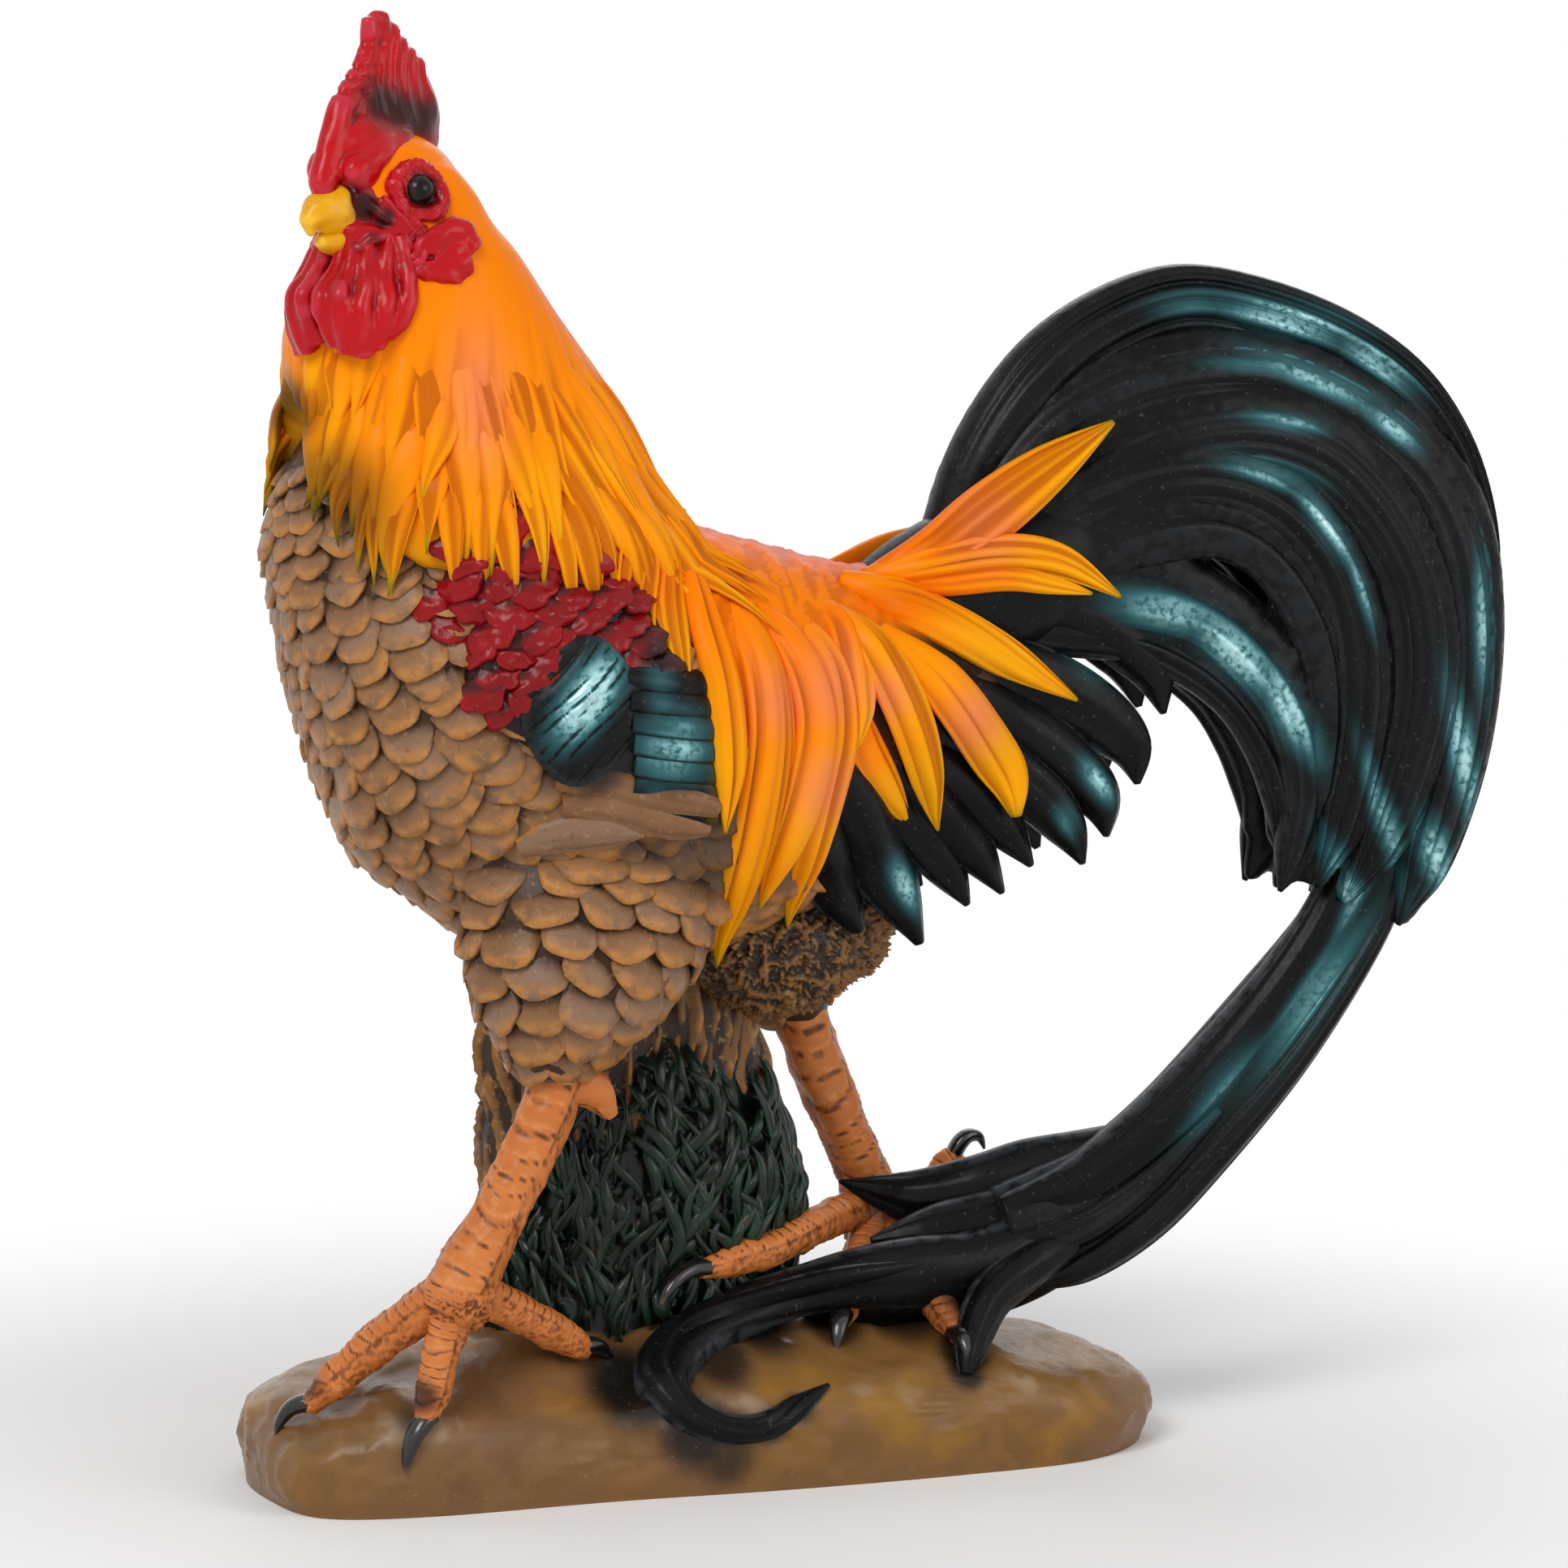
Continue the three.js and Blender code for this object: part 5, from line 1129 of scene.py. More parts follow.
def wine_seats(form, sign):
    """Seats of the wine-red scales in staggered rows, on the outer one of the cushion and the flank."""
    random = np.random.default_rng(31)
    seats = []
    for row in range(14):
        for column in range(8):
            x = -92 + 10.0 * column + 5.0 * (row % 2) + random.uniform(-1.4, 1.4)
            z = 282 - 5.6 * row - 0.10 * (x + 92) + random.uniform(-0.9, 0.9)
            if not inside(x, z, WINE_REACH):
                continue
            hits = [hit for hit in (from_side(one, sign, x, z) for one in (form, flank)) if hit]
            if not hits:
                continue
            place, normal = max(hits, key=lambda hit: abs(hit[0][1]))
            fall = math.radians(-66 - 14 * (1 - float(smooth_step(208, 246, z))) + random.uniform(-20, 20))
            tip = flattened(np.array([math.cos(fall), 0, math.sin(fall)]), normal)
            seats.append((place, normal, tip, random.uniform(11.5, 15.5)))
    return seats


def lay_shoulder(side, sign):
    """One wing's cushion and its scales; returns the cushion's search tree."""
    cushion = fused("wing_cushion", [wing_cushion(sign)], 1.4, 4)
    form = tree_of(cushion)
    # The cushion is painted nearly black all over, a painted shade in the gaps between the wine-red scales.
    add_piece("wing_cushion_" + side, cushion, WINE_PAINT, slot="wine", hollow=1)
    places, rims, hollows, _ = scale_places(wing_scale, wine_seats(form, sign), 17, 0.11, 0.20, 2.2, 0.72)
    places = places + 0.45 * np.stack([bumps(places, 5.0, 301 + k) for k in range(3)], axis=-1)
    press("wing_scales_" + side, wing_scale[0], places, WINE_PAINT, replaces=("wing_" + side,), slot="wine",
          rim=rims, hollow=hollows * 0.8, smoke=sprayed(places, SHOULDER_SMOKE))
    return form


# %% The round pads: domes with slanting scratches
PAD_AT = (-50, 214)            # in side view
PAD_HALF = (15.5, 19.0)        # half sizes along the flank and upwards
PAD_LEAN = np.array([0.25, 0, 1.0])
pad_blank, disc = scale_blank(48)
radius = np.hypot(disc[:, 0], disc[:, 1])
uneven = 1 + 0.05 * np.sin(4 * np.arctan2(disc[:, 1], disc[:, 0]) + 1.0) * radius
across, up = disc[:, 0] * PAD_HALF[0] * uneven, disc[:, 1] * PAD_HALF[1] * uneven
slant = 0.5 * up - 0.86 * across
along = 0.86 * up + 0.5 * across
strokes = smooth_step(0.45, 0.95, np.cos(2.1 * slant + 1.6 * np.sin(0.16 * along + 0.1 * slant)))
broken = smooth_step(-0.75, 0.1, np.sin(0.21 * along + 2.1 * np.floor(slant / 3.0)))
strokes = strokes * broken * (radius < 0.93)
swell = 3.4 * (1 - radius ** 2.4) + 0.8 - 0.6 * strokes + 5 * disc[:, 2] + 0.3 * np.sin(0.9 * slant)
cloud = np.exp(-((across - 0.3 * up + 1) / 6.5) ** 2 - ((up - 3.5) / 12.5) ** 2)
pad_paint = {"hollow": strokes, "rim": smooth_step(0.6, 1, radius) * 0.6,
             "sheen": np.minimum(1.25 * cloud, 1) * (1 - 0.85 * strokes)}


def lay_pad(side, sign, form):
    """One wing's round pad on its cushion."""
    place, normal = from_side(form, sign, *PAD_AT)
    rise = flattened(PAD_LEAN, normal)
    run = np.cross(rise, normal) * -sign
    pad = place + np.outer(across, run) + np.outer(up, rise) + np.outer(swell, normal)
    feather_piece("wing_pad_" + side, (pad_blank,), [(pad, pad_paint)], BLACK_PAINT, slot="teal")


# %% The square feathers behind the pad, from the top down, and the brown feathers below
square_blank = clay_bar(32, 70)
# Each brown feather: its line in x and z, its half widths and how high it lies.
BROWN_FEATHERS = [
    ([(-56, 196), (-44, 195), (-30, 191), (-12, 187)], (3, 5, 5.5, 5, 3), 2.2),
    ([(-54, 189), (-42, 188), (-28, 184), (-14, 181)], (3, 5, 5, 5, 2), 1.8),
    ([(-64, 177), (-55, 180), (-44, 181), (-32, 180)], (2.4, 4.8, 5.6, 4.2, 0.5), 2.4),
]


def lay_square_feathers(side, sign):
    """One wing's stack of square feathers."""
    bed = tree_of(fused("wing_bed", [torso_bar(), wing_cushion(sign)], 1.8, 3))
    laid = []
    for k in range(7):
        z = 221 - 5.7 * k
        drawn = [(-38 + 0.4 * k, z + 1.6), (-28, z + 0.6), (-20, z - 0.4), (-12, z - 1.4)]
        line, normals = drape(drawn, sign, 1.6, FLANK_DEPTH, bed)
        places, paint = lay_feather(square_blank, line, unit(normals + (0, 0, 0.25)),
                                    (3.2, 3.9, 4.1, 4.1, 3.9), 1.8, 2, 0.12, seed=500 + k)
        x, _, z = places.T
        paint["hollow"] = np.maximum(0.5 * paint["hollow"], paint["rim"])
        cloud = 0.95 * np.exp(-np.hypot((x + 25) / 11, (z - 203) / 10) ** 2)
        front = 0.4 * np.exp(-((x + 29) / 5) ** 2)
        paint["sheen"] = np.maximum(cloud, front) * (1 - 0.8 * paint["hollow"])
        paint["olive"] = 0.6 * smooth_step(-18, -13, x)
        laid.append((places, paint))
    feather_piece("wing_square_feathers_" + side, square_blank, laid, BLACK_PAINT,
                  replaces=("wing_flights_" + side,), slot="teal")


def lay_brown_feathers(side, sign):
    """The brown feathers that close one wing below."""
    laid = []
    for k, (drawn, widths, lift) in enumerate(BROWN_FEATHERS):
        line, normals = drape(drawn, sign, lift, FLANK_DEPTH)
        places, paint = lay_feather(square_blank, line, normals, widths, 2.4, 5, 0.14, seed=520 + k)
        paint["hollow"] = paint["hollow"] * 0.45
        laid.append((places, paint))
    feather_piece("wing_brown_feathers_" + side, square_blank, laid, BREAST_PAINT, slot="breast",
                  bursts=[(-46, sign * 58, 199, 12, 0.8), (-24, sign * 54, 197, 11, 0.6)])


# %% Both wings, from the shoulder back
for side, sign in SIDES:
    cushion_form = lay_shoulder(side, sign)
    lay_pad(side, sign, cushion_form)
    lay_square_feathers(side, sign)
    lay_brown_feathers(side, sign)

# %% [markdown]
# ## The rock, the stump and the grass
#
# The rock under the bird is modelled smooth, with soft lumps; where the lumps bulge on its rounded shoulder
# it is painted pale, a painted highlight. The stump behind the legs carries the weight of the belly and is
# scratched like bark. In front of it grows a thicket of wavy locks of grass, almost black green and
# glossy. The rough belly feathers hang over it.

# %% The rock
BASE_LENGTH, BASE_DEPTH, ROCK_HEIGHT = 258.0, 98.0, 43.0
# The outline seen from above, as shares of the half length and half depth, and the rings from below to
# the crest, as shares of the outline and of the height.
ROCK_OUTLINE = [(-1.0, -0.35), (-0.93, -0.85), (-0.7, -1.0), (-0.3, -0.97), (0.1, -1.0), (0.5, -0.96),
                (0.8, -0.84), (0.97, -0.45), (1.0, 0.0), (0.92, 0.55), (0.68, 0.88), (0.3, 1.0), (-0.2, 0.95),
                (-0.6, 1.0), (-0.88, 0.78), (-1.0, 0.25)]
ROCK_RINGS = [(0.93, 0.13), (0.935, 0.0), (0.94, 0.0), (0.97, 0.0), (0.975, 0.03), (0.99, 0.13), (1.0, 0.28),
              (0.985, 0.42), (0.94, 0.53), (0.86, 0.62), (0.72, 0.71), (0.55, 0.83), (0.35, 0.94),
              (0.15, 1.0), (0.02, 1.01)]
ROCK_CREST = np.array([-18.0, 6.0])
# The pale rim coat is a painted highlight.
ROCK_PAINT = painted("semigloss_brown_rock", "#7D5A38", [
    (30, 0.42, 0.62, 0.6, "#86602A"), (17, 0.55, 0.68, 0.6, "#9E7022"), (22, 0.36, 0.28, 0.5, "#6C4E3A"),
    ("hollow", 0.3, 1.0, 0.22, "#4A3422"), (("rim", 4), 0.2, 1.0, 0.5, "#B09A80"),
    ("smoke", 0.0, 1.0, 0.97, "#0E0E0F"), (0.6, 0.66, 0.74, 0.3, "#A8957A"),
], rough=(0.24, 0.44), gloss=0.12, grain=1.0, depth=0.12, shine=0.18)

rock_mesh, share, turn = clay_bar(220, 150)
closed = ROCK_OUTLINE[-1:] + ROCK_OUTLINE + ROCK_OUTLINE[:3]
at = ((turn + math.pi) / (2 * math.pi)) % 1.0 * len(ROCK_OUTLINE)
edge = row_at(closed, at + 1) * (BASE_LENGTH / 2, BASE_DEPTH / 2)
rings = at_share(ROCK_RINGS, share)
rock_places = np.column_stack([ROCK_CREST + rings[:, :1] * (edge - ROCK_CREST), rings[:, 1] * ROCK_HEIGHT])
outward = np.column_stack([unit(edge - ROCK_CREST) * (1 - 0.6 * smooth_step(0.5, 0.8, share))[:, None],
                           smooth_step(0.45, 0.75, share)])
lumps = 1.3 * bumps(rock_places, 46, 41) + 0.5 * bumps(rock_places, 17, 42) + 0.12 * bumps(rock_places, 6, 43)
facets = 0.5 * bumps(rock_places, 22, 44, ridged=True) * (1 - smooth_step(0.5, 0.66, share))
above_floor = smooth_step(0.25, 0.42, share)
rock_places = rock_places + outward * ((lumps + facets - 0.6) * above_floor)[:, None]
move_to(rock_mesh, rock_places)
rock_form = tree_of(rock_mesh)
shoulder = np.exp(-((share - 0.58) / 0.07) ** 2)


def on_rock(x, y, above):
    """A place so far above the rock at a place on the ground."""
    hit = land(rock_form, (x, y, 120), (0, 0, -1))
    return np.array([x, y, (30.0 if hit is None else hit[0][2]) + above])


ROCK_BURSTS = [
    (-92, -48, 33, 10, 1.0), (-120, -22, 31, 8, 0.8), (-94, -51, 28, 9, 0.9), (-37, -22, 36, 6, 0.7),
    (-20, -34, 34, 13, 1.0), (-24, -41, 27, 12, 1.0), (-17, -47, 21, 10, 0.95), (-6, -50, 18, 9, 0.9),
    (5, -50, 18, 8, 0.8), (13, -47, 22, 7, 0.8), (-8, -22, 40, 15, 0.95), (12, -18, 42, 17, 0.9),
    (34, -16, 42, 15, 0.85), (56, -16, 40, 15, 0.8), (66, -32, 32, 11, 0.95), (64, -38, 27, 8, 0.95),
    (40, -30, 38, 8, 0.5), (-8, -52, 10, 13, 0.7), (78, -6, 38, 16, 0.8), (30, 4, 42, 14, 0.6),
    (-30, -38, 30, 19, 1.0), (-16, -51, 18, 17, 0.9), (-4, -30, 34, 14, 0.8),
]
# Pale on the bulges of the shoulder is a painted highlight; the rock is also a little darker in the dips
# between lumps and facets.
add_piece("rock_surface", rock_mesh, ROCK_PAINT, replaces=("base_rock",), slot="rock",
          hollow=smooth_step(0.1, 0.8, -facets - lumps * 0.4), rim=shoulder * smooth_step(-0.2, 0.9, lumps),
          smoke=sprayed(rock_places, ROCK_BURSTS))

# %% The stump
BARK_PAINT = painted("satin_bark_brown", "#7B5632", [
    (8, 0.4, 0.62, 0.7, "#8F6227"), ("rim", 0.3, 1.0, 0.85, "#B0793C"),
    ("hollow", 0.15, 0.9, 0.95, "#26180F"), (1.2, 0.60, 0.7, 0.4, "#C49A63"),
    ("smoke", 0.0, 1.0, 0.9, "#1B1613"),
], rough=(0.36, 0.55), gloss=0.15, grain=1.3, depth=0.5)
STUMP_ROWS = [(17, -17, 18, 46, 27), (34, -17, 18, 45, 27), (52, -16, 18, 41, 26), (87, -17, 18, 42, 26),
              (122, -18, 18, 43, 26), (157, -17, 18, 41, 25)]
stump_mesh = fused("stump", [level_bar(STUMP_ROWS, 110)], 1.3, 2)
places = places_of(stump_mesh)
furrows = bumps(places, 7, 51, ridged=True, stretch=(1, 1, 0.16))
knots = bumps(places, 26, 52)
outward = unit((places - (-17, 18, 0)) * (1, 1, 0))
places = places + outward * (1.3 * furrows + 1.6 * knots - 1.6)[:, None]
move_to(stump_mesh, places)
add_piece("bark", stump_mesh, BARK_PAINT, replaces=("stump",), slot="bark",
          rim=smooth_step(0.1, 1.0, furrows), hollow=smooth_step(0.2, 1.0, -furrows),
          smoke=sprayed(places, [(-12, -8, 140, 22, 0.8)]))

# %% The rough belly feathers
fluff_eggs = [egg((20, 2, 143), (29, 25, 22), 6), egg((40, 4, 143), (16, 18, 14)),
              egg((48, 2, 152), (12, 15, 12))]
fluff_mesh = fused("fluff", fluff_eggs, 0.9, 2)
places = places_of(fluff_mesh)
pores = bumps(places, 6, 61, ridged=True) * 0.7 + bumps(places, 3.2, 62, ridged=True) * 0.5
places = places + unit(places - (24, 2, 146)) * (1.5 * pores - 0.8)[:, None]
move_to(fluff_mesh, places)
add_piece("belly_down", fluff_mesh, BARK_PAINT, replaces=("belly_fluff",), slot="fluff",
          rim=smooth_step(0.35, 1.1, pores), hollow=smooth_step(0.0, 0.8, -pores),
          smoke=sprayed(places, [(30, -20, 160, 16, 0.8), (-2, -20, 128, 14, 0.7)]))

# %% The grass
GRASS_PAINT = painted("gloss_black_green", "#16231A", [
    (6, 0.45, 0.65, 0.7, "#213A2B"), (("rim", 2.0), 0.3, 1.0, 0.7, "#3C5A49"),
    ("hollow", 0.2, 1.0, 0.85, "#0B100C"), (3, 0.62, 0.72, 0.45, "#4A2C1A"),
], rough=(0.18, 0.34), gloss=0.3, grain=1.4, depth=0.3, shine=0.12)
mound = level_bar([(34, -19, 12, 45, 28), (46, -17, 11, 43, 27), (60, -14, 10, 43, 25), (76, -12, 9, 41, 24),
                   (96, -12, 10, 35, 22), (112, -10, 12, 26, 18), (122, -10, 14, 12, 8)], 60)
mound_mesh = fused("mound", [mound], 1.6, 3)
mound_form = tree_of(mound_mesh)
places = places_of(mound_mesh)
furrows = bumps(places, 8, 71, ridged=True, stretch=(1, 1, 0.35))
outward = unit((places - (-14, 18, 0)) * (1, 1, 0))
move_to(mound_mesh, places + outward * (1.5 * furrows - 1.5)[:, None])
add_piece("grass_bed", mound_mesh, GRASS_PAINT, replaces=("grass_tuft_1",), slot="grass",
          hollow=0.3 + 0.7 * smooth_step(0.0, 1.0, -furrows))
BLADES = 460
BLADE_SHAPE = np.array([0.5, 0.9, 1, 0.9, 0.6, 0.08])
blade_blank = clay_bar(10, 18)
random = np.random.default_rng(72)
blades = []
for k in range(BLADES):
    turn = random.uniform(-1.75, 1.75)
    height = random.uniform(34, 104) - 8 * abs(turn)
    start = land_inward([mound_form], (-14, 14, height), (math.sin(turn) * 1.6, -math.cos(turn), 0))
    if start is None:
        continue
    lean = random.uniform(-0.8, 0.8) + 0.25 * math.sin(turn)
    swing, beat, phase = random.uniform(-1.1, 1.1), random.uniform(3.0, 5.5), random.uniform(0, 6)
    line, normals = walk(mound_form, start[0], lambda p: (lean + swing * math.sin(p[2] / beat + phase), 0, 1),
                         random.uniform(9, 22), 9)
    share = np.linspace(0, 1, len(line))
    line = line + normals * (0.2 + 1.8 * np.sin(share * math.pi) + random.uniform(0, 2.4) * share)[:, None]
    widths = BLADE_SHAPE * random.uniform(0.8, 2.0)
    blades.append(lay_feather(blade_blank, line, normals, widths, 1.7, 1, 0.5, seed=k))
feather_piece("grass_locks", blade_blank, blades, GRASS_PAINT, replaces=("grass_tuft_2", "grass_tuft_3"),
              slot="grass")

# %% [markdown]
# ## The coverts, the core of the tail and the long sickle
#
# Short black lobes hang below the saddle's fan, each with a bent pointed tip. The longest sickle feather
# sweeps down from the tail to the right foot and holds the casting together; at its lower end it spreads
# into strands that lie on the rock, and one of them curls round in front.

# %% The coverts, drawn from root to tip
# Each lobe: its line in x and z, its half widths, its thickness, and its least distance from the middle.
COVERTS = [
    ([(64, 240), (90, 238), (112, 231), (127, 218), (132, 203)], (8, 10, 10, 8, 1), 5, 12),
    ([(60, 228), (88, 216), (108, 206), (120, 195), (123, 184)], (8, 10, 9, 7, 1), 5, 15),
    ([(58, 216), (80, 206), (98, 193), (110, 181), (113, 170)], (8, 9, 9, 7, 1), 5, 18),
    ([(52, 208), (72, 198), (90, 184), (100, 173), (105, 163)], (8, 8, 8, 6, 1), 5, 20),
    ([(48, 200), (66, 190), (80, 176), (90, 163)], (7, 8, 7, 1), 4.5, 20),
    ([(44, 196), (58, 184), (71, 170), (81, 156)], (7, 8, 7, 1), 4.5, 21),
    ([(40, 192), (52, 178), (64, 164), (71, 153)], (7, 7, 6, 1), 4, 21),
    ([(20, 200), (34, 182), (47, 162), (57, 143)], (6, 9, 9, 1.5), 5, 21),
    ([(16, 196), (22, 178), (32, 160), (40, 147)], (6, 8, 8, 2), 4.5, 20),
]
COVERT_CLOUDS = [(50, 160, 9, 4, -60, 0.9), (108, 186, 8, 3.5, -50, 0.85), (98, 176, 6, 3, -60, 0.7),
                 (106, 216, 9, 5, -40, 0.25)]
LOW_LOBES = 6     # from this one on, a lobe lies lifted on the far thigh, which reaches further back
LEFT_ONLY = 8     # this lobe would lie inside the far thigh
covert_blank = clay_bar(28, 30)
for side, sign in SIDES:
    laid = []
    for k, (drawn, widths, thick, least) in enumerate(COVERTS):
        far = sign == 1
        if far and k == LEFT_ONLY:
            continue
        lift = 0.5 + 0.5 * (k % 2) + 2.5 * (far and k >= LOW_LOBES)
        line, normals = drape(drawn, sign, lift, least)
        share = np.linspace(0, 1, len(line))
        line[:, 1] -= sign * (3.0 * share ** 2 + 3.5 * (1 - smooth_step(0.1, 0.5, share)))
        places, paint = lay_feather(covert_blank, line, normals, widths, thick, 3, 0.28, seed=300 + k,
                                    sag=0.5)
        paint["sheen"] = teal_clouds(places, COVERT_CLOUDS, paint["hollow"])
        laid.append((places, paint))
    feather_piece("covert_lobes_" + side, covert_blank, laid, BLACK_PAINT, replaces=("tail_coverts_" + side,),
                  slot="black")

# %% The core of the tail
core_blank = clay_bar(40, 40)
core_line = [(34, 0, 222), (58, 0, 232), (84, 0, 240), (108, 0, 246), (126, 0, 240)]
core_places = rings_of(core_blank, core_line, np.outer((16, 20, 20, 17, 6), (0, 1, 0)),
                       np.outer((14, 22, 25, 20, 6), (0, 0, 1)))
core_mesh = fused("tail_core", [(core_blank[0], core_places)], 1.6, 4)
add_piece("tail_heart", core_mesh, BLACK_PAINT, replaces=("tail_core",), slot="black", rim=0.2, hollow=0.2,
          sheen=teal_clouds(places_of(core_mesh), COVERT_CLOUDS, 0))

# %% The long sickle and the strands on the rock
# Each strand: its line in x, y and z, its half widths, its thickness, its grooves and how far its face
# tips up towards its tip.
LONG_FEATHERS = {
    "long_sickle": [
        ([(205, 0, 214), (207, 0, 186), (201, 0, 160), (190, 0, 138), (169, -1, 111), (142, -4, 84),
          (119, -7, 68), (101, -9, 60), (85, -10, 57)], (7, 9, 10, 12, 15, 16, 16, 17, 15), 8.5, 7, 0.1),
        ([(196, -4, 200), (195, -5, 176), (186, -6, 150), (172, -6, 128), (150, -7, 104), (126, -10, 84),
          (104, -12, 71), (84, -12, 66)], (2, 4, 6, 7, 8, 8, 7, 4), 7, 5, 0.1),
        ([(212, -3, 170), (204, -4, 148), (192, -5, 128), (172, -6, 102), (148, -8, 78), (128, -11, 61),
          (108, -13, 50), (92, -14, 45)], (2, 4, 5, 6, 7, 7, 6, 2), 7, 5, 0.1),
        ([(150, -9, 90), (126, -12, 71), (106, -15, 60), (86, -16, 55), (62, -16, 53)],
         (2, 5, 6, 5, 1), 5, 3, 0.1),
    ],
    "strand_curled": [
        ([(98, -12, 56), (75, -15, 51), (58, -16, 50.5), (41, -16, 50), (22, -17, 47.5), (5, -18, 43.5),
          (-11, -23, 38.5), (-20, -31, 33), (-22, -40, 27.5), (-16, -46.5, 21.5), (-6, -49, 18),
          (4, -49, 18.5), (13, -46, 22.5), (23, -42, 27)],
         (10, 10, 10, 8.5, 7, 7.5, 8.5, 8.5, 7, 4.8, 4, 4, 3.4, 0.6), 6, 6, 0.75),
        ([(60, -20, 54), (36, -21, 52), (14, -20.5, 48), (-6, -23, 43), (-18, -29, 37), (-26, -38, 29),
          (-22, -46, 21)],
         (1, 3, 3.4, 3.6, 3.6, 3, 0.6), 4, 2, 0.75),
        ([(118, -11, 57), (98, -11, 49), (76, -11, 44), (52, -9, 43), (28, -9, 43)],
         (1, 7, 9, 9, 4), 6, 4, 0.1)],
    "strand_short": [
        ([(104, -16, 56), (96, -17, 54), (85, -20, 49), (76, -25, 44), (70, -30, 37), (66, -35, 31),
          (64, -38, 26)],
         (3, 6, 7, 6.4, 5.6, 4.4, 2.2), 5.5, 4, 0.3)],
    "strand_ankle": [
        ([(140, -4, 86), (114, 0, 77), (98, 1, 72), (82, 1, 68), (68, 8, 66), (57, 14, 68), (46, 18, 71)],
         (3, 8, 11, 11, 9, 5, 0.4), 6, 6, 0.1),
        ([(124, -8, 76), (104, -8, 68), (84, -8, 63), (66, -6, 60), (48, -4, 58)],
         (3, 7, 8, 7, 1), 5, 4, 0.1)],
}
LONG_CLOUDS = [(178, 122, 26, 5, 52, 1.0), (150, 98, 18, 5, 46, 0.7), (192, 150, 18, 4, 66, 0.8),
               (206, 168, 14, 3, 80, 0.5)]
long_blank = clay_bar(44, 72)
for node, drawn in LONG_FEATHERS.items():
    laid = []
    for k, (line, widths, thick, grooves, tip_up) in enumerate(drawn):
        z = np.array(line, float)[:, 2]
        flat = tip_up * smooth_step(52, 38, z) * smooth_step(17, 27, z)
        normals = unit(np.column_stack([0 * flat, flat - 1, flat]))
        places, paint = lay_feather(long_blank, line, normals, widths, thick, grooves, 0.3, seed=400 + k,
                                    sag=0.35)
        paint["sheen"] = teal_clouds(places, LONG_CLOUDS, paint["hollow"]) * (node == "long_sickle")
        laid.append((places, paint))
    name = node.replace("long_sickle", "sweeping_feather").replace("strand", "rock_strand")
    feather_piece(name, long_blank, laid, BLACK_PAINT, replaces=(node,), slot="black")

# %% [markdown]
# ## The legs and feet
#
# The legs are orange and covered with horny plates: one row of broad plates down the front, with a dark
# wash in every joint, and small grains behind. The raised part of each plate is painted lighter, a painted
# highlight, and so are the grains of the heels. The toes carry narrower plates and end in black claws.

# %% Horny plates
# Its light rim coat is a painted highlight on the raised plates and grains.
LEG_PAINT = painted("satin_orange_leg", "#D17C3E", [
    (6, 0.42, 0.62, 0.6, "#BE6A34"), (2.2, 0.58, 0.7, 0.5, "#DD935A"),
    (("rim", 1.2), 0.3, 1.0, 0.7, "#EBA46C"), (("hollow", 2.4), 0.08, 0.7, 0.9, "#5E3018"),
    ("smoke", 0.0, 1.0, 0.95, "#191513"),
], rough=(0.3, 0.46), gloss=0.1, grain=1.0, depth=0.25, shine=0.15)
GRAIN_SIZE = 3.4  # millimetres from grain to grain behind the plates


def plated(blank, line, sizes, front, plate, seed):
    """A leg or toe: a round bar along a line whose front carries plates of a given length."""
    _, share, turn = blank
    line = np.asarray(line, float)
    tangent = unit(at_share(np.gradient(line, axis=0), share))
    facing = unit(front - tangent * (tangent @ np.array(front))[:, None])
    side = np.cross(tangent, facing)
    radius = at_share(sizes, share)
    count = np.linalg.norm(np.diff(line, axis=0), axis=1).sum() / plate
    bow = 0.5 * (turn / 1.1) ** 2 - 0.22 * np.sin(5 * share * count / 3.1 + seed)
    part = (share * count + bow + 0.12 * np.sin(2 * turn + share * 19)) % 1.0
    covered = 1 - smooth_step(0.8, 1.15, np.abs(turn))
    joint = np.clip(smooth_step(0.84, 0.97, part) + (1 - smooth_step(0.0, 0.07, part)), 0, 1)
    raised = 0.5 * np.sqrt(np.clip(1 - part, 0, 1)) * (1 - 0.9 * joint)
    border = 0.5 * np.exp(-((np.abs(turn) - 1.05) / 0.10) ** 2)
    spine = at_share(line, share)
    places = spine + facing * (np.cos(turn) * radius)[:, None] + side * (np.sin(turn) * radius)[:, None]
    grains = bumps(places, GRAIN_SIZE, seed, ridged=True)
    lift = covered * raised + (1 - covered) * (0.2 * grains) - 0.35 * border
    lift = lift + 0.4 * bumps(places, 12, seed + 1)
    places = places + unit(places - spine) * (lift * np.minimum(1, radius / 5))[:, None]
    between = 0.5 * smooth_step(0.3, 1.0, -grains)
    hollow = np.clip(covered * joint + (1 - covered) * between + border, 0, 1)
    # The raised part of each plate is painted lighter: a painted highlight.
    rim = covered * smooth_step(0.25, 0.75, part) * (1 - smooth_step(0.78, 0.86, part))
    return places, {"hollow": hollow * 0.9, "rim": rim * 0.7, "flow": share}


# A claw starts inside the toe's tip and bends down on the rock: how far ahead and how high it runs.
CLAW_CURVE = [(-3, 0.4), (1.5, 1.4), (5.2, 0.6), (8, -2.4), (9.2, -5.6)]
# Each leg: its line from the thigh to the foot, and for each toe where it ends in x and y and its arch.
LEGS = {
    "left": ([(-36, -35, 146), (-43, -35, 133), (-56, -38, 102), (-68, -40, 80), (-80, -42, 60),
              (-82, -42, 54)],
             {"middle": [(-117, -23), 3], "outer": [(-91, -47), 1], "inner": [(-103, -6), 3],
              "hind": [(-40, -24), 1]}),
    "right": ([(26, 30, 146), (33, 30, 132), (46, 31, 97), (56, 32, 75), (62, 31, 58), (63, 31, 52)],
              {"middle": [(-7, -17), 4], "outer": [(65, -29), 3], "inner": [(35, -18), 4],
               "hind": [(81, 25), 0]}),
}
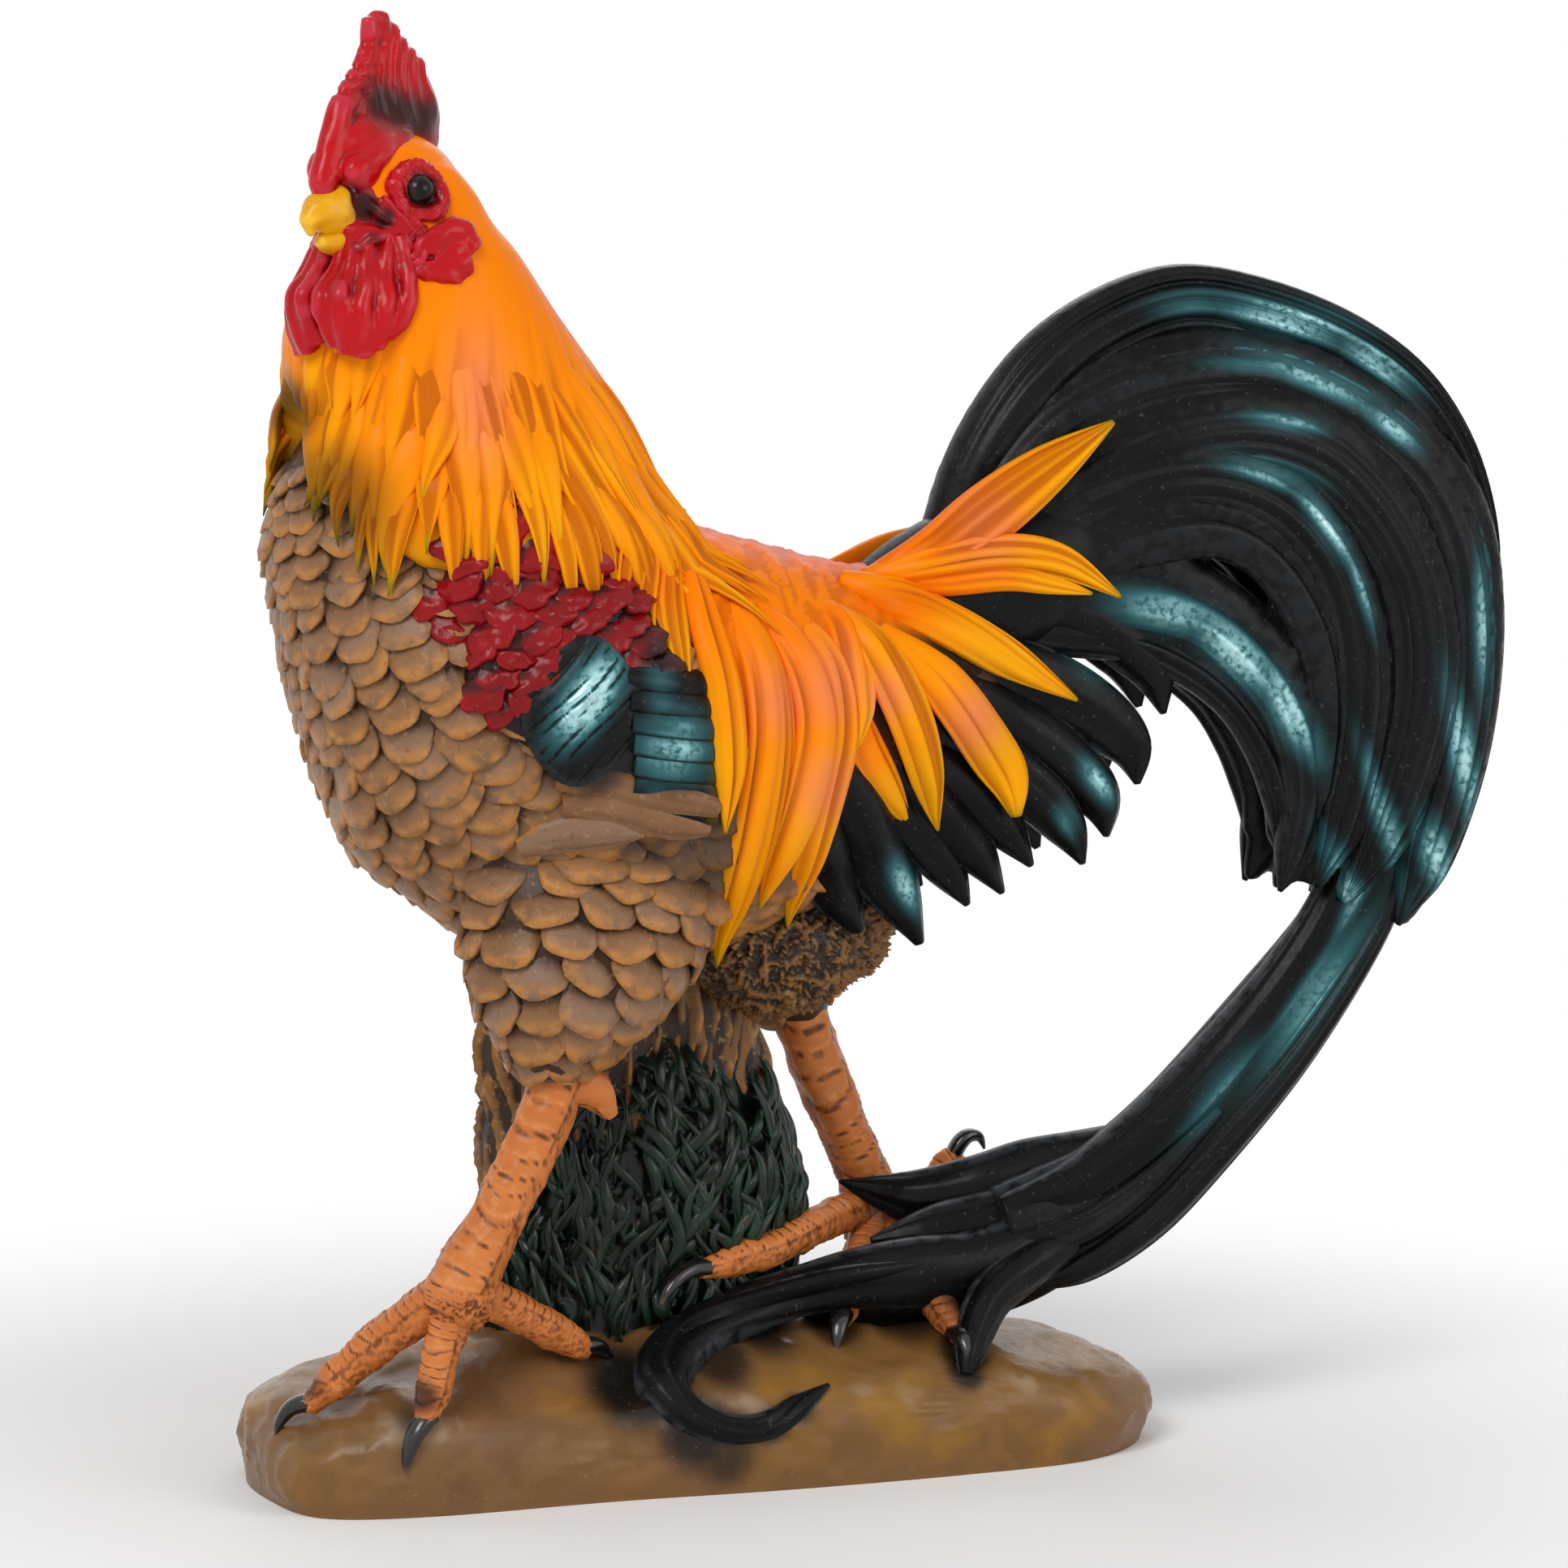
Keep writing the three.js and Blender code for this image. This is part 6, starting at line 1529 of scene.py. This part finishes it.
# The right foot's middle toe lies raised on the strand, and its hind toe points up and ends in a hook.
RAISED_TOES = {
    "middle": ([(62, 30, 60), (53, 22, 62), (42, 11, 62), (30, -1, 61), (19, -9, 59), (6, -14, 57),
                (-6, -18, 55.5)],
               [(-3, -17, 56), (-8, -19, 56.5), (-13, -21.5, 55), (-17, -23.5, 51.5), (-19, -24.5, 48)]),
    "hind": ([(62, 31, 60), (68, 29, 62), (73, 27, 63.5), (78, 26, 67), (81.5, 25.5, 72), (83.5, 25, 76)],
             [(82, 25.5, 73), (84, 25, 78), (87, 25, 80.6), (90.5, 25, 80), (92, 25, 76.6)]),
}
shank_blank = clay_bar(44, 110)
claw_blank = clay_bar(20, 18)
CLAW_PAINT = painted("gloss_black_claw", "#121110", [
    (2.5, 0.5, 0.7, 0.5, "#2A2624"), ("flow", 0.82, 1.0, 0.75, "#6A4A2E"), (0.9, 0.64, 0.72, 0.4, "#55504C"),
], rough=(0.12, 0.26), gloss=0.8, grain=1.2, depth=0.12)
LEG_SMOKE = [(62, 30, 50, 13, 0.75), (60, 10, 46, 14, 0.7), (70, -14, 42, 16, 0.8), (30, -10, 46, 14, 0.6),
             (-92, -47, 33, 7, 0.8), (-118, -22, 33, 7, 0.8), (4, -12, 46, 12, 0.8)]
LEG_FRONT = {"left": (-0.55, -0.8, 0.1), "right": (-0.2, -1.0, 0.1)}
SPUR = [(-48, -38, 113), (-41, -37, 110), (-36, -35, 103)]
TOE_HALF = 3.6  # how high a toe's middle lies above the rock


def toe_on_rock(ankle, end, arch):
    """A toe's line from the ankle to its end, arched a little and nowhere inside the rock."""
    line = [ankle - (0, 0, 2)]
    for part in (0.2, 0.4, 0.6, 0.8, 1.0):
        x, y, z = ankle + (end - ankle) * part
        floor = on_rock(x, y, TOE_HALF)[2]
        line.append((x, y, max(z + 0.6 * arch * math.sin(math.pi * part), floor)))
    return line


for side, (line, toes) in LEGS.items():
    ankle = np.array(line[-2], float)
    leg = [plated(shank_blank, line, (9.0, 8.4, 7.6, 7.5, 9.0, 8.0), LEG_FRONT[side], 5.0, 80)]
    if side == "left":
        leg.append(plated(shank_blank, SPUR, (6, 5, 2.0), (0, -1, 0), 30, 81))
    feather_piece("leg_skin_" + side, shank_blank, leg, LEG_PAINT, bursts=LEG_SMOKE,
                  replaces=("leg_" + side,), slot="leg")
    feet = []
    for k, (toe, (tip, arch)) in enumerate(toes.items()):
        end = on_rock(*tip, TOE_HALF)
        toe_line = toe_on_rock(ankle, end, arch)
        ahead = unit((end - toe_line[-2]) * (1, 1, 0.3))
        claw_line = [end + ahead * run + (0, 0, rise) for run, rise in CLAW_CURVE]
        if side == "right" and toe in RAISED_TOES:
            toe_line, claw_line = RAISED_TOES[toe]
        feet.append(plated(shank_blank, toe_line, (7.2, 5.8, 5.2, 5.0, 4.9, 4.6, 2.6), (0, -0.25, 1), 3.0,
                           90 + k))
        claw = lay_feather(claw_blank, claw_line, np.tile((0.0, 0.0, 1.0), (5, 1)), (3.0, 3.1, 2.7, 1.8, 0.5),
                           3.0, 1, 0.05, seed=k, sag=0)
        feather_piece(f"claw_horn_{side}_{toe}", claw_blank, [claw], CLAW_PAINT,
                      replaces=(f"claw_{side}_{toe}",), slot="claw")
    feather_piece("foot_skin_" + side, shank_blank, feet, LEG_PAINT, bursts=LEG_SMOKE,
                  replaces=("foot_" + side,), slot="leg")
    heel = fused("heel", [egg(ankle - (0, 0, 3), (10, 10, 9))], 0.9, 1)
    places = places_of(heel)
    grains = bumps(places, GRAIN_SIZE, 95, ridged=True)
    places = places + unit(places - ankle) * (0.5 * grains + 0.5 * bumps(places, 9, 96) - 0.4)[:, None]
    move_to(heel, places)
    # The tops of the grains are painted lighter, a painted highlight.
    add_piece("heel_" + side, heel, LEG_PAINT, slot="leg", hollow=0.8 * smooth_step(0.2, 1.0, -grains),
              rim=0.5 * smooth_step(0.4, 1.0, grains), smoke=sprayed(places, LEG_SMOKE))

# %% [markdown]
# ## The head
#
# The head looks a little towards the front. Its own directions are forward along the beak, outward to the
# bird's left, and up. The yellow skull is part of the cape's skin; on it lie the bare red face with a lip
# round the mouth, the comb, the ear lobes, the eye rings and the wattles, which are soft folds of clay in
# crimson. The beak is short, blunt and hooked.

# %% Clay on the head
def head_parts(places):
    """Forward, outward and up of places on the head."""
    away = places - HEAD_CENTRE
    return away @ AHEAD, away @ OUTWARD, away[..., 2]


def cord_of_clay(line, radii, squash=1.0, sides=20, cuts=26):
    """A round bar of clay along a line on the head, squashed towards the head's outward direction."""
    mesh, share, turn = clay_bar(sides, cuts)
    line = on_head(line)
    tangent = unit(at_share(np.gradient(line, axis=0), share))
    thin = unit(OUTWARD - tangent * (tangent @ OUTWARD)[:, None])
    wide = np.cross(tangent, thin)
    radius = at_share(radii, share)[:, None]
    spine = at_share(line, share)
    places = spine + wide * radius * np.cos(turn)[:, None]
    return mesh, places + thin * radius * squash * np.sin(turn)[:, None]


# Its dark hollow coat is painted shade in the creases and its pink rim coat a painted highlight on the
# ridges, partly dry brush.
CRIMSON_PAINT = painted("gloss_crimson_flesh", "#B80812", [
    (12, 0.42, 0.62, 0.5, "#9E0614"), (("rim", 2.5), 0.2, 1.0, 0.6, "#C83A4C"),
    ("hollow", 0.1, 1.0, 0.75, "#5C040C"),
    (2.2, 0.60, 0.70, 0.2, "#C02A40"), ("smoke", 0.0, 1.0, 0.95, "#140A0B"),
], rough=(0.16, 0.28), gloss=0.14, grain=1.0, depth=0.10, shine=0.12)
# Its darker hollow coat is painted shade in the creases and its pale rim coat a painted highlight on the
# ridges.
BEAK_PAINT = painted("gloss_yellow_beak", "#E8A90F", [
    (6, 0.42, 0.62, 0.5, "#D28E0C"), ("rim", 0.2, 1.0, 0.6, "#F2C43C"), ("hollow", 0.3, 1.0, 0.5, "#B5780F"),
    ("smoke", 0.0, 1.0, 0.95, "#1A1410"), (0.8, 0.62, 0.72, 0.3, "#8A5A18"),
], rough=(0.16, 0.3), gloss=0.15, grain=1.0, depth=0.12, shine=0.12)
EYE_PAINT = painted("gloss_black_eye", "#050404", [
    ("rim", 0.1, 0.9, 0.9, "#241812"), (0.7, 0.62, 0.7, 0.3, "#2A2320"),
], rough=(0.05, 0.1), gloss=0.25, grain=0.6, depth=0.02, shine=0.1)


def creases(mesh):
    """How far each corner lies in a crease of the form (above 0) or on a ridge (below 0), about -1 to 1."""
    pairs = np.empty(2 * len(mesh.edges), int)
    mesh.edges.foreach_get("vertices", pairs)
    one, other = pairs.reshape(-1, 2).T
    places = places_of(mesh)
    count = np.bincount(one, minlength=len(places)) + np.bincount(other, minlength=len(places))

    def neighbours(values):
        total = np.zeros_like(values)
        np.add.at(total, one, values[other])
        np.add.at(total, other, values[one])
        return total / (count[:, None] if values.ndim == 2 else count)

    dip = ((neighbours(places) - places) * corners_of(mesh, "normal")).sum(1)
    for _ in range(5):
        dip = neighbours(dip)
    return np.clip(dip / max(float(np.percentile(np.abs(dip), 96)), 1e-6), -1.5, 1.5)


def shaped(name, mesh, material, relief, bursts=(), band=None, **options):
    """A fused form pushed out by a relief, painted dark in its creases and light on its ridges: painted shade
    and painted highlights, partly also a wash and a dry brush.

    The black comes from airbrush bursts, or from a band that tells it for each place.
    """
    places = places_of(mesh)
    places = places + corners_of(mesh, "normal") * relief(places)[:, None]
    move_to(mesh, places)
    mesh.update()
    dip = creases(mesh)
    add_piece(name, mesh, material, rim=smooth_step(0.1, 1.0, -dip), hollow=smooth_step(0.05, 1.0, dip),
              smoke=band(places) if band else sprayed(places, bursts), **options)


def head_spots(spots):
    """Airbrush bursts given by forward, outward and up on the head, with a reach and a strength."""
    return [tuple(on_head([spot])[0]) + (reach, strength) for spot, reach, strength in spots]


def beside(forms, sign, drawn, lift):
    """Places on the side of the head drawn by forward and up, lifted a little off the forms there."""
    found = []
    for forward, up in drawn:
        place, _ = land_inward(forms, on_head([(forward, 0, up)])[0], sign * OUTWARD)
        across = (place - HEAD_CENTRE) @ OUTWARD
        found.append((forward, across + sign * lift, up))
    return found


# %% The red face with the lip round the mouth
cape_form = tree_of(cape_mesh)
face_bars = [cord_of_clay([(6, 0, 0), (14, 0, 0), (21, 0, -1)], (13.6, 10.4, 8)),
             cord_of_clay([(2, 0, -9), (13, 0, -9), (22, 0, -10)], (14.8, 11.4, 6.6)),
             cord_of_clay([(6, 0, -10), (11, 0, -17), (17, 0, -24)], (13.5, 11, 8))]
face_form = tree_of(fused("face_form", face_bars, 0.8, 4))
# Each fold of the face: its line in forward and up, and its radii.
FACE_CORDS = [([(21, 2), (17, -1), (13, -4.5), (10.6, -8)], (1.0, 1.6, 1.8, 1.5)),
              ([(10.6, -8.4), (14, -8.6), (18, -10), (20.5, -13)], (1.5, 1.6, 1.5, 1.2)),
              ([(14.6, 1), (11, -3), (8.6, -7.5), (9.6, -12), (14, -17)], (1.1, 1.6, 1.9, 1.9, 1.8)),
              ([(10, -2), (6.2, -7), (6.0, -12), (9, -17)], (1.2, 1.9, 2.0, 2.0))]
for sign in (1, -1):
    for drawn, radii in FACE_CORDS:
        face_bars.append(cord_of_clay(beside([cape_form, face_form], sign, drawn, 0.3), radii))
face_mesh = fused("face", face_bars, 0.7, 3)


def face_relief(places):
    """Creases that gather at the corner of the mouth."""
    forward, _, up = head_parts(places)
    fan = np.arctan2(up + 8, forward - 8)
    return 0.25 * np.sin(15 * fan + 0.8 * bumps(places, 9, 104)) + 0.12 * bumps(places, 6, 102)


FACE_SMOKE = head_spots((
    ((19, 9, -1), 6.5, 0.95), ((14, 11, -4), 4.5, 0.85), ((22, 7, 2), 5, 0.9), ((17, 10, -10), 4, 0.6),
    ((21, 8, -12), 3.5, 0.5), ((19, -9, 0), 7, 0.95), ((13, -12, -5), 5, 0.85),
))
shaped("face_skin", face_mesh, CRIMSON_PAINT, face_relief, FACE_SMOKE, replaces=("head",), slot="gold")

# %% The comb
# Each level of the comb: its height on the head, its front and back ends, and its half thickness.
COMB_ROWS = [
    (2, 20, 4, 5.6), (6, 23, -6, 5.6), (10, 23, -15.5, 5.4), (14, 22, -18.6, 5.0), (18, 21, -20, 4.7),
    (24, 18.5, -20, 4.3), (30, 14, -17.5, 3.9), (34, 10.5, -15, 3.4), (37.5, 8.5, -12, 3.2), (41, 7, -7, 2.9),
    (45, 6.5, -3.2, 2.6), (48.2, 6.4, -0.4, 2.2), (49.6, 5, 1.5, 1.4),
]
# The rolled front edge: its line on the head, and its radii.
COMB_ROLL = [(24, 0, 2), (25.0, 0, 5), (22.6, 0, 11), (20.2, 0, 18), (18.2, 0, 24), (15.2, 0, 28),
             (11.2, 0, 33), (7.4, 0, 39), (6.6, 0, 43), (7.2, 0, 47.6)]
COMB_ROLL_RADII = (4.0, 4.4, 4.6, 4.3, 3.9, 3.6, 3.3, 3.0, 2.8, 2.3)
comb_blank = clay_bar(72, 90)
comb_up, comb_front, comb_back, comb_half = np.array(COMB_ROWS).T
comb_middle = on_head(np.column_stack([(comb_front + comb_back) / 2, 0 * comb_up, comb_up]))
comb_body = rings_of(comb_blank, comb_middle, np.outer((comb_front - comb_back) / 2, AHEAD),
                     np.outer(comb_half, OUTWARD))
comb_bars = [(comb_blank[0], comb_body), cord_of_clay(COMB_ROLL, COMB_ROLL_RADII, 0.85)]
for sign in (1, -1):
    comb_bars.append(head_egg((17, 6.4 * sign, 8.2), (6.4, 4.4, 5.4)))
    root = [(17, 6.2 * sign, 9), (11, 5.8 * sign, 12.5), (4, 4.8 * sign, 15), (-3, 3.0 * sign, 16.4)]
    comb_bars.append(cord_of_clay(root, (4.6, 4.4, 4.0, 3.4)))
comb_bars.append(head_egg((10, 0, 14), (14, 7.4, 9)))
comb_mesh = fused("comb", comb_bars, 0.7, 5)


def comb_relief(places):
    """Warts on the rolled front edge and long soft ridges that fan out from the root."""
    forward, _, up = head_parts(places)
    front = np.interp(up, comb_up, comb_front)
    roll = smooth_step(-6, -3, forward - front)
    fan = np.arctan2(forward + 6, up + 22)
    middle = smooth_step(17, 26, up)
    ridges = (1 - 2 * np.abs(np.sin(38 * fan + 2.2 * np.sin(up / 7 + fan * 5))) ** 0.7) * middle
    ridges = ridges * (0.25 + 0.75 * smooth_step(24, 36, up))
    notch = smooth_step(0.3, 1.0, np.sin(up / 0.8 + 2.6 * np.sin(up / 2.6))) * smooth_step(24, 28, up)
    warts = 0.25 * bumps(places, 9, 111) - 0.6 * notch * (1 - smooth_step(40, 43, up))
    return (1 - roll) * (0.55 * ridges + 0.35 * bumps(places, 11, 112)) + roll * warts


def comb_smoke(places):
    """A soft black band across the middle of the comb, behind its front edge."""
    forward, _, up = head_parts(places)
    line = 23.5 + 0.10 * forward + 1.2 * np.sin(forward / 5)
    band = np.exp(-((up - line) / 7.4) ** 2) * (1 - smooth_step(6, 20, forward))
    band = band * (1 - 0.35 * smooth_step(-10, -22, forward))
    brow = np.exp(-(((forward - 22) / 4) ** 2 + ((up - 2) / 4) ** 2))
    return np.clip(1.05 * band, 0, 1) * 0.94 + 0.7 * brow * (band < 0.1)


shaped("comb_flesh", comb_mesh, CRIMSON_PAINT, comb_relief, band=comb_smoke, replaces=("comb",),
       slot="crimson")

# %% The eyes and their rings
EYE_AT = (5.4, 2.8)  # forward and up on the head
EYE_HALF = (4.2, 4.2, 4.1)


def ring_relief(places):
    """Fine wrinkles over small lumps."""
    return 0.22 * bumps(places, 3.4, 121, ridged=True) + 0.12 * bumps(places, 6, 122)


def lay_eye(side, sign):
    """One side's wrinkled ring and the ball in it."""
    forward, up = EYE_AT
    around = np.linspace(0, 2 * math.pi, 25)
    ring = np.column_stack([forward + 6.5 * np.cos(around) + 0.3 * np.sin(3 * around),
                            up + 6.2 * np.sin(around) + 0.3 * np.cos(4 * around)])
    radii = 2.3 + 0.25 * np.sin(3 * around + 1) + 0.2 * np.sin(8 * around)
    outside = beside([cape_form], sign, [EYE_AT], 0)[0][1]
    socket = [(forward + 4.4, outside - 1.2 * sign, up), (forward, outside, up),
              (forward - 4.4, outside + 0.6 * sign, up)]
    ring_bars = [cord_of_clay(beside([cape_form], sign, ring, 0.5), radii, sides=18, cuts=90),
                 cord_of_clay(socket, (4.6, 5.4, 4.6), 0.3)]
    shaped("eye_ring_flesh_" + side, fused("ring", ring_bars, 0.55, 2), CRIMSON_PAINT, ring_relief,
           head_spots((((forward, outside + 2 * sign, up), 7.5, 1.0),)), replaces=("eye_ring_" + side,),
           slot="crimson")
    eye_middle = on_head([(forward, outside + 0.1 * sign, up + 0.3)])[0]
    ball_mesh, ball = egg(eye_middle, EYE_HALF)
    move_to(ball_mesh, ball)
    add_piece("eyeball_" + side, ball_mesh, EYE_PAINT, replaces=("eye_" + side,), slot="eye",
              rim=smooth_step(3.0, 3.9, np.linalg.norm(np.cross(ball - eye_middle, OUTWARD), axis=1)))


# %% The ear lobes and the wattles
# Each fold of an ear lobe: its line in forward and up, how high it lies and its radii.
LOBE_FOLDS = [
    ([(9.5, -15.5), (6, -11.5), (1, -8.8), (-3.6, -9), (-5.6, -12.5)], 0.9, (2.0, 3.6, 4.6, 4.2, 3.0)),
    ([(10, -17.5), (6, -18), (1, -18), (-3.6, -16)], 0.6, (1.8, 2.9, 3.5, 3.0)),
    ([(5, -15), (-2.6, -13.5)], 0.0, (3.4, 4)),
]
# Each fold of a wattle: its line in forward, outward and up, its radii and its squash.
WATTLE_FOLDS = [
    ([(20, 2.5, -9), (23.5, 2.5, -17), (29.5, 2.6, -24), (27.6, 3, -30), (24, 4, -36.5)],
     (1.4, 2.0, 2.8, 3.0, 3.0), 1.0),
    ([(19.5, 5, -8.5), (22.5, 6.4, -17), (27.4, 7.6, -24), (26.4, 7.6, -31), (23, 7.2, -38.5)],
     (1.4, 2.0, 2.8, 3.2, 3.4), 1.0),
    ([(16.5, 8.4, -8), (20, 10, -17), (23, 11.6, -25), (23.4, 11.4, -32), (21.6, 9.8, -39.4)],
     (1.5, 2.1, 2.8, 3.4, 3.4), 1.0),
    ([(12.5, 11.4, -8.4), (15.6, 12.8, -17), (17.6, 14.6, -25), (19, 14, -32), (19.6, 12, -37.5)],
     (1.6, 2.2, 2.8, 3.2, 3.0), 1.0),
    ([(10, 13.6, -8.5), (11, 15.8, -17), (11.6, 17, -24), (13.6, 16.4, -30), (17, 14.4, -34.5)],
     (1.8, 2.3, 2.8, 2.8, 2.4), 1.0),
    ([(12, 7, -13), (15, 8.5, -20), (18.5, 9, -29), (20, 8.6, -36)], (6, 8, 7.4, 4.6), 0.7),
]


def lobe_relief(places):
    """Folds that fan out from the lobe's front."""
    forward, _, up = head_parts(places)
    fan = np.arctan2(up + 16, 9 - forward)
    return 0.3 * np.sin(9 * fan + bumps(places, 8, 125)) + 0.12 * bumps(places, 6, 126)


def wattle_relief(places):
    """A few thumb marks."""
    return 0.25 * bumps(places, 9, 132)


def lay_lobe_and_wattle(side, sign):
    """One side's ear lobe and the wattle in front of it."""
    lobe_bars = [cord_of_clay(beside([cape_form], sign, drawn, lift), radii, 0.6)
                 for drawn, lift, radii in LOBE_FOLDS]
    shaped("ear_lobe_flesh_" + side, fused("lobe", lobe_bars, 0.6, 2), CRIMSON_PAINT, lobe_relief,
           replaces=("earlobe_" + side,), slot="crimson")
    wattle_bars = [cord_of_clay(np.array(line) * (1, sign, 1), radii, squash)
                   for line, radii, squash in WATTLE_FOLDS]
    shaped("wattle_flesh_" + side, fused("wattle", wattle_bars, 0.7, 3), CRIMSON_PAINT, wattle_relief,
           replaces=("wattle_" + side,), slot="crimson")


# %% Both sides of the head
# Outward on the head counts towards the bird's left, so the left side is 1 here.
for side, sign in (("left", 1), ("right", -1)):
    lay_eye(side, sign)
    lay_lobe_and_wattle(side, sign)

# %% The beak
UPPER_BEAK = [(15, 0, -2), (20, 0, -2.2), (24.5, 0, -2.6), (28, 0, -3.4), (30, 0, -4.8), (30.6, 0, -6.8),
              (30, 0, -8.6)]
LOWER_BEAK = [(15, 0, -9.2), (20, 0, -9.6), (24, 0, -10), (27.6, 0, -10)]
BEAK_SMOKE = head_spots((((18.5, 10, -1), 7.0, 0.9), ((18.5, -10, -1), 7.0, 0.9), ((20, 7, -12), 4.5, 0.5)))


def beak_relief(places):
    """Faint growth lines along the upper beak over soft lumps."""
    forward, _, up = head_parts(places)
    return 0.12 * np.sin(1.4 * up + 0.25 * forward) + 0.15 * bumps(places, 8, 141)


def chin_relief(places):
    """Soft lumps alone."""
    return 0.15 * bumps(places, 8, 142)


upper_bar = cord_of_clay(UPPER_BEAK, (8.2, 7.6, 6.4, 5.0, 3.4, 2.0, 0.8), 0.95)
lower_bar = cord_of_clay(LOWER_BEAK, (6.6, 5.0, 3.4, 1.2), 1.1)
shaped("beak_upper_horn", fused("beak", [upper_bar], 0.5, 2), BEAK_PAINT, beak_relief, BEAK_SMOKE,
       replaces=("beak_upper",), slot="beak")
shaped("beak_lower_horn", fused("beak", [lower_bar], 0.5, 2), BEAK_PAINT, chin_relief, BEAK_SMOKE,
       replaces=("beak_lower",), slot="beak")

# %% [markdown]
# ## The plate and the rods
#
# The plate that closes the rock below is bare resin, and the two rods in the legs are steel wire with fine
# drawing lines along it. Their CAD solids are plain on the real object too, so they stay and only get
# their materials.

# %% Bare resin and steel on the frame's own solids
PLATE_PAINT = painted("raw_resin_plate", "#4A3B2C", [
    (12, 0.4, 0.6, 0.6, "#5B4A38"), (2.5, 0.6, 0.7, 0.4, "#332920"),
], rough=(0.5, 0.7), gloss=0.0, grain=1.2, depth=0.3)
STEEL_PAINT = painted("bare_steel_rod", "#8E9092", [
    (3, 0.5, 0.65, 0.5, "#77797C"), (0.8, 0.6, 0.7, 0.5, "#A7A9AB"),
], rough=(0.3, 0.45), gloss=0.0, grain=0.8, depth=0.05, spread=(1, 1, 0.1))
BARE = {"base_plate": PLATE_PAINT, "leg_rod_left": STEEL_PAINT, "leg_rod_right": STEEL_PAINT}
for node, paint in BARE.items():
    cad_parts[node].data.materials.clear()
    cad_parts[node].data.materials.append(paint)
